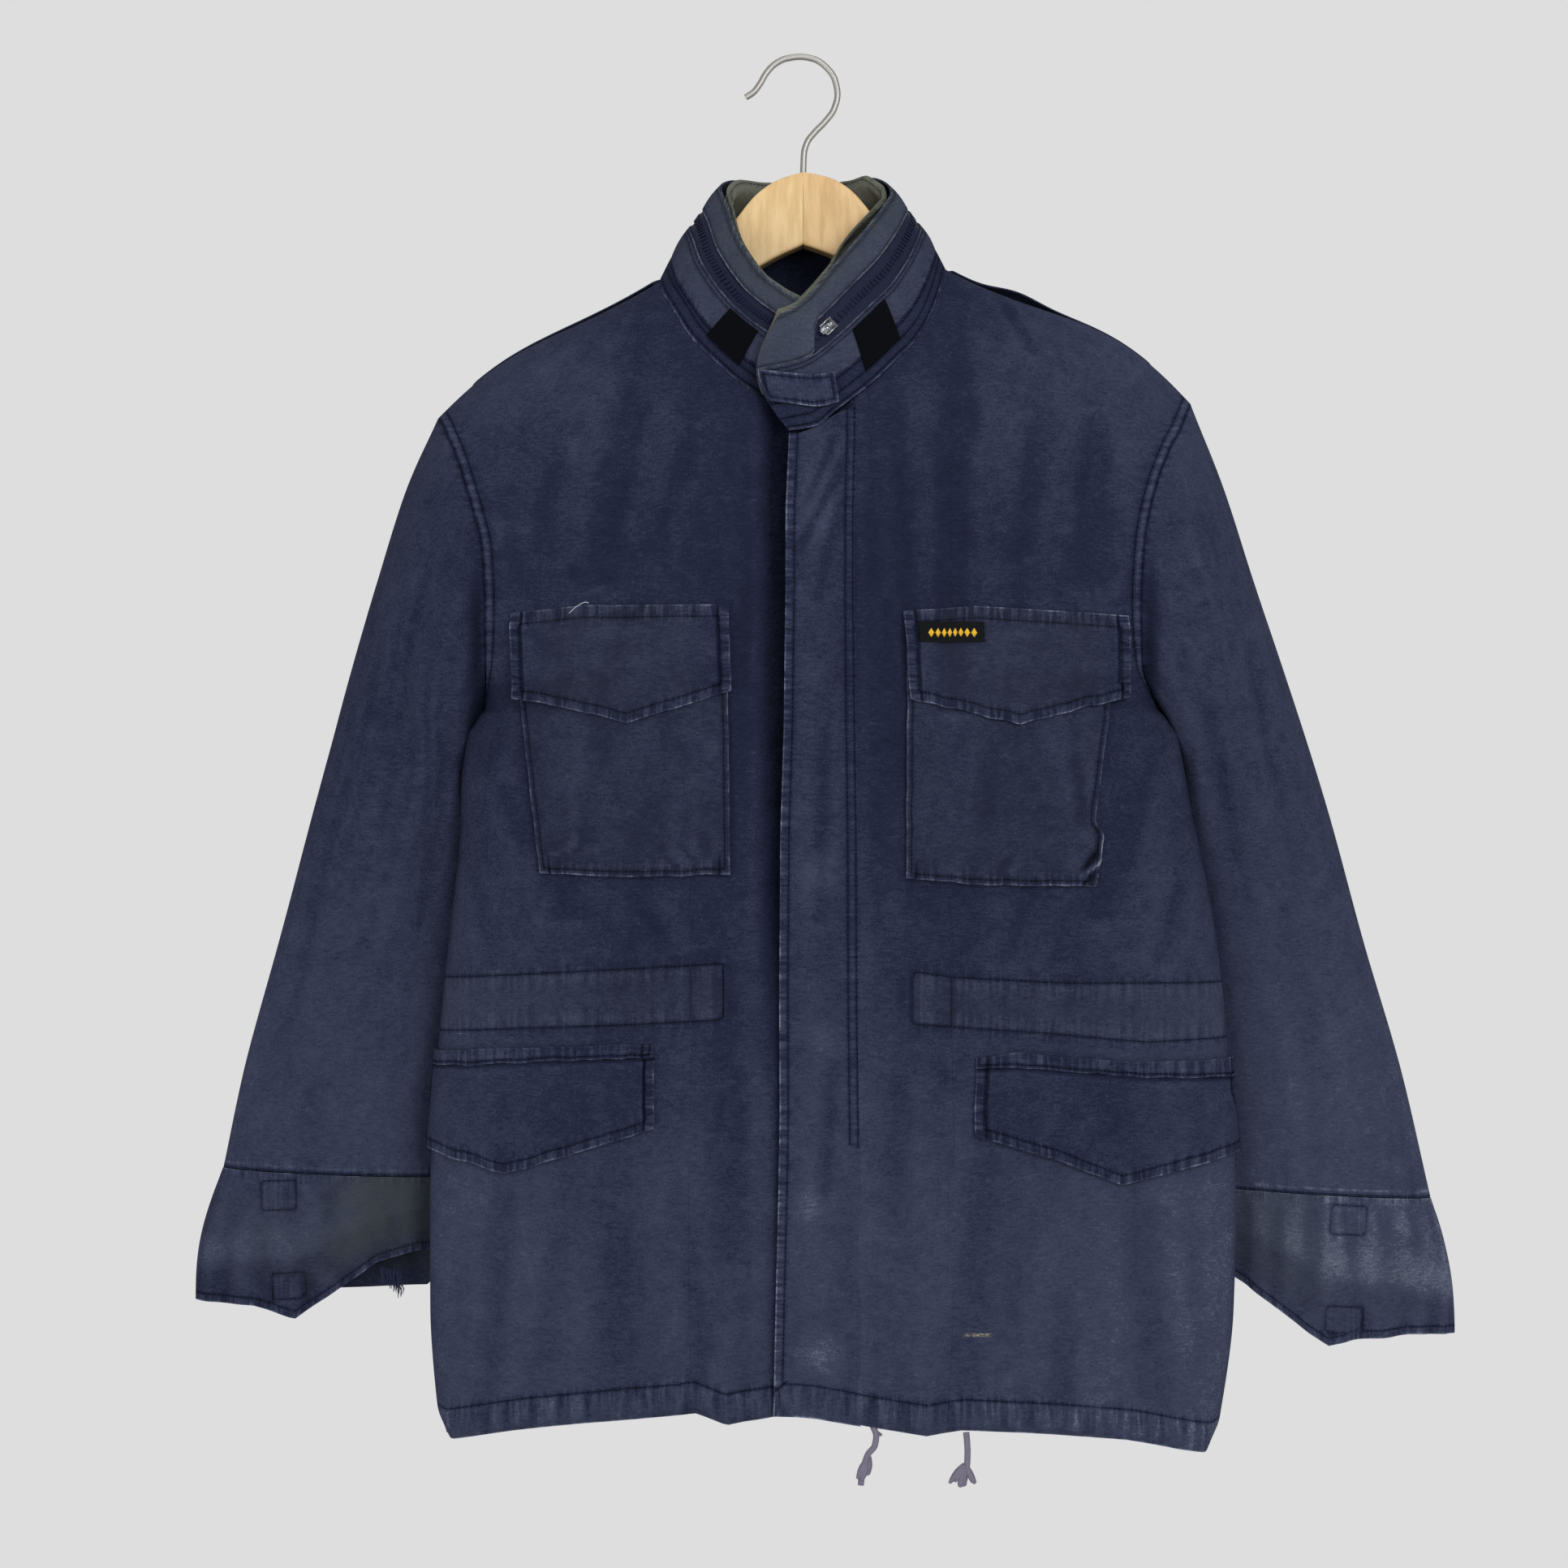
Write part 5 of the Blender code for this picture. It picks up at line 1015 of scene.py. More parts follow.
def fine_panel(panel, rows, columns):
    """Points, normals and marks of a front or of half the back."""
    kind, side = panel.split("_")
    front = kind == "front"
    inward, sign = (1 if front else -1), OUTWARD[side]
    row, column = np.meshgrid(rows, columns, indexing="ij")
    points = panel_point(panel, row, column)
    x, z = points[..., 0].copy(), points[..., 2].copy()

    # Creases, and the hem with its lifted corner
    fade = ramp(0, 0.10, 1 - column) * ramp(0, 1.2, RIDGE_ROW - row)
    low = CREASE_SHARE * fold_depth(CREASES[panel], x, z) + ripple(x, z, RIPPLES[kind], panel)
    points[..., 1] += inward * low * fade
    points[..., 0] += sign * line(SIDE_EASE, z) * ramp(0.80, 1.0, column) * (row < ARMPIT_ROW)
    to_hem = arc_from(points, 0)
    points[..., 2] += line(HEM_WAVE, x) * ramp(95, 0, to_hem) * ramp(1.0, 0.93, column)
    furthest = np.maximum.accumulate(sign * points[..., 0], axis=1)
    reach = furthest[:, -1:] - furthest
    corner = ramp(10, 0, reach) ** 1.6 * ramp(24, 0, to_hem)
    points[..., 2] += CORNER_LIFT * corner
    points[..., 0] -= sign * CORNER_PULL * corner
    into = np.clip(to_hem / HEM_STITCH, 0, 1)
    roll = HEM_ROLL * np.sin(math.pi * into ** 0.8) - HEM_CLOSE * ramp(5, 0, to_hem)
    points[..., 1] -= inward * roll * ramp(1.0, 0.94, column)
    if not front:
        # The middle of the neckline tucks in behind the neck band
        tucked = near(x, -5, 24) * ramp(NECK_ROW - 1.2, NECK_ROW, row)
        points[..., 2] += NECK_TUCK[0] * tucked
        points[..., 1] -= NECK_TUCK[1] * tucked

    # The hem's and the armhole's sewing
    to_hem = arc_from(points, 0)
    to_arm = arc_from(points, 1, end=True)
    upper = row >= ARMPIT_ROW
    marks = blank_marks(points)
    in_hem = HEM_STITCH - to_hem
    in_arm = np.where(upper, ARMHOLE_STITCH - to_arm, -FAR)
    nearest = np.maximum(in_hem, in_arm)
    bunched = ramp(HEM_STITCH + 7, HEM_STITCH - 2, to_hem)
    marks["pucker"] = bunched * (0.3 + 0.45 * ramp(3, 17, to_hem))
    marks["pucker"] += np.where(upper, 0.7 * ramp(14, 3, to_arm), 0)
    seam = np.where(upper, ramp(2.2, 0.3, to_arm), 0)
    raised = np.where(upper, near(to_arm, 3.4, 2.2), 0)
    points[..., 1] -= inward * SEAM_LIFT * raised * ramp(0, 1.5, RIDGE_ROW - row)
    edges = np.minimum(to_hem, np.where(upper, to_arm + 1.2, FAR))
    if front:
        waist = WAIST[side]
        top, bottom = line(waist["top"], x), line(waist["low"], x)
        inside = sign * (x - waist["end"])
        casing = np.minimum(np.minimum(top - z, z - bottom), inside)
        beyond = np.where(x < waist["bar"], -FAR, FAR)
        marks["bar_mm"] = np.where(casing > 0, x - waist["bar"], beyond)
        nearest = np.maximum(nearest, casing)
        marks["pucker"] += 0.5 * ramp(-8, 1, casing) * ramp(18, 3, casing)
        band = ramp(-1.5, 3, casing)
        points[..., 1] -= CASING_LIFT * band * fade
        marks["grey"] += 0.10 * band
        marks["pucker"] = marks["pucker"] * ramp(0.02, 0.06, column)
        edges = np.minimum(edges, np.abs(casing + 2.4) + 0.7)
    marks["edge_mm"] = edges
    bumps = np.sin(x / 2.3 + 2.4 * np.sin(x / 17)) * ramp(-3, 5, in_hem) * ramp(0, 5, to_hem)
    points[..., 1] += BUNCH_DEPTH * bumps * ramp(1.0, 0.96, column)
    marks["row_mm"] = np.clip(nearest, -FAR, FAR)
    marks["row_run"] = np.where(in_arm >= nearest, z, x)

    # Painted light on the shoulders' tops; lighter towards the hem and towards the side
    # seams, a little darker across the chest; painted shade in the recess beside the fly,
    # where the dye is also less faded
    marks["pale"] = 0.10 * ramp(-330, -190, z) * ramp(0.15, 0.7, column)
    marks["pale"] += (0.15 if side == "right" else 0.19) * ramp(-470, -800, z)
    marks["pale"] += 0.08 * ramp(0.3, 0.9, column)
    marks["pale"] -= 0.05 * ramp(-560, -430, z) * ramp(-200, -300, z)
    if front and side == "right":
        marks["deep"] += 0.55 * ramp(-31, -20, x) * ramp(-700, -520, z)
        marks["deep"] += 0.5 * ramp(-17, -11, x) * ramp(-500, -700, z)
    # Painted shade in the armhole seam's groove
    marks["deep"] += 0.75 * seam
    marks["pale"] += 0.08 * raised
    normals = grid_normals(points, facing(-1 if front else 1))
    # Lighter on the creases' ridges, where the cloth wears, and painted shade in their troughs
    marks["pale"] += 0.05 * ridges(points, normals, (2, 3))
    normals[:, -1] = panel_edge_normals(panel, rows, normals[:, -1])
    if not front:
        seamed = row[:, 0] <= NECK_ROW
        normals[seamed, 0] = flattened(normals[seamed, 0], 0)
    normals[-1] = flattened(normals[-1], 1)
    return points, normals, marks


def facing(y):
    """The outer side of a panel that looks along y."""
    return lambda points: np.array([0.0, y, 0.0])


def away_from_axis(points):
    """The outer side of a tube's rings."""
    return points - points.mean(axis=1, keepdims=True)


def panel_edge_normals(panel, rows, own):
    """Normals at a panel's outer edge: in the side seam, or shared with the sleeve."""
    kind, side = panel.split("_")
    normals = flattened(own, 1)
    shared = armhole_normals(side)
    steps = np.rint((RIDGE_ROW - rows[rows >= ARMPIT_ROW]) / FINE_STEP).astype(int)
    normals[rows >= ARMPIT_ROW] = shared[steps if kind == "front" else -steps]
    return normals


def armhole_normals(side):
    """Normals that the body and a sleeve share round the armhole."""
    rings = sleeve_points(side, (0, 0.1, 0.3), FINE_STEP)
    sleeve = grid_normals(rings, away_from_axis, closed=True)[0]
    down = np.arange(RIDGE_ROW, ARMPIT_ROW - FINE_STEP / 2, -FINE_STEP)
    up = np.arange(ARMPIT_ROW + FINE_STEP, RIDGE_ROW - FINE_STEP / 2, FINE_STEP)
    body = np.concatenate([panel_normal(f"front_{side}", down, 0.97),
                           panel_normal(f"back_{side}", up, 0.97)])
    shared = unit(body + sleeve)
    ends = [0, len(down) - 1]
    shared[ends] = flattened(shared[ends], 1)
    return shared


def build_fronts(navy):
    """The two fronts."""
    for side in ("right", "left"):
        panel = f"front_{side}"
        points, normals, marks = fine_panel(panel, FINE_ROWS, FRONT_COLUMNS)
        cloth(panel, points, normals, marks, navy)


def build_back(navy):
    """The back: two halves that share their middle up to the armhole's row."""
    right, right_normals, right_marks = fine_panel("back_right", FINE_ROWS, BACK_HALF_COLUMNS)
    left, left_normals, left_marks = fine_panel("back_left", FINE_ROWS, BACK_HALF_COLUMNS)
    count = right.shape[0] * right.shape[1]
    index = np.arange(count).reshape(right.shape[:2])
    other = index + count
    joined = FINE_ROWS <= NECK_ROW
    right[joined, 0] = (right[joined, 0] + left[joined, 0]) / 2
    other[joined, 0] = index[joined, 0]
    faces = grid_faces(index, flip=flipped(right, right_normals))
    faces += grid_faces(other, flip=flipped(left, left_normals))
    outer = np.concatenate([right.reshape(-1, 3), left.reshape(-1, 3)])
    normals = np.concatenate([right_normals.reshape(-1, 3), left_normals.reshape(-1, 3)])
    used = np.unique(np.concatenate([index.ravel(), other.ravel()]))
    number = np.zeros(2 * count, int)
    number[used] = np.arange(len(used))
    faces = [tuple(int(number[i]) for i in face) for face in faces]
    marks = {key: np.concatenate([right_marks[key].ravel(), left_marks[key].ravel()])[used]
             for key in right_marks}
    inner = outer - normals * SHELL
    thing = shell("back_cloth", outer[used], inner[used], faces, navy, marks)
    whole = np.concatenate([right[:, ::-1], left], axis=1)
    declare(thing, "back", whole)


def build_sleeves(navy):
    """The two sleeves, each a tube from its armhole to its cuff."""
    last = len(SLEEVE_RIGHT) - 1
    places = np.concatenate([[0, 0.04, 0.1], np.linspace(0.18, last, SLEEVE_RINGS - 3)])
    for side in ("right", "left"):
        rings = sleeve_points(side, places, FINE_STEP)
        turn = np.linspace(0, 2 * math.pi, rings.shape[1], endpoint=False)
        away = unit(away_from_axis(rings))
        soft = ramp(0, 0.5, places)[:, None] * ramp(0, 0.12, last - places)[:, None]
        waves = ripple(150 * turn[None, :], rings[..., 2], RIPPLES["sleeve"], f"sleeve_{side}")
        rings = rings - away * (waves * soft)[..., None]
        normals = grid_normals(rings, away_from_axis, closed=True)
        normals[0] = armhole_normals(side)
        step = rings[1] - rings[0]
        step = step - normals[0] * np.sum(step * normals[0], axis=-1, keepdims=True)
        rings[0] += unit(step) * SEAM_GAP * 0.5
        marks = blank_marks(rings)
        to_arm, to_cuff = arc_from(rings, 0), arc_from(rings, 0, end=True)
        marks["row_mm"] = np.clip(0.7 - to_cuff, -FAR, FAR)
        marks["pucker"] = 0.5 * ramp(10, 1, to_cuff) + 0.6 * ramp(12, 1, to_arm)
        marks["row_run"] = np.where(to_arm < 15, rings[..., 2], rings[..., 0])
        marks["edge_mm"] = np.abs(to_cuff - 4.2) * 0.5 + 0.5
        x, z = rings[..., 0], rings[..., 2]
        # Lighter towards the cuff, and the left sleeve painted a little lighter than the right, as
        # the light falls from its side; lighter on the ridges, where the cloth wears, and painted
        # shade in the troughs
        marks["pale"] = (0.06 if side == "right" else 0.10) + 0.13 * ramp(-400, -700, z)
        marks["pale"] += 0.05 * ridges(rings, normals, (2, 2), closed=True)
        # Painted shade in the armpit and in the armhole's groove
        inner = (x + 207 if side == "right" else 221 - x) - (z + 383) * 0.03
        marks["deep"] = 0.9 * np.exp(-(inner / 5.5) ** 2 - ((z + 385) / 42) ** 2)
        marks["deep"] += 0.6 * ramp(2.4, 0.2, to_arm)
        # Painted light on the sleeve's outer side, and a painted highlight on its cap below the
        # shoulder
        outward = normals[..., 0] * OUTWARD[side]
        marks["pale"] += 0.07 * ramp(0.25, 0.95, outward)
        marks["pale"] += 0.07 * ramp(70, 8, to_arm) * ramp(-330, -230, z)
        cloth(f"sleeve_{side}", rings, normals, marks, navy,
              closed=True)


def square_mark(x, z, squares):
    """Signed distance to the stitched squares: plus inside one."""
    best = np.full(np.shape(x), -FAR)
    for cx, cz, wide, high, turn in squares:
        c, s = math.cos(math.radians(turn)), math.sin(math.radians(turn))
        u = (x - cx) * c + (z - cz) * s
        v = -(x - cx) * s + (z - cz) * c
        best = np.maximum(best, np.minimum(wide / 2 - np.abs(u), high / 2 - np.abs(v)))
    return best


def build_cuffs(navy):
    """The two cuffs with their pointed guards."""
    for side in ("right", "left"):
        rings = cuff_points(side, np.linspace(0, 1, CUFF_RINGS), CUFF_COUNT)
        turn = np.linspace(0, 2 * math.pi, CUFF_COUNT, endpoint=False)
        away = unit(away_from_axis(rings))
        waves = ripple(110 * turn[None, :], rings[..., 2], RIPPLES["cuff"], f"cuff_{side}")
        drop = np.linspace(0, 1, CUFF_RINGS)[:, None]
        rings = rings - away * (waves * ramp(0, 0.2, drop))[..., None]
        normals = grid_normals(rings, away_from_axis, closed=True)
        marks = blank_marks(rings)
        x, z = rings[..., 0], rings[..., 2]
        to_seam, to_edge = arc_from(rings, 0), arc_from(rings, 0, end=True)
        front = np.sin(turn)[None, :] > 0.05
        squares = np.where(front, square_mark(x, z, SQUARES[side]), -FAR)
        marks["row_mm"] = np.clip(np.maximum(CUFF_STITCH - to_edge, squares), -FAR, FAR)
        marks["pucker"] = 0.8 * ramp(9, 2, to_edge) + 0.7 * ramp(8, 1, to_seam)
        marks["pucker"] += 0.35 * ramp(-6, 0, squares)
        marks["edge_mm"] = np.minimum(to_edge, to_seam + 0.5)
        across = (1 - np.cos(turn))[None, :] / 2
        worn = 0.75 if side == "right" else 0.35
        marks["grey"] = worn * ramp(0.38, 0.72, across) * ramp(1.05, 0.6, drop)
        marks["grey"] += 0.25 * np.exp(-((across - 0.3) / 0.25) ** 2 - ((drop - 0.5) / 0.3) ** 2)
        # A painted highlight along the cuff's bend, and painted shade below it
        bend = 0.62 - 0.35 * across
        marks["pale"] = 0.10 * np.exp(-((drop - bend) / 0.16) ** 2) * ramp(0.9, 0.3, across)
        marks["pale"] -= 0.11 * ramp(0.06, 0.2, drop - bend)
        marks["pale"] += 0.15 if side == "right" else 0.27
        # Lighter on the ridges, where the cloth wears, and painted shade in the troughs
        marks["pale"] += 0.07 * ridges(rings, normals, (2, 3), closed=True)
        cloth(f"cuff_{side}", rings, normals, marks, navy,
              closed=True)


def collar_strip(name, stations, low, high, steps, material, slot, lift=0.0, wall=SHELL,
                 grows=False, swell=0.0, finish=None):
    low, high = (np.broadcast_to(h, stations.shape) for h in (low, high))
    f = np.linspace(0, 1, steps)[:, None]
    station = np.broadcast_to(stations, (steps, len(stations)))
    height = low + (high - low) * f
    normal = collar_normal(station, height)
    waves = ripple(station * 17, height * 90, 1.5, name)
    lifts = lift + swell * np.sin(math.pi * f) + 0.35 * waves
    points = collar_point(station, height) + normal * lifts[..., None]
    normal = np.where(np.isfinite(normal), normal, 0)
    marks = blank_marks(points)
    up, down = arc_from(points, 0), arc_from(points, 0, end=True)
    marks["row_run"] = arc_from(points, 1)
    marks["edge_mm"] = np.minimum(up, down)
    marks["row_mm"] = BAND_STITCH - marks["edge_mm"]
    marks["pucker"] = 0.5 * ramp(6, 1, marks["edge_mm"])
    if finish:
        finish(marks, points, up, down)
    cloth(name, points, normal, marks, material, wall=wall,
          grows=grows)


def unsewn(marks, *_):
    """A strip with no stitches, puckers or worn edges."""
    blank = blank_marks(marks["row_run"][..., None])
    marks.update({key: blank[key] for key in ("row_mm", "edge_mm", "pucker")})


def build_collar(navy, grey, tape):
    """Neck band, collar below and above the hood zip, the zip's tape and the lining."""
    stations = np.linspace(0, LAST_STATION, COLLAR_COUNT)
    across = stations / LAST_STATION
    zip_low = ZIP_LOW[0] + (ZIP_LOW[1] - ZIP_LOW[0]) * across
    slit = ramp(*ZIP_OPENS, stations) * ramp(*ZIP_CLOSES, stations)
    zip_high = zip_low + (ZIP_HIGH[0] + (ZIP_HIGH[1] - ZIP_HIGH[0]) * across - zip_low) * slit
    tip = COLLAR_TIP

    def band(marks, points, up, down):
        marks["row_mm"] = np.maximum(2.6 - up, 2.2 - down)
        marks["bar_mm"] = up - 9.0
        marks["edge_mm"] = np.minimum(up * 0.8 + 3 * ramp(-40, -10, points[..., 1]), down + 0.6)

    def upper(marks, points, up, down):
        marks["row_mm"] = np.maximum(1.6 - up, 3.4 - down)
        marks["edge_mm"] = np.minimum(up, down * 0.6)
        marks["grey"] += 0.40 + 0.25 * ramp(14, 0, down)
        marks["pale"] += 0.25
        marks["pucker"] += 0.5 * ramp(9, 2, down)

    def lower(marks, points, up, down):
        marks["row_mm"] = 1.8 - down
        marks["bar_mm"] = down - 4.5
        marks["edge_mm"] = np.minimum(up + 1, down)
        marks["grey"] += 0.18
        marks["pale"] += 0.18

    collar_strip("neck_band", stations, 0.0, BAND_TOP - tip, 10, navy, "navy_cotton", finish=band)
    collar_strip("collar_lower", stations, BAND_TOP + tip, zip_low - tip, 10, navy, "navy_cotton",
                 swell=0.8, finish=lower)
    collar_strip("collar_upper", stations, zip_high + tip, 1.0, 10, navy, "navy_cotton",
                 swell=0.8, finish=upper)
    between = np.linspace(*ZIP_STATIONS, 230)
    low = np.interp(between, stations, zip_low)
    high = np.interp(between, stations, zip_high)
    collar_strip("collar_zip", between, low, high, 4, tape, "zip_tape", lift=-ZIP_SINK,
                 wall=0.8, finish=unsewn)
    build_lining(stations, grey)
    return between, low, high


def build_lining(stations, grey):
    """The lining, which rolls over the collar's top edge and down its inside."""
    rows = []
    for down, rise, inside in smooth(LINING, np.linspace(0, len(LINING) - 1, LINING_ROWS)):
        def bunch(size, station, reach, place, depth):
            return size * near(stations, station, reach) * math.exp(-((down - place) / depth) ** 2)

        height = np.full(stations.shape, 1.0 - down)
        point = collar_point(stations, height)
        normal = collar_normal(stations, np.minimum(height, 0.97))
        ease = 0.1 + 0.9 * ramp(1, 6, stations) * ramp(1, 7, LAST_STATION - stations)
        least = min(inside, LINING_LEAST)
        bulge = sum(bunch(*row) for row in LINING_BULGES)
        point = point - normal * (least + (inside - least) * ease + bulge)[:, None]
        point[:, 0] -= bunch(*LINING_SHIFT)
        point[:, 2] += rise + 0.8 * ripple(stations * 17, down * 100, 1.6, "lining")
        rows.append(point)
    points = np.array(rows)
    normals = grid_normals(points, lambda p: (np.array([0, -22, 0]) - p) * (1, 1, 0))
    marks = blank_marks(points)
    up = arc_from(points, 0)
    marks["row_run"] = arc_from(points, 1)
    marks["row_mm"] = np.full(up.shape, -FAR)
    marks["bar_mm"] = up - 9.0
    marks["pale"] += 0.14
    marks["pucker"] = 0.5 * ramp(16, 2, up)
    marks["edge_mm"] = np.abs(up - 4.0) + 0.6
    cloth("collar_lining", points, normals, marks, grey,
          wall=0.9)


def build_zip(between, low, high, tape, metal):
    """The covered chain in the slit, and the slider at its end."""
    stations = between[0] + (between[-1] - between[0]) * np.linspace(0, 1, CHAIN_LINKS)
    height = np.interp(stations, between, (low + high) / 2)
    middle = collar_point(stations, height)
    normals = collar_normal(stations, height)
    along = unit(np.gradient(middle, axis=0))
    side = np.cross(normals, along)
    vertices, faces = [], []
    for k in range(len(stations)):
        lean = LINK_STEP if k % 2 else -LINK_STEP
        centre = middle[k] + normals[k] * (LINK_RISE - ZIP_SINK) + side[k] * lean
        a, b, c = (way[k] * half for way, half in zip((along, side, normals), LINK_HALF))
        start = len(vertices)
        for m in (-1, 1):
            for i, j in ((-1, -1), (1, -1), (1, 1), (-1, 1)):
                vertices.append(centre + a * i + b * j + c * m)
        for face in BOX_FACES:
            faces.append(tuple(start + n for n in face))
    chain = new_mesh("zip_chain", vertices, faces, tape)
    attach(chain, "root")
    k = len(stations) - SLIDER_LINK
    turned = Matrix((along[k], side[k], normals[k])).transposed().to_4x4()
    place = Matrix.Translation(Vector(middle[k] + normals[k] * SLIDER_RISE)) @ turned
    work = bmesh.new()
    for centre, size in SLIDER_BOXES:
        made = bmesh.ops.create_cube(work, size=1.0)
        bmesh.ops.scale(work, vec=size, verts=made["verts"])
        bmesh.ops.translate(work, vec=centre, verts=made["verts"])
    bmesh.ops.bevel(work, geom=list(work.edges), offset=SLIDER_ROUND, segments=2,
                    affect="EDGES")
    work.transform(Matrix.Scale(MM, 4) @ place)
    mesh = bpy.data.meshes.new("zip_slider_metal")
    work.to_mesh(mesh)
    work.free()
    mesh.materials.append(metal)
    mesh.shade_smooth()
    slider = link(bpy.data.objects.new("zip_slider_metal", mesh))
    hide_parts("zip_slider")
    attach(slider, "root")


def bordered(marks, up, down, left, right, top_row, row, pale=0.08):
    """Marks of a piece that is stitched round its border."""
    inside = np.minimum(np.minimum(left, right), down)
    marks["row_mm"] = np.clip(np.maximum(row - inside, top_row - up), -FAR, FAR)
    marks["edge_mm"] = np.minimum(inside, up)
    marks["pucker"] = 0.9 * ramp(row + 5, row - 2, inside)
    marks["pucker"] = np.maximum(marks["pucker"], ramp(top_row + 5, top_row - 2, up))
    marks["pale"] += pale


def build_collar_trim(navy, black):
    """The throat tab and the two hook-and-loop patches."""
    def tab(marks, points, up, down):
        bordered(marks, *sides(points), TAB_STITCH, TAB_STITCH, 0.14)

    stations = np.linspace(*TAB["stations"], 46)
    low, high = (np.interp(stations, TAB["stations"], TAB[key]) for key in ("low", "high"))
    collar_strip("throat_tab", stations, low, high, 22, navy, "navy_cotton", lift=LAY_GAP,
                 wall=DOUBLE_WALL, grows=True, swell=1.0, finish=tab)
    for name, place in PATCHES.items():
        collar_strip(name, np.linspace(*place["stations"], 26), *place["heights"], 20, black,
                     "hook_tape", lift=LAY_GAP, wall=1.4, grows=True, finish=unsewn)


def build_fly(navy):
    """The fly: free at its edge over the right front, sewn down on the left front."""
    heights = np.array(FLY, dtype=float)
    across = np.linspace(0, 1, FLY_GRID[1])
    tops = line(FLY_TOP, FLY_TOP_X[0] + FLY_TOP_X[1] * across) - FLY_TOP_GAP
    hem = panel_point("front_left", 0, np.linspace(0, 0.3, 12), recessed=False)
    low = np.linspace(heights[0, 1], heights[0, 2], FLY_GRID[1])
    low = np.interp(low, hem[:, 0], hem[:, 2]) - FLY_HEM_GAP
    rows = []
    for k in np.linspace(0, 1, FLY_GRID[0]):
        level = low + (tops - low) * k
        x_edge = np.interp(level, heights[:, 0], heights[:, 1])
        x_sewn = np.interp(level, heights[:, 0], heights[:, 2])
        rows.append(np.stack([x_edge + (x_sewn - x_edge) * across, level], axis=-1))
    grid = np.array(rows)
    x, z = grid[..., 0], grid[..., 1]
    row, column = locate("front_left", np.maximum(x, 10.0), z)
    y = panel_point("front_left", row, column, recessed=False)[..., 1]
    drop = FLY_DROP * ramp(0.25, 1.0, across)[None, :]
    y = y - LAY_GAP - DOUBLE_WALL + drop + fold_depth(FLY_CREASES, x, z)
    y = y + 0.6 * ripple(x, z, 1.6, "fly")
    points = np.stack([x, y, z], axis=-1)
    points[..., 2] += line(HEM_WAVE, x) * ramp(95, 0, z - z[0])
    normals = grid_normals(points, facing(-1))
    marks = blank_marks(points)
    to_hem, _, edge, sewn = sides(points)
    stops = z > FLY_DOUBLE_END
    marks["row_mm"] = np.maximum(FLY_STITCH - edge, HEM_STITCH - to_hem)
    doubled = FLY_DOUBLE[1] - np.abs(sewn - FLY_DOUBLE[0])
    marks["row_mm"] = np.maximum(marks["row_mm"], np.where(stops, doubled, -FAR))
    marks["row_mm"] = np.clip(marks["row_mm"], -FAR, FAR)
    marks["row_run"] = np.where(HEM_STITCH - to_hem > FLY_STITCH - edge, x, z)
    marks["pucker"] = 0.9 * ramp(8, 2, edge) + 0.45 * ramp(12, 3, sewn) * stops
    bunched = ramp(HEM_STITCH + 4, HEM_STITCH - 4, to_hem)
    marks["pucker"] += bunched * (0.3 + 0.35 * ramp(3, 17, to_hem))
    marks["edge_mm"] = np.minimum(edge, to_hem)
    # Lighter towards the hem; lighter on the creases' ridges, where it wears, and painted shade in
    # their troughs
    marks["pale"] += 0.08 + 0.10 * ramp(-470, -800, z) + 0.07 * ridges(points, normals, (3, 3))
    for rub_x, rub_z, half, strength in RUBS:
        marks["pale"] += strength * RUB_FADE * near(x, rub_x, half) * near(z, rub_z, half)
    thick = np.broadcast_to(1.6 - 1.3 * ramp(0.25, 1, across), x.shape)
    cloth("fly", points, normals, marks, navy, wall=thick)


def laid(node, side, outline, rows, columns, lift, material, mark, wall=DOUBLE_WALL,
         swell=0.0, creases=()):
    """A piece sewn on a front, with its border's marks from mark()."""
    at_seam = node.startswith(("low", "pocket_welt"))
    grid = outline_grid(outline, rows, columns, OUTWARD[side] if at_seam else 0)
    down = np.linspace(0, 1, rows)[:, None]
    over = np.linspace(0, 1, columns + 1)[None, :]
    lifts = np.broadcast_to(lift(down), grid.shape[:2]).astype(float)
    lifts = lifts + swell * np.sin(math.pi * over) ** 0.6 * np.sin(math.pi * down) ** 0.6
    waves = 0.8 * ripple(grid[..., 0], grid[..., 1], 1.3, node)
    lifts = lifts - fold_depth(creases, grid[..., 0], grid[..., 1]) - waves * ramp(0, 0.1, down)
    lifts = np.maximum(lifts, LAY_GAP * 0.4)
    x, z = grid[..., 0], grid[..., 1]
    if node == "chest_pocket_left":
        x += POCKET_BULGE * ramp(-495, -507, z) * ramp(150, 186, x)
    z += 0.9 * ripple(x * 2.2, z, 1.3, node + "z") * ramp(0.3, 1, down)
    x += 0.6 * ripple(z * 2.2, x, 1.3, node + "x")
    points = lay_on(f"front_{side}", grid, lifts)
    normals = grid_normals(points, facing(-1))
    marks = blank_marks(points)
    up, down, left, right = sides(points)
    mark(marks, points, up, down, left, right)
    upright = np.minimum(left, right) < FLAP_STITCH + 1
    marks["row_run"] = np.where(upright, points[..., 2], points[..., 0])
    # Lighter on the creases' ridges, where the cloth wears, and painted shade in their troughs
    marks["pale"] += 0.09 * ridges(points, normals, (3, 3))
    return cloth(node, points, normals, marks, material,
                 wall=wall, grows=True)


def flap_marks(marks, points, up, down, left, right):
    """A chest flap, stitched all round, with a soft shade under its top row."""
    bordered(marks, up, down, left, right, FLAP_TOP_STITCH, FLAP_STITCH, 0.04)
    marks["grey"] += 0.12 * ramp(6, 30, np.minimum(left, right)) * ramp(0, 12, down)
    marks["deep"] += 0.22 * near(up, 13, 4)


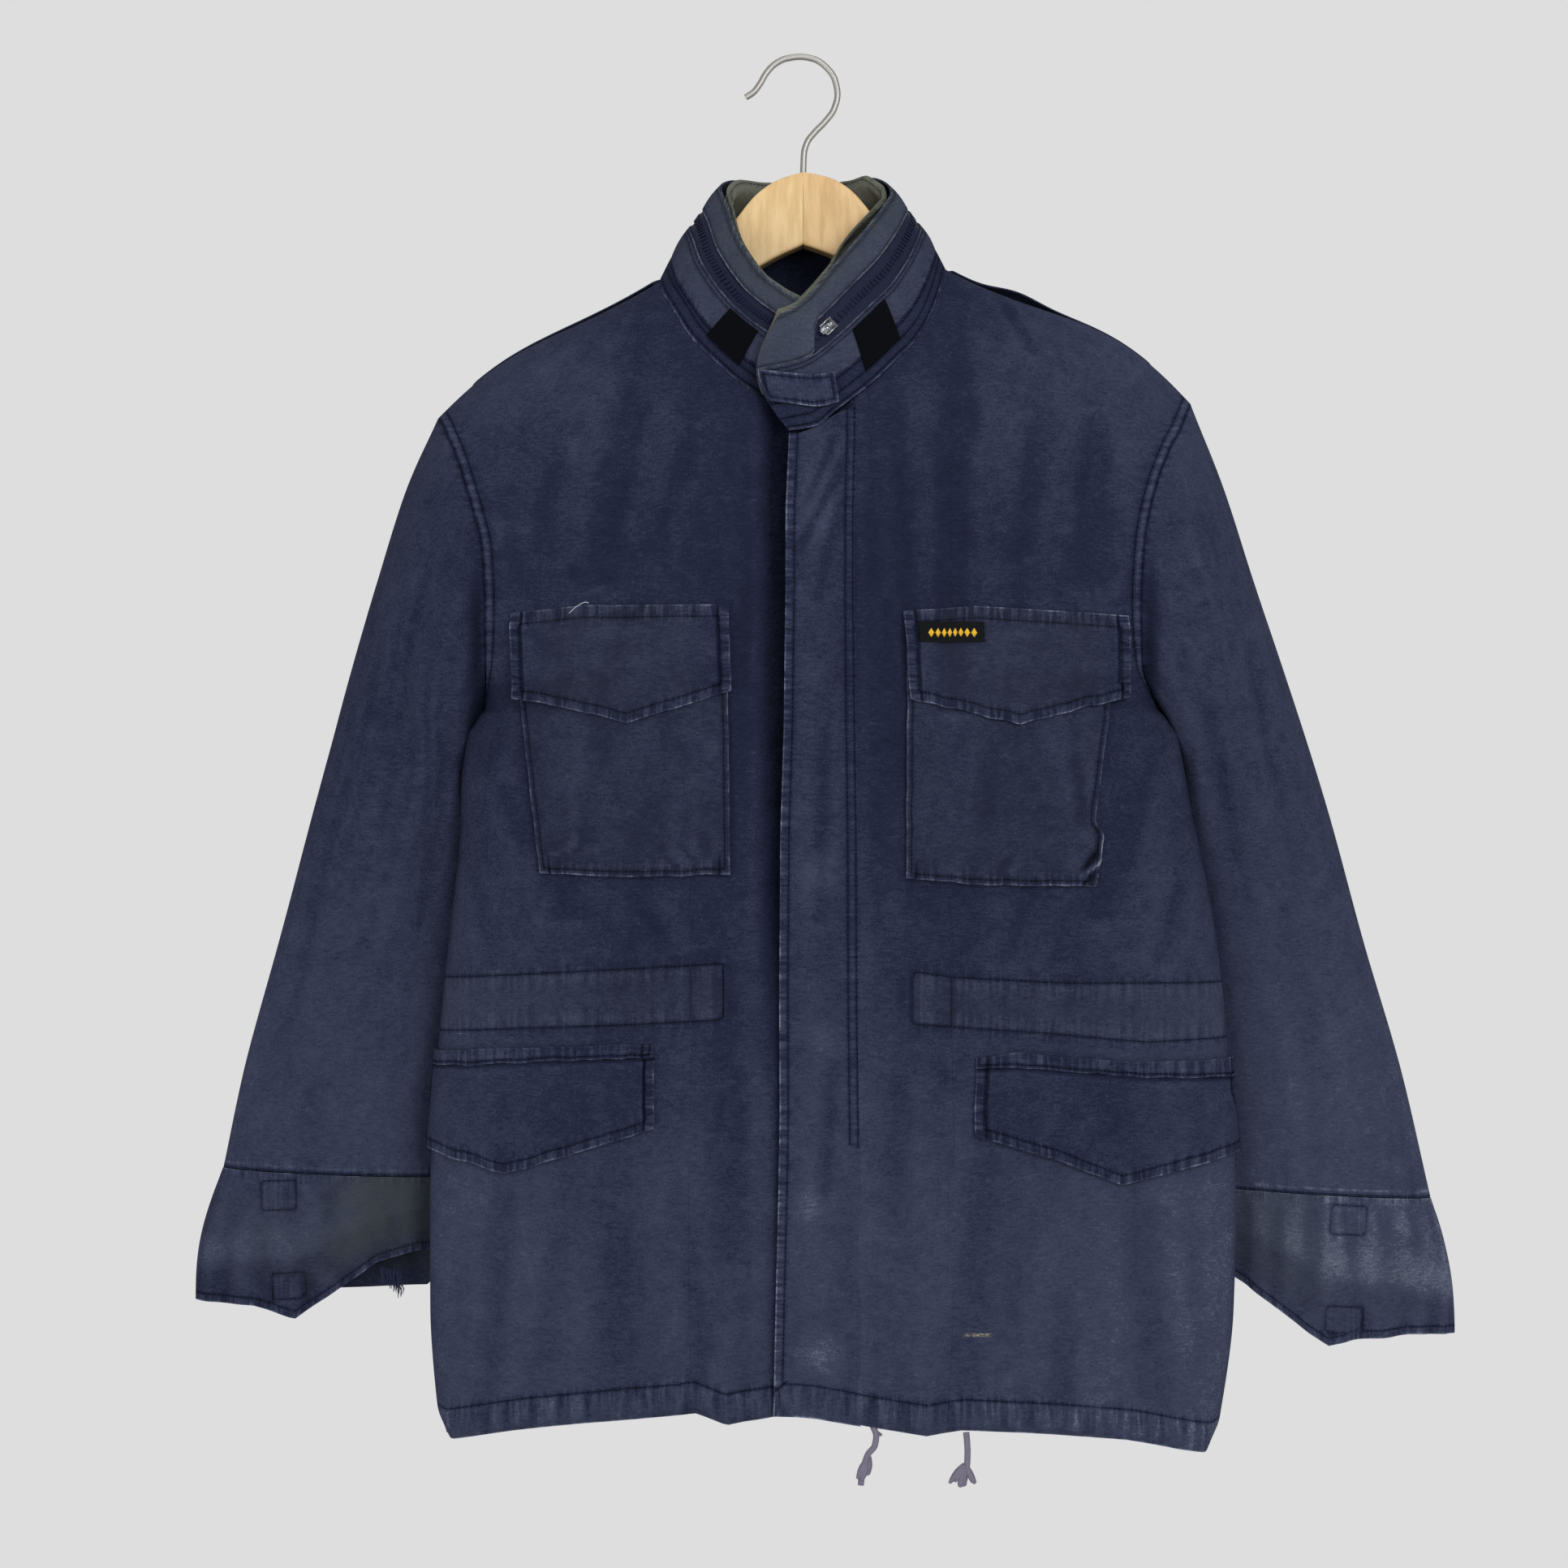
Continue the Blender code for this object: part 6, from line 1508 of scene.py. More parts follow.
def low_flap_marks(marks, points, up, down, left, right):
    """A lower flap, which comes out from under its welt."""
    bordered(marks, up + FAR, down, left, right, -FAR, FLAP_STITCH, 0.05)
    marks["edge_mm"] = np.minimum(np.minimum(left, right), down)
    # Painted shade along its top, under the welt's edge
    marks["deep"] += 0.8 * ramp(2.6, 0.4, up)


def pocket_marks(marks, points, up, down, left, right):
    """A chest pocket, whose top is under its flap."""
    bordered(marks, up + FAR, down, left, right, -FAR, POCKET_STITCH, 0.05)
    marks["edge_mm"] = np.minimum(np.minimum(left, right), down)
    marks["pucker"] = 0.35 * ramp(7, 2, marks["edge_mm"]) + 0.6 * ramp(14, 3, down)
    marks["grey"] += 0.07
    # Painted shade in the tuck's troughs and painted light on its ridges, at the crumpled corner
    marks["pale"] -= 0.01 + 0.55 * fold_depth(TUCK, points[..., 0], points[..., 2])


def welt_marks(marks, points, up, down, left, right):
    """A welt: narrow, and puckered all over."""
    bordered(marks, up, down, left, right, -FAR, WELT_STITCH, 0.08)
    marks["pucker"] = np.maximum(marks["pucker"], 0.8)
    marks["edge_mm"] = marks["edge_mm"] + 0.55


def label_marks(marks, points, up, down, left, right):
    """The label's soft edge."""
    marks["edge_mm"] = np.minimum(np.minimum(up, down), np.minimum(left, right)) + 0.8


def hinge_lift(down):
    """A chest flap's top lies on the front, and the rest stands over its pocket."""
    hung = LAY_GAP + (FLAP_LIFT - LAY_GAP) * ramp(0, 0.22, down)
    return hung + 0.6 * ramp(0.7, 1, down)


def low_lift(down):
    """A lower flap stands out towards its point."""
    return POCKET_LIFT + 1.2 * ramp(0.3, 1.0, down)


def even_lift(lift):
    """The same lift all over a piece."""
    return lambda down: lift + 0 * down


LABEL_LIFT = even_lift(FLAP_LIFT + DOUBLE_WALL + LAY_GAP)


def build_pockets(navy, woven, yellow):
    """Chest pockets and flaps, lower welts and flaps, and the label."""
    creases = {"right": POCKET_CREASES["right"],
               "left": (*POCKET_CREASES["left"], *TUCK, LAST_CREASE)}
    pieces = (("right", CHEST_POCKET_RIGHT, CHEST_FLAP_RIGHT, WELT_RIGHT, LOW_FLAP_RIGHT),
              ("left", CHEST_POCKET_LEFT, CHEST_FLAP_LEFT, WELT_LEFT, LOW_FLAP_LEFT))
    for side, pocket, flap, welt, low_flap in pieces:
        laid(f"chest_pocket_{side}", side, pocket, 62, 64, even_lift(CHEST_LIFT), navy,
             pocket_marks, WALL, 1.0, creases[side])
        laid(f"chest_flap_{side}", side, flap, 40, 68, hinge_lift, navy,
             flap_marks, 1.8, 0.9)
        laid(f"pocket_welt_{side}", side, welt, 8, 76, even_lift(POCKET_LIFT + 0.4), navy,
             welt_marks, 1.8, 0.3)
        laid(f"low_flap_{side}", side, low_flap, 40, 80, low_lift, navy,
             low_flap_marks, 1.9, 1.4)
    laid("flap_label", "left", LABEL, 8, 24, LABEL_LIFT, woven, label_marks, 0.7)
    build_label_pattern(yellow)


def build_label_pattern(yellow):
    """A generic row of small woven lozenges on the label."""
    vertices, faces = [], []
    wide, high = LOZENGE_HALF
    for k in range(LOZENGES):
        cx, cz = LOZENGE_FIRST[0] + k * LOZENGE_STEP, LOZENGE_FIRST[1]
        corners = np.array([(cx - wide, cz), (cx, cz + high), (cx + wide, cz), (cx, cz - high)])
        outer = lay_on("front_left", corners, np.full(4, LABEL_LIFT(0.0) + 0.95))
        start = len(vertices)
        vertices += list(outer) + list(outer + (0, 0.25, 0))
        faces += [tuple(start + n for n in face) for face in BOX_FACES]
    pattern = new_mesh("label_pattern", vertices, faces, yellow)
    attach(pattern, "root")


def build_straps(navy):
    """The shoulder straps, sewn in at both ends; the left one arches."""
    first, last = STRAP_COLUMNS
    for name, arch in STRAP_ARCH.items():
        side = name.split("_")[1]
        places = np.linspace(first, last - STRAP_SHORT, 90) / BACK_COLUMNS
        rows, columns = np.meshgrid(np.linspace(*STRAP_ROWS, 26), places, indexing="ij")
        points = panel_point(f"back_{side}", rows, columns)
        normal = panel_normal(f"back_{side}", rows, columns)
        across = (columns * BACK_COLUMNS - first) / (last - first)
        hump = arch * near(across, *STRAP_ARCH_AT)
        sewn_in = ramp(0.84, 0.90, across) + ramp(0.06, 0, across)
        gap = STRAP_LIFT - STRAP_SINK * sewn_in
        points = points + normal * (gap + hump)[..., None]
        normals = grid_normals(points, lambda p: np.array([0, 0.5, 1.0]))
        marks = blank_marks(points)
        bordered(marks, *sides(points), STRAP_STITCH, STRAP_STITCH)
        marks["edge_mm"] = marks["edge_mm"] + 0.9
        cloth(name, points, normals, marks, navy, wall=1.0, grows=True)


def rounded_section(x, top, low, half, count=48, corner=0.5):
    """A section across a hanger arm: a rectangle with rounded corners."""
    turns = np.linspace(0, 2 * math.pi, count, endpoint=False) + math.pi / count
    c, s = np.cos(turns), np.sin(turns)
    y = half * np.sign(c) * np.abs(c) ** corner
    z = (top + low) / 2 + (top - low) / 2 * np.sign(s) * np.abs(s) ** corner
    return np.stack([np.full(count, x), y, z], axis=-1)


def build_hanger(wood):
    """Arms with a crisp face in the middle, which follow the CAD arms' own sections."""
    for side, sign in OUTWARD.items():
        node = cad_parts[f"hanger_arm_{side}"]
        places = [np.array(v.co) / MM for v in node.data.vertices]
        cad = np.array(places)
        centre = np.array([(x, top + sign * x * HANGER_TILT, low + sign * x * HANGER_TILT, half)
                           for x, top, low, half in HANGER_CENTRE])
        table = [tuple(row) for row in centre]
        for x in HANGER_ARM_X:
            here = cad[np.abs(np.abs(cad[:, 0] - HANGER_X) - x) < 1.5]
            table.append((x, here[:, 2].max(), here[:, 2].min(), np.abs(here[:, 1]).max()))
        rows = smooth(table, np.linspace(0, len(table) - 1, HANGER_SECTIONS))
        sections = []
        for x, top, low, half in rows:
            corner = 0.16 + 0.34 * float(ramp(70, 120, x))
            sections.append(rounded_section(sign * x + HANGER_X, top, low, half, corner=corner))
        sections = np.array(sections)
        sections[0, :, 0] += sign * 0.1
        count, total = sections.shape[1], sections.shape[0] * sections.shape[1]
        flip = flipped(sections, sections - sections.mean(axis=1, keepdims=True))
        faces = grid_faces(np.arange(total).reshape(-1, count), closed=True, flip=flip)
        first, last = tuple(range(count)), tuple(range(total - count, total))
        faces += [first, last[::-1]] if flip else [first[::-1], last]
        arm = new_mesh(f"hanger_arm_{side}_wood", sections.reshape(-1, 3), faces, wood[side])
        arm.data.set_sharp_from_angle(angle=math.radians(SHARP_WOOD))
        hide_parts(f"hanger_arm_{side}")
        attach(arm, "root")


def round_wire(name, routes, radius, material, samples=90, sides=5):
    """Round wires or cords as curves through smoothed routes."""
    curve = bpy.data.curves.new(name, "CURVE")
    curve.dimensions = "3D"
    curve.bevel_depth = radius * MM
    curve.bevel_resolution = sides
    curve.use_fill_caps = True
    for route in routes:
        smoothed = smooth(route, np.linspace(0, len(route) - 1, samples))
        spline = curve.splines.new("POLY")
        spline.points.add(len(smoothed) - 1)
        for point, place in zip(spline.points, smoothed):
            point.co = (*(np.array(place) * MM), 1.0)
    curve.materials.append(material)
    return link(bpy.data.objects.new(name, curve))


def build_hook(steel):
    """The bent wire of the hook."""
    hook = round_wire("hook_wire", [[(x, 0.0, z) for x, z in HOOK_ROUTE]], HOOK_RADIUS, steel, 160)
    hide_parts("hanger_hook")
    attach(hook, "root")


# Loosened lobes at the cords' cut ends: from, to, and half width
LOBES = {
    "drawcord_right": (((41, -903), (37, -915.5), 3.6), ((43, -901), (41, -913), 2.4),
                       ((45, -885), (50, -887.5), 1.8)),
    "drawcord_left": (((103, -906), (95, -918), 2.8), ((103.5, -906), (101, -920.5), 2.9),
                      ((104, -906), (109.5, -918.5), 2.5)),
}


def tassel(name, depth, material):
    """Lobes of loosened strands: thin at the cord, full below, ragged at the end."""
    draw = random.Random(name)
    routes, sizes = [], []
    for (x0, z0), (x1, z1), half in LOBES[name]:
        for _ in range(9):
            out, ahead = draw.uniform(-0.6, 0.6) * half, draw.uniform(-0.6, 0.6) * half
            tip = draw.uniform(0.86, 1.0)
            x2, z2 = x0 + (x1 - x0) * tip, z0 + (z1 - z0) * tip
            bend = ((x0 + x2) / 2 + out * 0.7, depth + ahead, (z0 + z2) / 2)
            routes.append([(x0, depth, z0), bend, (x2 + out, depth + ahead, z2)])
            sizes.append(half * 0.6)
    fringe = round_wire(f"{name}_fringe", routes, 1.0, material, 12, 2)
    for spline, size in zip(fringe.data.splines, sizes):
        for k, point in enumerate(spline.points):
            point.radius = size * (0.5 + 0.6 * math.sin(math.pi * min(k / 13 + 0.1, 1)))
    return fringe


def build_cords(cord_cloth):
    """The drawcord's two free ends, each with its loosened tip."""
    for name, route in CORDS.items():
        smoothed = smooth(route, np.linspace(0, len(route) - 1, 60))
        cord = round_wire(f"{name}_braid", [route], CORD_DIAMETER / 2, cord_cloth, 60)
        fringe = tassel(name, route[-2][1], cord_cloth)
        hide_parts(name)
        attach(cord, "root")
        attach(fringe, "root")


def build_threads(navy_thread, pale_thread):
    """Frayed threads at the right cuff's rip, and a loose end on the right chest flap."""
    draw = random.Random("fray")
    routes = []
    for _ in range(70):
        x = draw.uniform(-275, -261)
        z = -794 + (-x - 261) * 0.3
        reach = draw.uniform(4, 9) + 8 * ramp(-272, -262, x) * draw.random()
        sway = draw.uniform(-1, 3)
        y = draw.uniform(-9, -4)
        routes.append([(x, y, z + 3), (x + sway * 0.3, y - 1, z - reach * 0.35),
                       (x + sway * 0.9, y, z - reach * 0.7), (x + sway * 0.6, y + 1, z - reach)])
    fray = round_wire("cuff_fray", routes, 0.22, navy_thread, 10, 1)
    loose = round_wire("loose_thread", [[(-146.0, -84.6, -366.0), (-141.5, -86.6, -362.0),
                                         (-136.0, -86.8, -359.2), (-133.8, -86.4, -359.6)]],
                       0.28, pale_thread, 16, 2)
    for thing in (fray, loose):
        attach(thing, "root")


# Materials


def linear(code):
    """sRGB hex to linear colour."""
    parts = [int(code[i:i + 2], 16) / 255 for i in (1, 3, 5)]
    return (*(p / 12.92 if p <= 0.04045 else ((p + 0.055) / 1.055) ** 2.4 for p in parts), 1.0)


# Kinds of nodes and settings that the materials share
MATH, RANGE, MIX = "ShaderNodeMath", "ShaderNodeMapRange", "ShaderNodeMix"
NOISE, BUMP, PLACE = "ShaderNodeTexNoise", "ShaderNodeBump", "ShaderNodeTexCoord"
TIMES, TIMES_PLUS, PLUS = ({"operation": key} for key in ("MULTIPLY", "MULTIPLY_ADD", "ADD"))
MINUS, SIZE, LEAST = ({"operation": key} for key in ("SUBTRACT", "ABSOLUTE", "MINIMUM"))
SOFT, EVEN = ({"interpolation_type": key} for key in ("SMOOTHSTEP", "LINEAR"))
COLOURS = {"data_type": "RGBA", "blend_type": "MIX", "clamp_factor": True}


def add_node(tree, kind, settings=None, *values, take=0, **inputs):
    """Add a node with its settings, set or link its inputs by place (i6 is the
    seventh) or by name, and give the output to take."""
    node = tree.nodes.new(kind)
    for key, value in (settings or {}).items():
        setattr(node, key, value)
    inputs = {**{f"i{k}": value for k, value in enumerate(values)}, **inputs}
    for key, value in inputs.items():
        by_place = key[0] == "i" and key[1:].isdigit()
        socket = node.inputs[int(key[1:]) if by_place else key.replace("_", " ")]
        if isinstance(value, bpy.types.NodeSocket):
            tree.links.new(value, socket)
        else:
            socket.default_value = value
    return node.outputs[take]


def new_material(name, roughness, metallic=0.0, **sockets):
    """A material with its shader's own sockets set."""
    made = bpy.data.materials.new(name)
    made.use_nodes = True
    tree = made.node_tree
    shader = tree.nodes["Principled BSDF"]
    shader.inputs["Roughness"].default_value = roughness
    shader.inputs["Metallic"].default_value = metallic
    for key, value in sockets.items():
        shader.inputs[key.replace("_", " ")].default_value = value
    return made, tree, shader


MARKS = ("row_mm", "bar_mm", "row_run", "pucker", "edge_mm", "pale", "grey", "deep")
# The cloth's noises: name, size of a feature in mm, detail, stretch along x, y and z.
# The real threads are 0.3 mm apart, too fine to show, so "fine" is drawn coarser.
GRAINS = (("cloud", 48, 4, (1, 1, 0.3)), ("patch", 24, 4, (1, 1, 1)),
          ("blotch", 11, 4, (1, 1, 1)), ("slub", 2.0, 3, (0.4, 1, 1.3)),
          ("fine", 0.9, 2, (0.8, 1, 1.2)))
# How much each of them lightens the dye's tone, or darkens it (minus); shade and deep are painted
# shade
TONE = {"cloud": 0.028, "patch": 0.03, "blotch": 0.04, "slub": 0.07, "fine": 0.10,
        "pucker": 0.14, "edge": 0.34, "groove": -0.32, "shade": -0.08, "deep": -0.42}
TONE_MIDDLE = 0.392
# How high each of them stands, in mm
GROOVE_DEPTH = 0.35
RELIEF = {"pucker": 0.55, "fine": 0.10, "slub": 0.07, "blotch": 0.12, "edge": 0.25}


def washed_cotton(name, stops, grey, scuff=False):
    """Reactive-dyed cotton drill after many washes: dull, with hardly any gloss. Dye has
    gone from folded edges and the tops of puckers, and stays in the rows of stitches."""
    made, tree, shader = new_material(name, 0.95, Specular_IOR_Level=0.03)
    mark = {key: add_node(tree, "ShaderNodeAttribute", {"attribute_name": key}, take="Fac")
            for key in MARKS}
    place = add_node(tree, PLACE, take="Object")
    drawn = {"deep": mark["deep"]}
    for key, size_mm, detail, stretch in GRAINS:
        spaced = add_node(tree, "ShaderNodeVectorMath", TIMES, place, stretch)
        noise = add_node(tree, NOISE, None, spaced, Scale=1000 / size_mm, Detail=detail,
                         Roughness=0.55)
        drawn[key] = add_node(tree, RANGE, EVEN, noise, 0.28, 0.72, -1.0, 1.0)

    # A row of stitches is a groove, dashed by its threads, with a shade beside it
    beside = add_node(tree, MATH, LEAST, add_node(tree, MATH, SIZE, mark["row_mm"]),
                      add_node(tree, MATH, SIZE, mark["bar_mm"]))
    turns = add_node(tree, MATH, TIMES, mark["row_run"], 2 * math.pi / STITCH_LENGTH)
    stitch = add_node(tree, MATH, {"operation": "SINE"}, turns)
    drawn["groove"] = add_node(tree, MATH, TIMES,
                               add_node(tree, RANGE, SOFT, beside, 0.1, 0.8, 1.0, 0.0),
                               add_node(tree, RANGE, SOFT, stitch, -0.7, 0.7, 0.55, 1.0))
    drawn["shade"] = add_node(tree, RANGE, SOFT, beside, 0.6, 2.6, 1.0, 0.0)

    # Puckers lie across the row, and edges are worn in places
    across = add_node(tree, "ShaderNodeCombineXYZ", None,
                      add_node(tree, MATH, TIMES, mark["row_run"], 0.23),
                      add_node(tree, MATH, TIMES, mark["row_mm"], 0.03))
    bunched = add_node(tree, NOISE, None, across, Scale=1.0, Detail=2.0, Roughness=0.6)
    drawn["pucker"] = add_node(tree, MATH, TIMES,
                               add_node(tree, RANGE, SOFT, bunched, 0.36, 0.64, -1.0, 1.0),
                               mark["pucker"])
    drawn["edge"] = add_node(tree, MATH, TIMES,
                             add_node(tree, RANGE, SOFT, mark["edge_mm"], 0.2, 1.5, 1.0, 0.0),
                             add_node(tree, RANGE, SOFT, drawn["blotch"], -0.7, 0.6, 0.15, 1.0))

    # The pale mark carries fade and painted light and shade
    tone = mark["pale"]
    for key, weight in TONE.items():
        tone = add_node(tree, MATH, TIMES_PLUS, drawn[key], weight, tone)
    tone = add_node(tree, MATH, PLUS, tone, TONE_MIDDLE)
    dyed = add_node(tree, "ShaderNodeValToRGB", None, tone)
    elements = dyed.node.color_ramp.elements
    for k, (position, code) in enumerate(stops):
        element = elements[k] if k < 2 else elements.new(position)
        element.position, element.color = position, linear(code)
    stained = add_node(tree, MATH, TIMES, mark["grey"],
                       add_node(tree, RANGE, SOFT, drawn["blotch"], -1, 1, 0.6, 1.0))
    colour = add_node(tree, MIX, COLOURS, stained, i6=dyed, i7=linear(grey), take=2)
    if scuff:
        x, z, half_wide, half_high = (value * MM for value in SCUFF)
        parts = add_node(tree, "ShaderNodeSeparateXYZ", None, place).node.outputs
        wide = add_node(tree, MATH, SIZE, add_node(tree, MATH, MINUS, parts[0], x))
        high = add_node(tree, MATH, SIZE, add_node(tree, MATH, MINUS, parts[2], z))
        inside = add_node(tree, MATH, TIMES,
                          add_node(tree, RANGE, SOFT, wide, half_wide, 0.3 * half_wide),
                          add_node(tree, RANGE, SOFT, high, half_high, 0.2 * half_high))
        front_only = add_node(tree, RANGE, SOFT, parts[1], 0.0, -0.01)
        inside = add_node(tree, MATH, TIMES, add_node(tree, MATH, TIMES, inside, front_only),
                          add_node(tree, RANGE, SOFT, drawn["fine"], -0.6, 0.5))
        colour = add_node(tree, MIX, COLOURS, inside, i6=colour, i7=linear("#8f8b78"), take=2)
    tree.links.new(colour, shader.inputs["Base Color"])
    height = add_node(tree, MATH, TIMES, drawn["groove"], -GROOVE_DEPTH * MM)
    for key, depth in RELIEF.items():
        height = add_node(tree, MATH, TIMES_PLUS, drawn[key], depth * MM, height)
    bump = add_node(tree, BUMP, Strength=1.0, Distance=1.0, Height=height)
    tree.links.new(bump, shader.inputs["Normal"])
    return made


# Small pale smear low on the left front: centre x, centre z, half width, half height
SCUFF = (112.0, -823.0, 11.0, 1.6)
NAVY_STOPS = ((0.0, "#0a0c17"), (1.0, "#737a8c"), (0.40, "#212539"), (0.72, "#3e4358"))
LINING_STOPS = ((0.0, "#1a1c1d"), (1.0, "#94958b"), (0.40, "#555750"), (0.72, "#707268"))


def beech(name, base, dark, lean):
    """Pale beech under clear varnish: long grain lines, a soft gloss."""
    made, tree, shader = new_material(name, 0.42, Coat_Weight=0.25, Coat_Roughness=0.25)
    place = add_node(tree, PLACE, take="Object")
    turned = add_node(tree, "ShaderNodeMapping", None, place, Rotation=(0, lean, 0),
                      Scale=(60, 60, 9))
    grain = add_node(tree, NOISE, None, turned, Scale=3.2, Detail=4.0, Roughness=0.6)
    fine = add_node(tree, NOISE, None, turned, Scale=16.0, Detail=2.0)
    lines = add_node(tree, RANGE, SOFT, grain, 0.38, 0.68)
    pores = add_node(tree, RANGE, SOFT, fine, 0.55, 0.75, 0.0, 0.35)
    colour = add_node(tree, MIX, COLOURS, lines, i6=linear(base), i7=linear(dark), take=2)
    colour = add_node(tree, MIX, COLOURS, pores, i6=colour, i7=linear(dark), take=2)
    tree.links.new(colour, shader.inputs["Base Color"])
    return made


def plain(name, code, roughness, metallic=0.0, grain_mm=None, **sockets):
    """A material of one colour, with a fine bump where its surface has a grain."""
    made, tree, shader = new_material(name, roughness, metallic, **sockets)
    shader.inputs["Base Color"].default_value = linear(code)
    if grain_mm:
        place = add_node(tree, PLACE, take="Object")
        noise = add_node(tree, NOISE, None, place, Scale=1000 / grain_mm, Detail=2.0)
        height = add_node(tree, MATH, TIMES, noise, 0.4 * MM)
        bump = add_node(tree, BUMP, Strength=1.0, Distance=1.0, Height=height)
        tree.links.new(bump, shader.inputs["Normal"])
    return made


# Add-on


MATERIALS = {}


# Stage, in metres: what the view's middle shows, and the width that it takes in
VIEW_CENTRE = (-0.01166, -0.47276)
VIEW_WIDTH = 1.024
SENSOR = 36
PAPER = "#dedede"
# Half width, height of the floor and of the backdrop's top, and its place, in mm
ROOM = (24000, -1250, 20000, 7000)


class JacketColours(bpy.types.PropertyGroup):
    """Colours that a user would change."""
    wood: bpy.props.StringProperty(
        name="Wood", description="Varnished beech, sRGB hex", default="#dbbc88")
    cord: bpy.props.StringProperty(
        name="Cord", description="Braided drawcord, sRGB hex", default="#767181")
    worn: bpy.props.StringProperty(
        name="Worn", description="Stained cloth, sRGB hex", default="#3a3f3f")


class StageSettings(bpy.types.PropertyGroup):
    """Camera and light."""
    distance: bpy.props.FloatProperty(name="Camera distance", description="In front of the hanger",
                                      default=2.0, unit="LENGTH")
    power: bpy.props.FloatProperty(name="Key light", description="Strength of the main light",
                                   default=25.0, unit="POWER")


def settings():
    return bpy.context.scene.jacket_colours, bpy.context.scene.jacket_stage


class JACKET_OT_stage(bpy.types.Operator):
    """Camera, lights, floor and backdrop"""
    bl_idname = "jacket.stage"
    bl_label = "Stage"

    def execute(self, context):
        stage = settings()[1]
        camera = bpy.data.cameras.new("view")
        camera.sensor_width = SENSOR
        camera.lens = SENSOR * stage.distance / VIEW_WIDTH
        viewer = link(bpy.data.objects.new("view", camera))
        viewer.location = (VIEW_CENTRE[0], -stage.distance, VIEW_CENTRE[1])
        viewer.rotation_euler = (math.pi / 2, 0, 0)
        context.scene.camera = viewer
        wall = plain("backdrop_paper", PAPER, 1.0)
        tree = wall.node_tree
        glow = add_node(tree, "ShaderNodeEmission", Color=linear(PAPER), Strength=1.0)
        tree.links.new(glow, tree.nodes["Material Output"].inputs["Surface"])
        half, low, high, behind = ROOM
        floor = new_mesh("floor", [(-half, -half, low), (half, -half, low), (half, half, low),
                                   (-half, half, low)], [(0, 1, 2, 3)], wall)
        backdrop = new_mesh("backdrop", [(-half, behind, low), (half, behind, low),
                                         (half, behind, high), (-half, behind, high)],
                            [(0, 1, 2, 3)], wall)
        world = bpy.data.worlds.new("soft_room")
        world.use_nodes = True
        world.node_tree.nodes["Background"].inputs[0].default_value = linear("#dedede")
        world.node_tree.nodes["Background"].inputs[1].default_value = 0.5
        context.scene.world = world
        lights = (("key", (0.8, -2.0, 0.25), 1.0, stage.power),
                  ("fill", (-1.2, -1.8, -0.5), 1.4, stage.power * 0.45),
                  ("top", (0.1, -0.6, 1.3), 1.2, stage.power * 0.3))
        for name, place, size, power in lights:
            data = bpy.data.lights.new(name, "AREA")
            data.size, data.energy = size, power
            lamp = link(bpy.data.objects.new(name, data))
            lamp.location = place
            aim = Vector((0.0, 0.0, -0.45)) - Vector(place)
            lamp.rotation_euler = aim.to_track_quat("-Z", "Y").to_euler()
        context.scene.view_settings.view_transform = "Standard"
        return {"FINISHED"}


class JACKET_OT_materials(bpy.types.Operator):
    """Cloth, wood and metal"""
    bl_idname = "jacket.materials"
    bl_label = "Materials"

    def execute(self, context):
        colours = settings()[0]
        MATERIALS.update(
            navy=washed_cotton("washed_navy_cotton", NAVY_STOPS, colours.worn, scuff=True),
            grey=washed_cotton("worn_grey_brushed_cotton", LINING_STOPS, "#5a5c50"),
            # Woven polyester tape: a little smoother and darker than the cotton
            tape=plain("woven_zip_tape", "#12172e", 0.6, grain_mm=0.8, Specular_IOR_Level=0.15),
            # Hook-and-loop: black nylon loops that take all light
            black=plain("black_loop_tape", "#07080c", 0.95, grain_mm=1.1, Specular_IOR_Level=0.05),
            woven=plain("black_woven_label", "#0c0d10", 0.75, grain_mm=0.5,
                        Specular_IOR_Level=0.1),
            yellow=plain("yellow_woven_thread", "#d8a81e", 0.7),
            cord=plain("braided_cotton_cord", colours.cord, 0.9, grain_mm=0.8,
                       Specular_IOR_Level=0.1),
            thread=plain("frayed_navy_thread", "#282d45", 0.9, Specular_IOR_Level=0.1),
            white=plain("loose_pale_thread", "#9aa0ac", 0.8),
            # Plated zinc and bright drawn steel wire: metals, a little blurred by wear
            metal=plain("plated_slider", "#a9abb0", 0.22, 1.0),
            steel=plain("drawn_steel_wire", "#a9a7a2", 0.5, 1.0),
            beech_right=beech("varnished_beech_right", colours.wood, "#cba770", 0.35),
            beech_left=beech("varnished_beech_left", "#d3b07b", "#c09a62", -0.3),
        )
        return {"FINISHED"}


class JACKET_OT_hanger(bpy.types.Operator):
    """Wooden arms and steel hook"""
    bl_idname = "jacket.hanger"
    bl_label = "Hanger"

    def execute(self, context):
        build_hanger({"right": MATERIALS["beech_right"], "left": MATERIALS["beech_left"]})
        build_hook(MATERIALS["steel"])
        return {"FINISHED"}


class JACKET_OT_body(bpy.types.Operator):
    """Fronts, back and fly"""
    bl_idname = "jacket.body"
    bl_label = "Body"

    def execute(self, context):
        build_fronts(MATERIALS["navy"])
        build_back(MATERIALS["navy"])
        build_fly(MATERIALS["navy"])
        return {"FINISHED"}


class JACKET_OT_sleeves(bpy.types.Operator):
    """Sleeves, cuffs and frayed threads"""
    bl_idname = "jacket.sleeves"
    bl_label = "Sleeves"

    def execute(self, context):
        build_sleeves(MATERIALS["navy"])
        build_cuffs(MATERIALS["navy"])
        build_threads(MATERIALS["thread"], MATERIALS["white"])
        return {"FINISHED"}


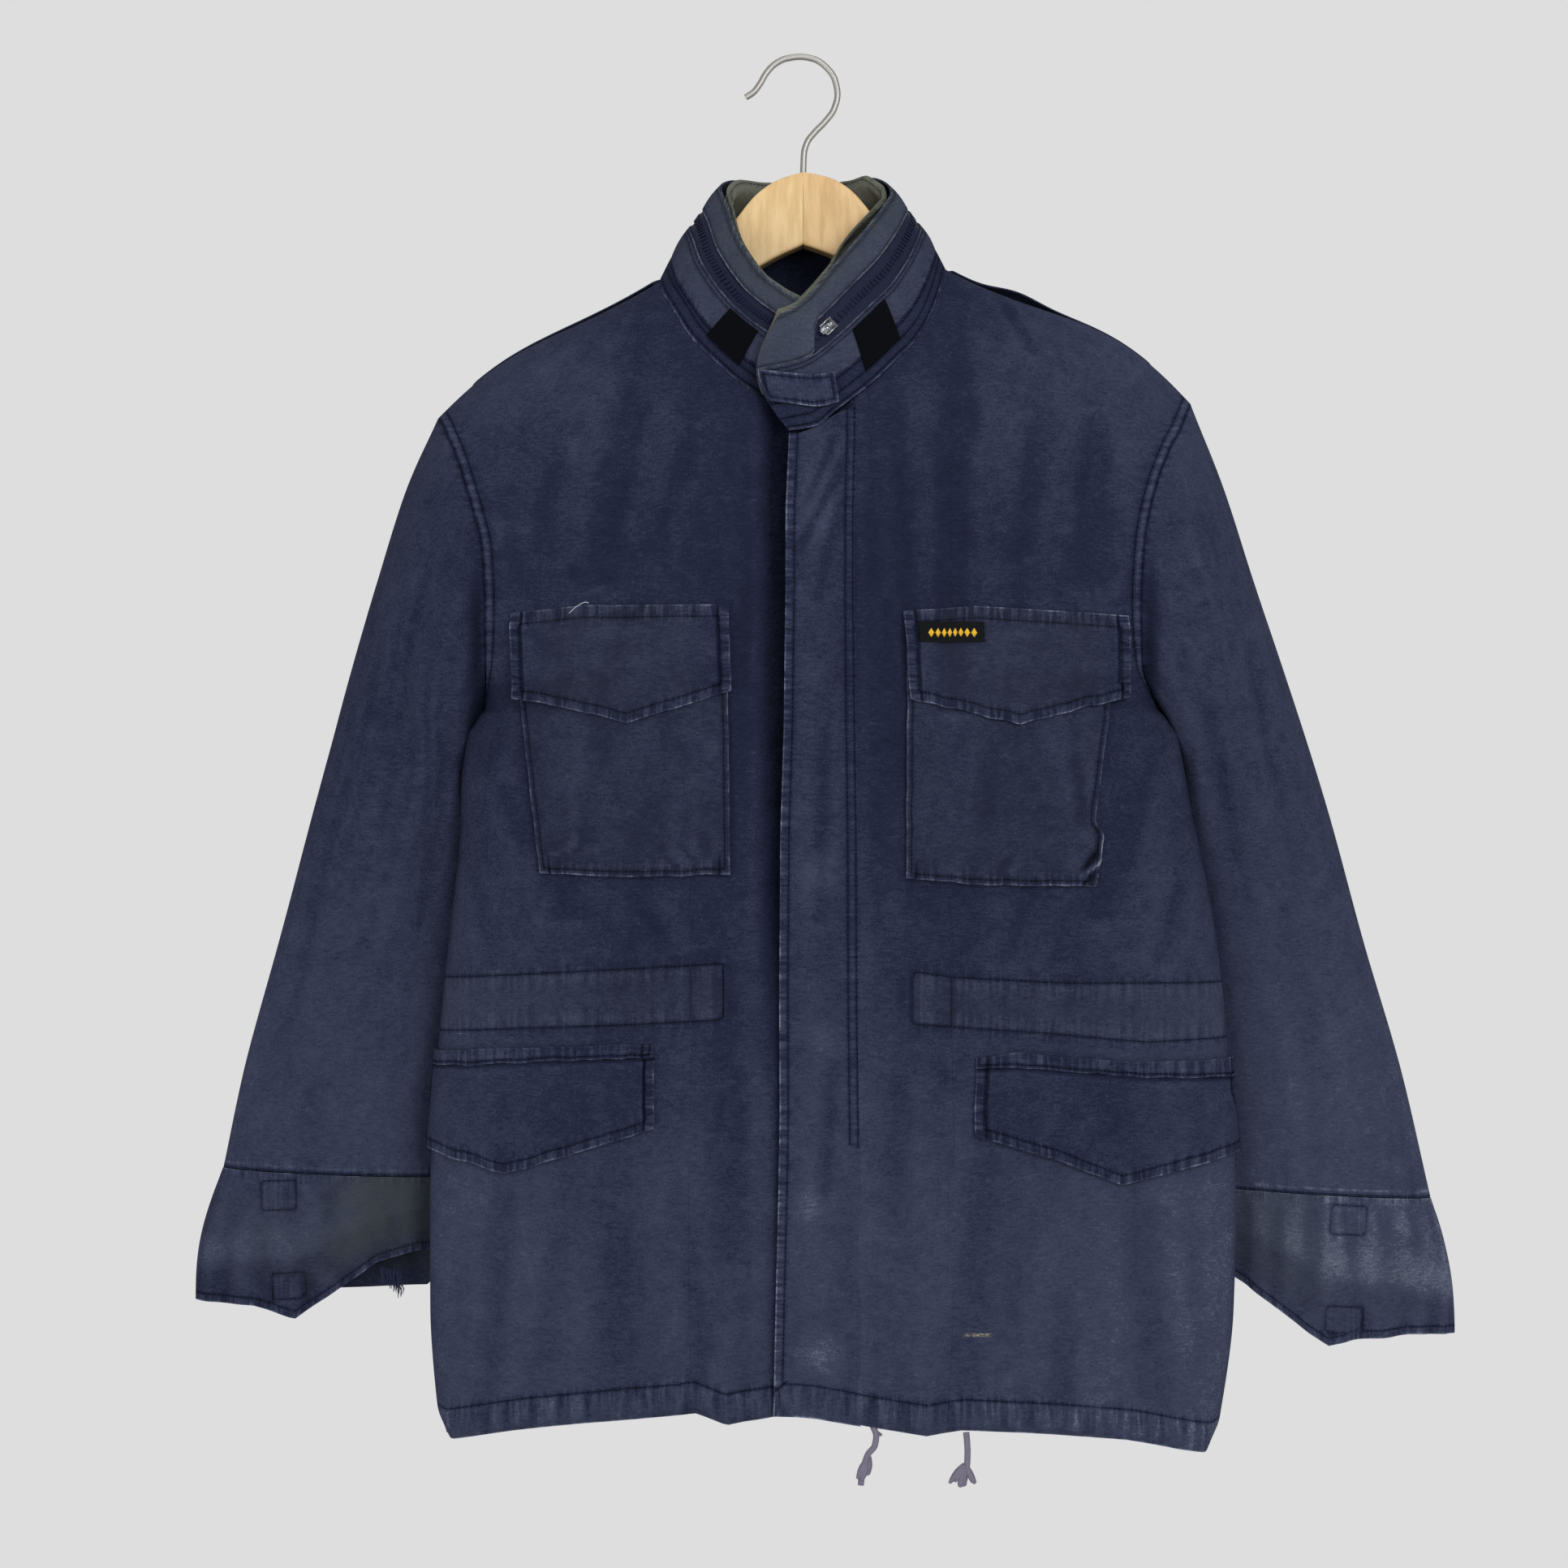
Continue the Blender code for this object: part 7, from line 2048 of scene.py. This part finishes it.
class JACKET_OT_collar(bpy.types.Operator):
    """Neck band, collar, hood zip, tab and patches"""
    bl_idname = "jacket.collar"
    bl_label = "Collar"

    def execute(self, context):
        slit = build_collar(MATERIALS["navy"], MATERIALS["grey"], MATERIALS["tape"])
        build_zip(*slit, MATERIALS["tape"], MATERIALS["metal"])
        build_collar_trim(MATERIALS["navy"], MATERIALS["black"])
        return {"FINISHED"}


class JACKET_OT_pockets(bpy.types.Operator):
    """Pockets, flaps, label and shoulder straps"""
    bl_idname = "jacket.pockets"
    bl_label = "Pockets"

    def execute(self, context):
        build_pockets(MATERIALS["navy"], MATERIALS["woven"], MATERIALS["yellow"])
        build_straps(MATERIALS["navy"])
        return {"FINISHED"}


class JACKET_OT_cords(bpy.types.Operator):
    """Drawcord ends at the hem"""
    bl_idname = "jacket.cords"
    bl_label = "Drawcords"

    def execute(self, context):
        build_cords(MATERIALS["cord"])
        return {"FINISHED"}


class JACKET_PT_panel(bpy.types.Panel):
    """Jacket's pieces"""
    bl_idname = "JACKET_PT_panel"
    bl_label = "Work jacket"
    bl_space_type = "VIEW_3D"
    bl_region_type = "UI"
    bl_category = "Jacket"

    def draw(self, context):
        for group in ("jacket_colours", "jacket_stage"):
            values = getattr(context.scene, group)
            for key in values.bl_rna.properties.keys():
                if key not in {"rna_type", "name"}:
                    self.layout.prop(values, key)
        for operator in OPERATORS:
            self.layout.operator(operator.bl_idname)


OPERATORS = (JACKET_OT_stage, JACKET_OT_materials, JACKET_OT_cords, JACKET_OT_hanger,
             JACKET_OT_body, JACKET_OT_sleeves, JACKET_OT_collar, JACKET_OT_pockets)
CLASSES = (JacketColours, StageSettings, *OPERATORS, JACKET_PT_panel)


def register():
    """Add the classes and the settings."""
    for known in CLASSES:
        bpy.utils.register_class(known)
    bpy.types.Scene.jacket_colours = bpy.props.PointerProperty(type=JacketColours)
    bpy.types.Scene.jacket_stage = bpy.props.PointerProperty(type=StageSettings)


def unregister():
    """Take the settings and the classes away."""
    del bpy.types.Scene.jacket_colours
    del bpy.types.Scene.jacket_stage
    for known in reversed(CLASSES):
        bpy.utils.unregister_class(known)


def main():
    """Build everything."""
    register()
    for operator in OPERATORS:
        group, name = operator.bl_idname.split(".")
        getattr(getattr(bpy.ops, group), name)()


if __name__ == "__main__":
    main()
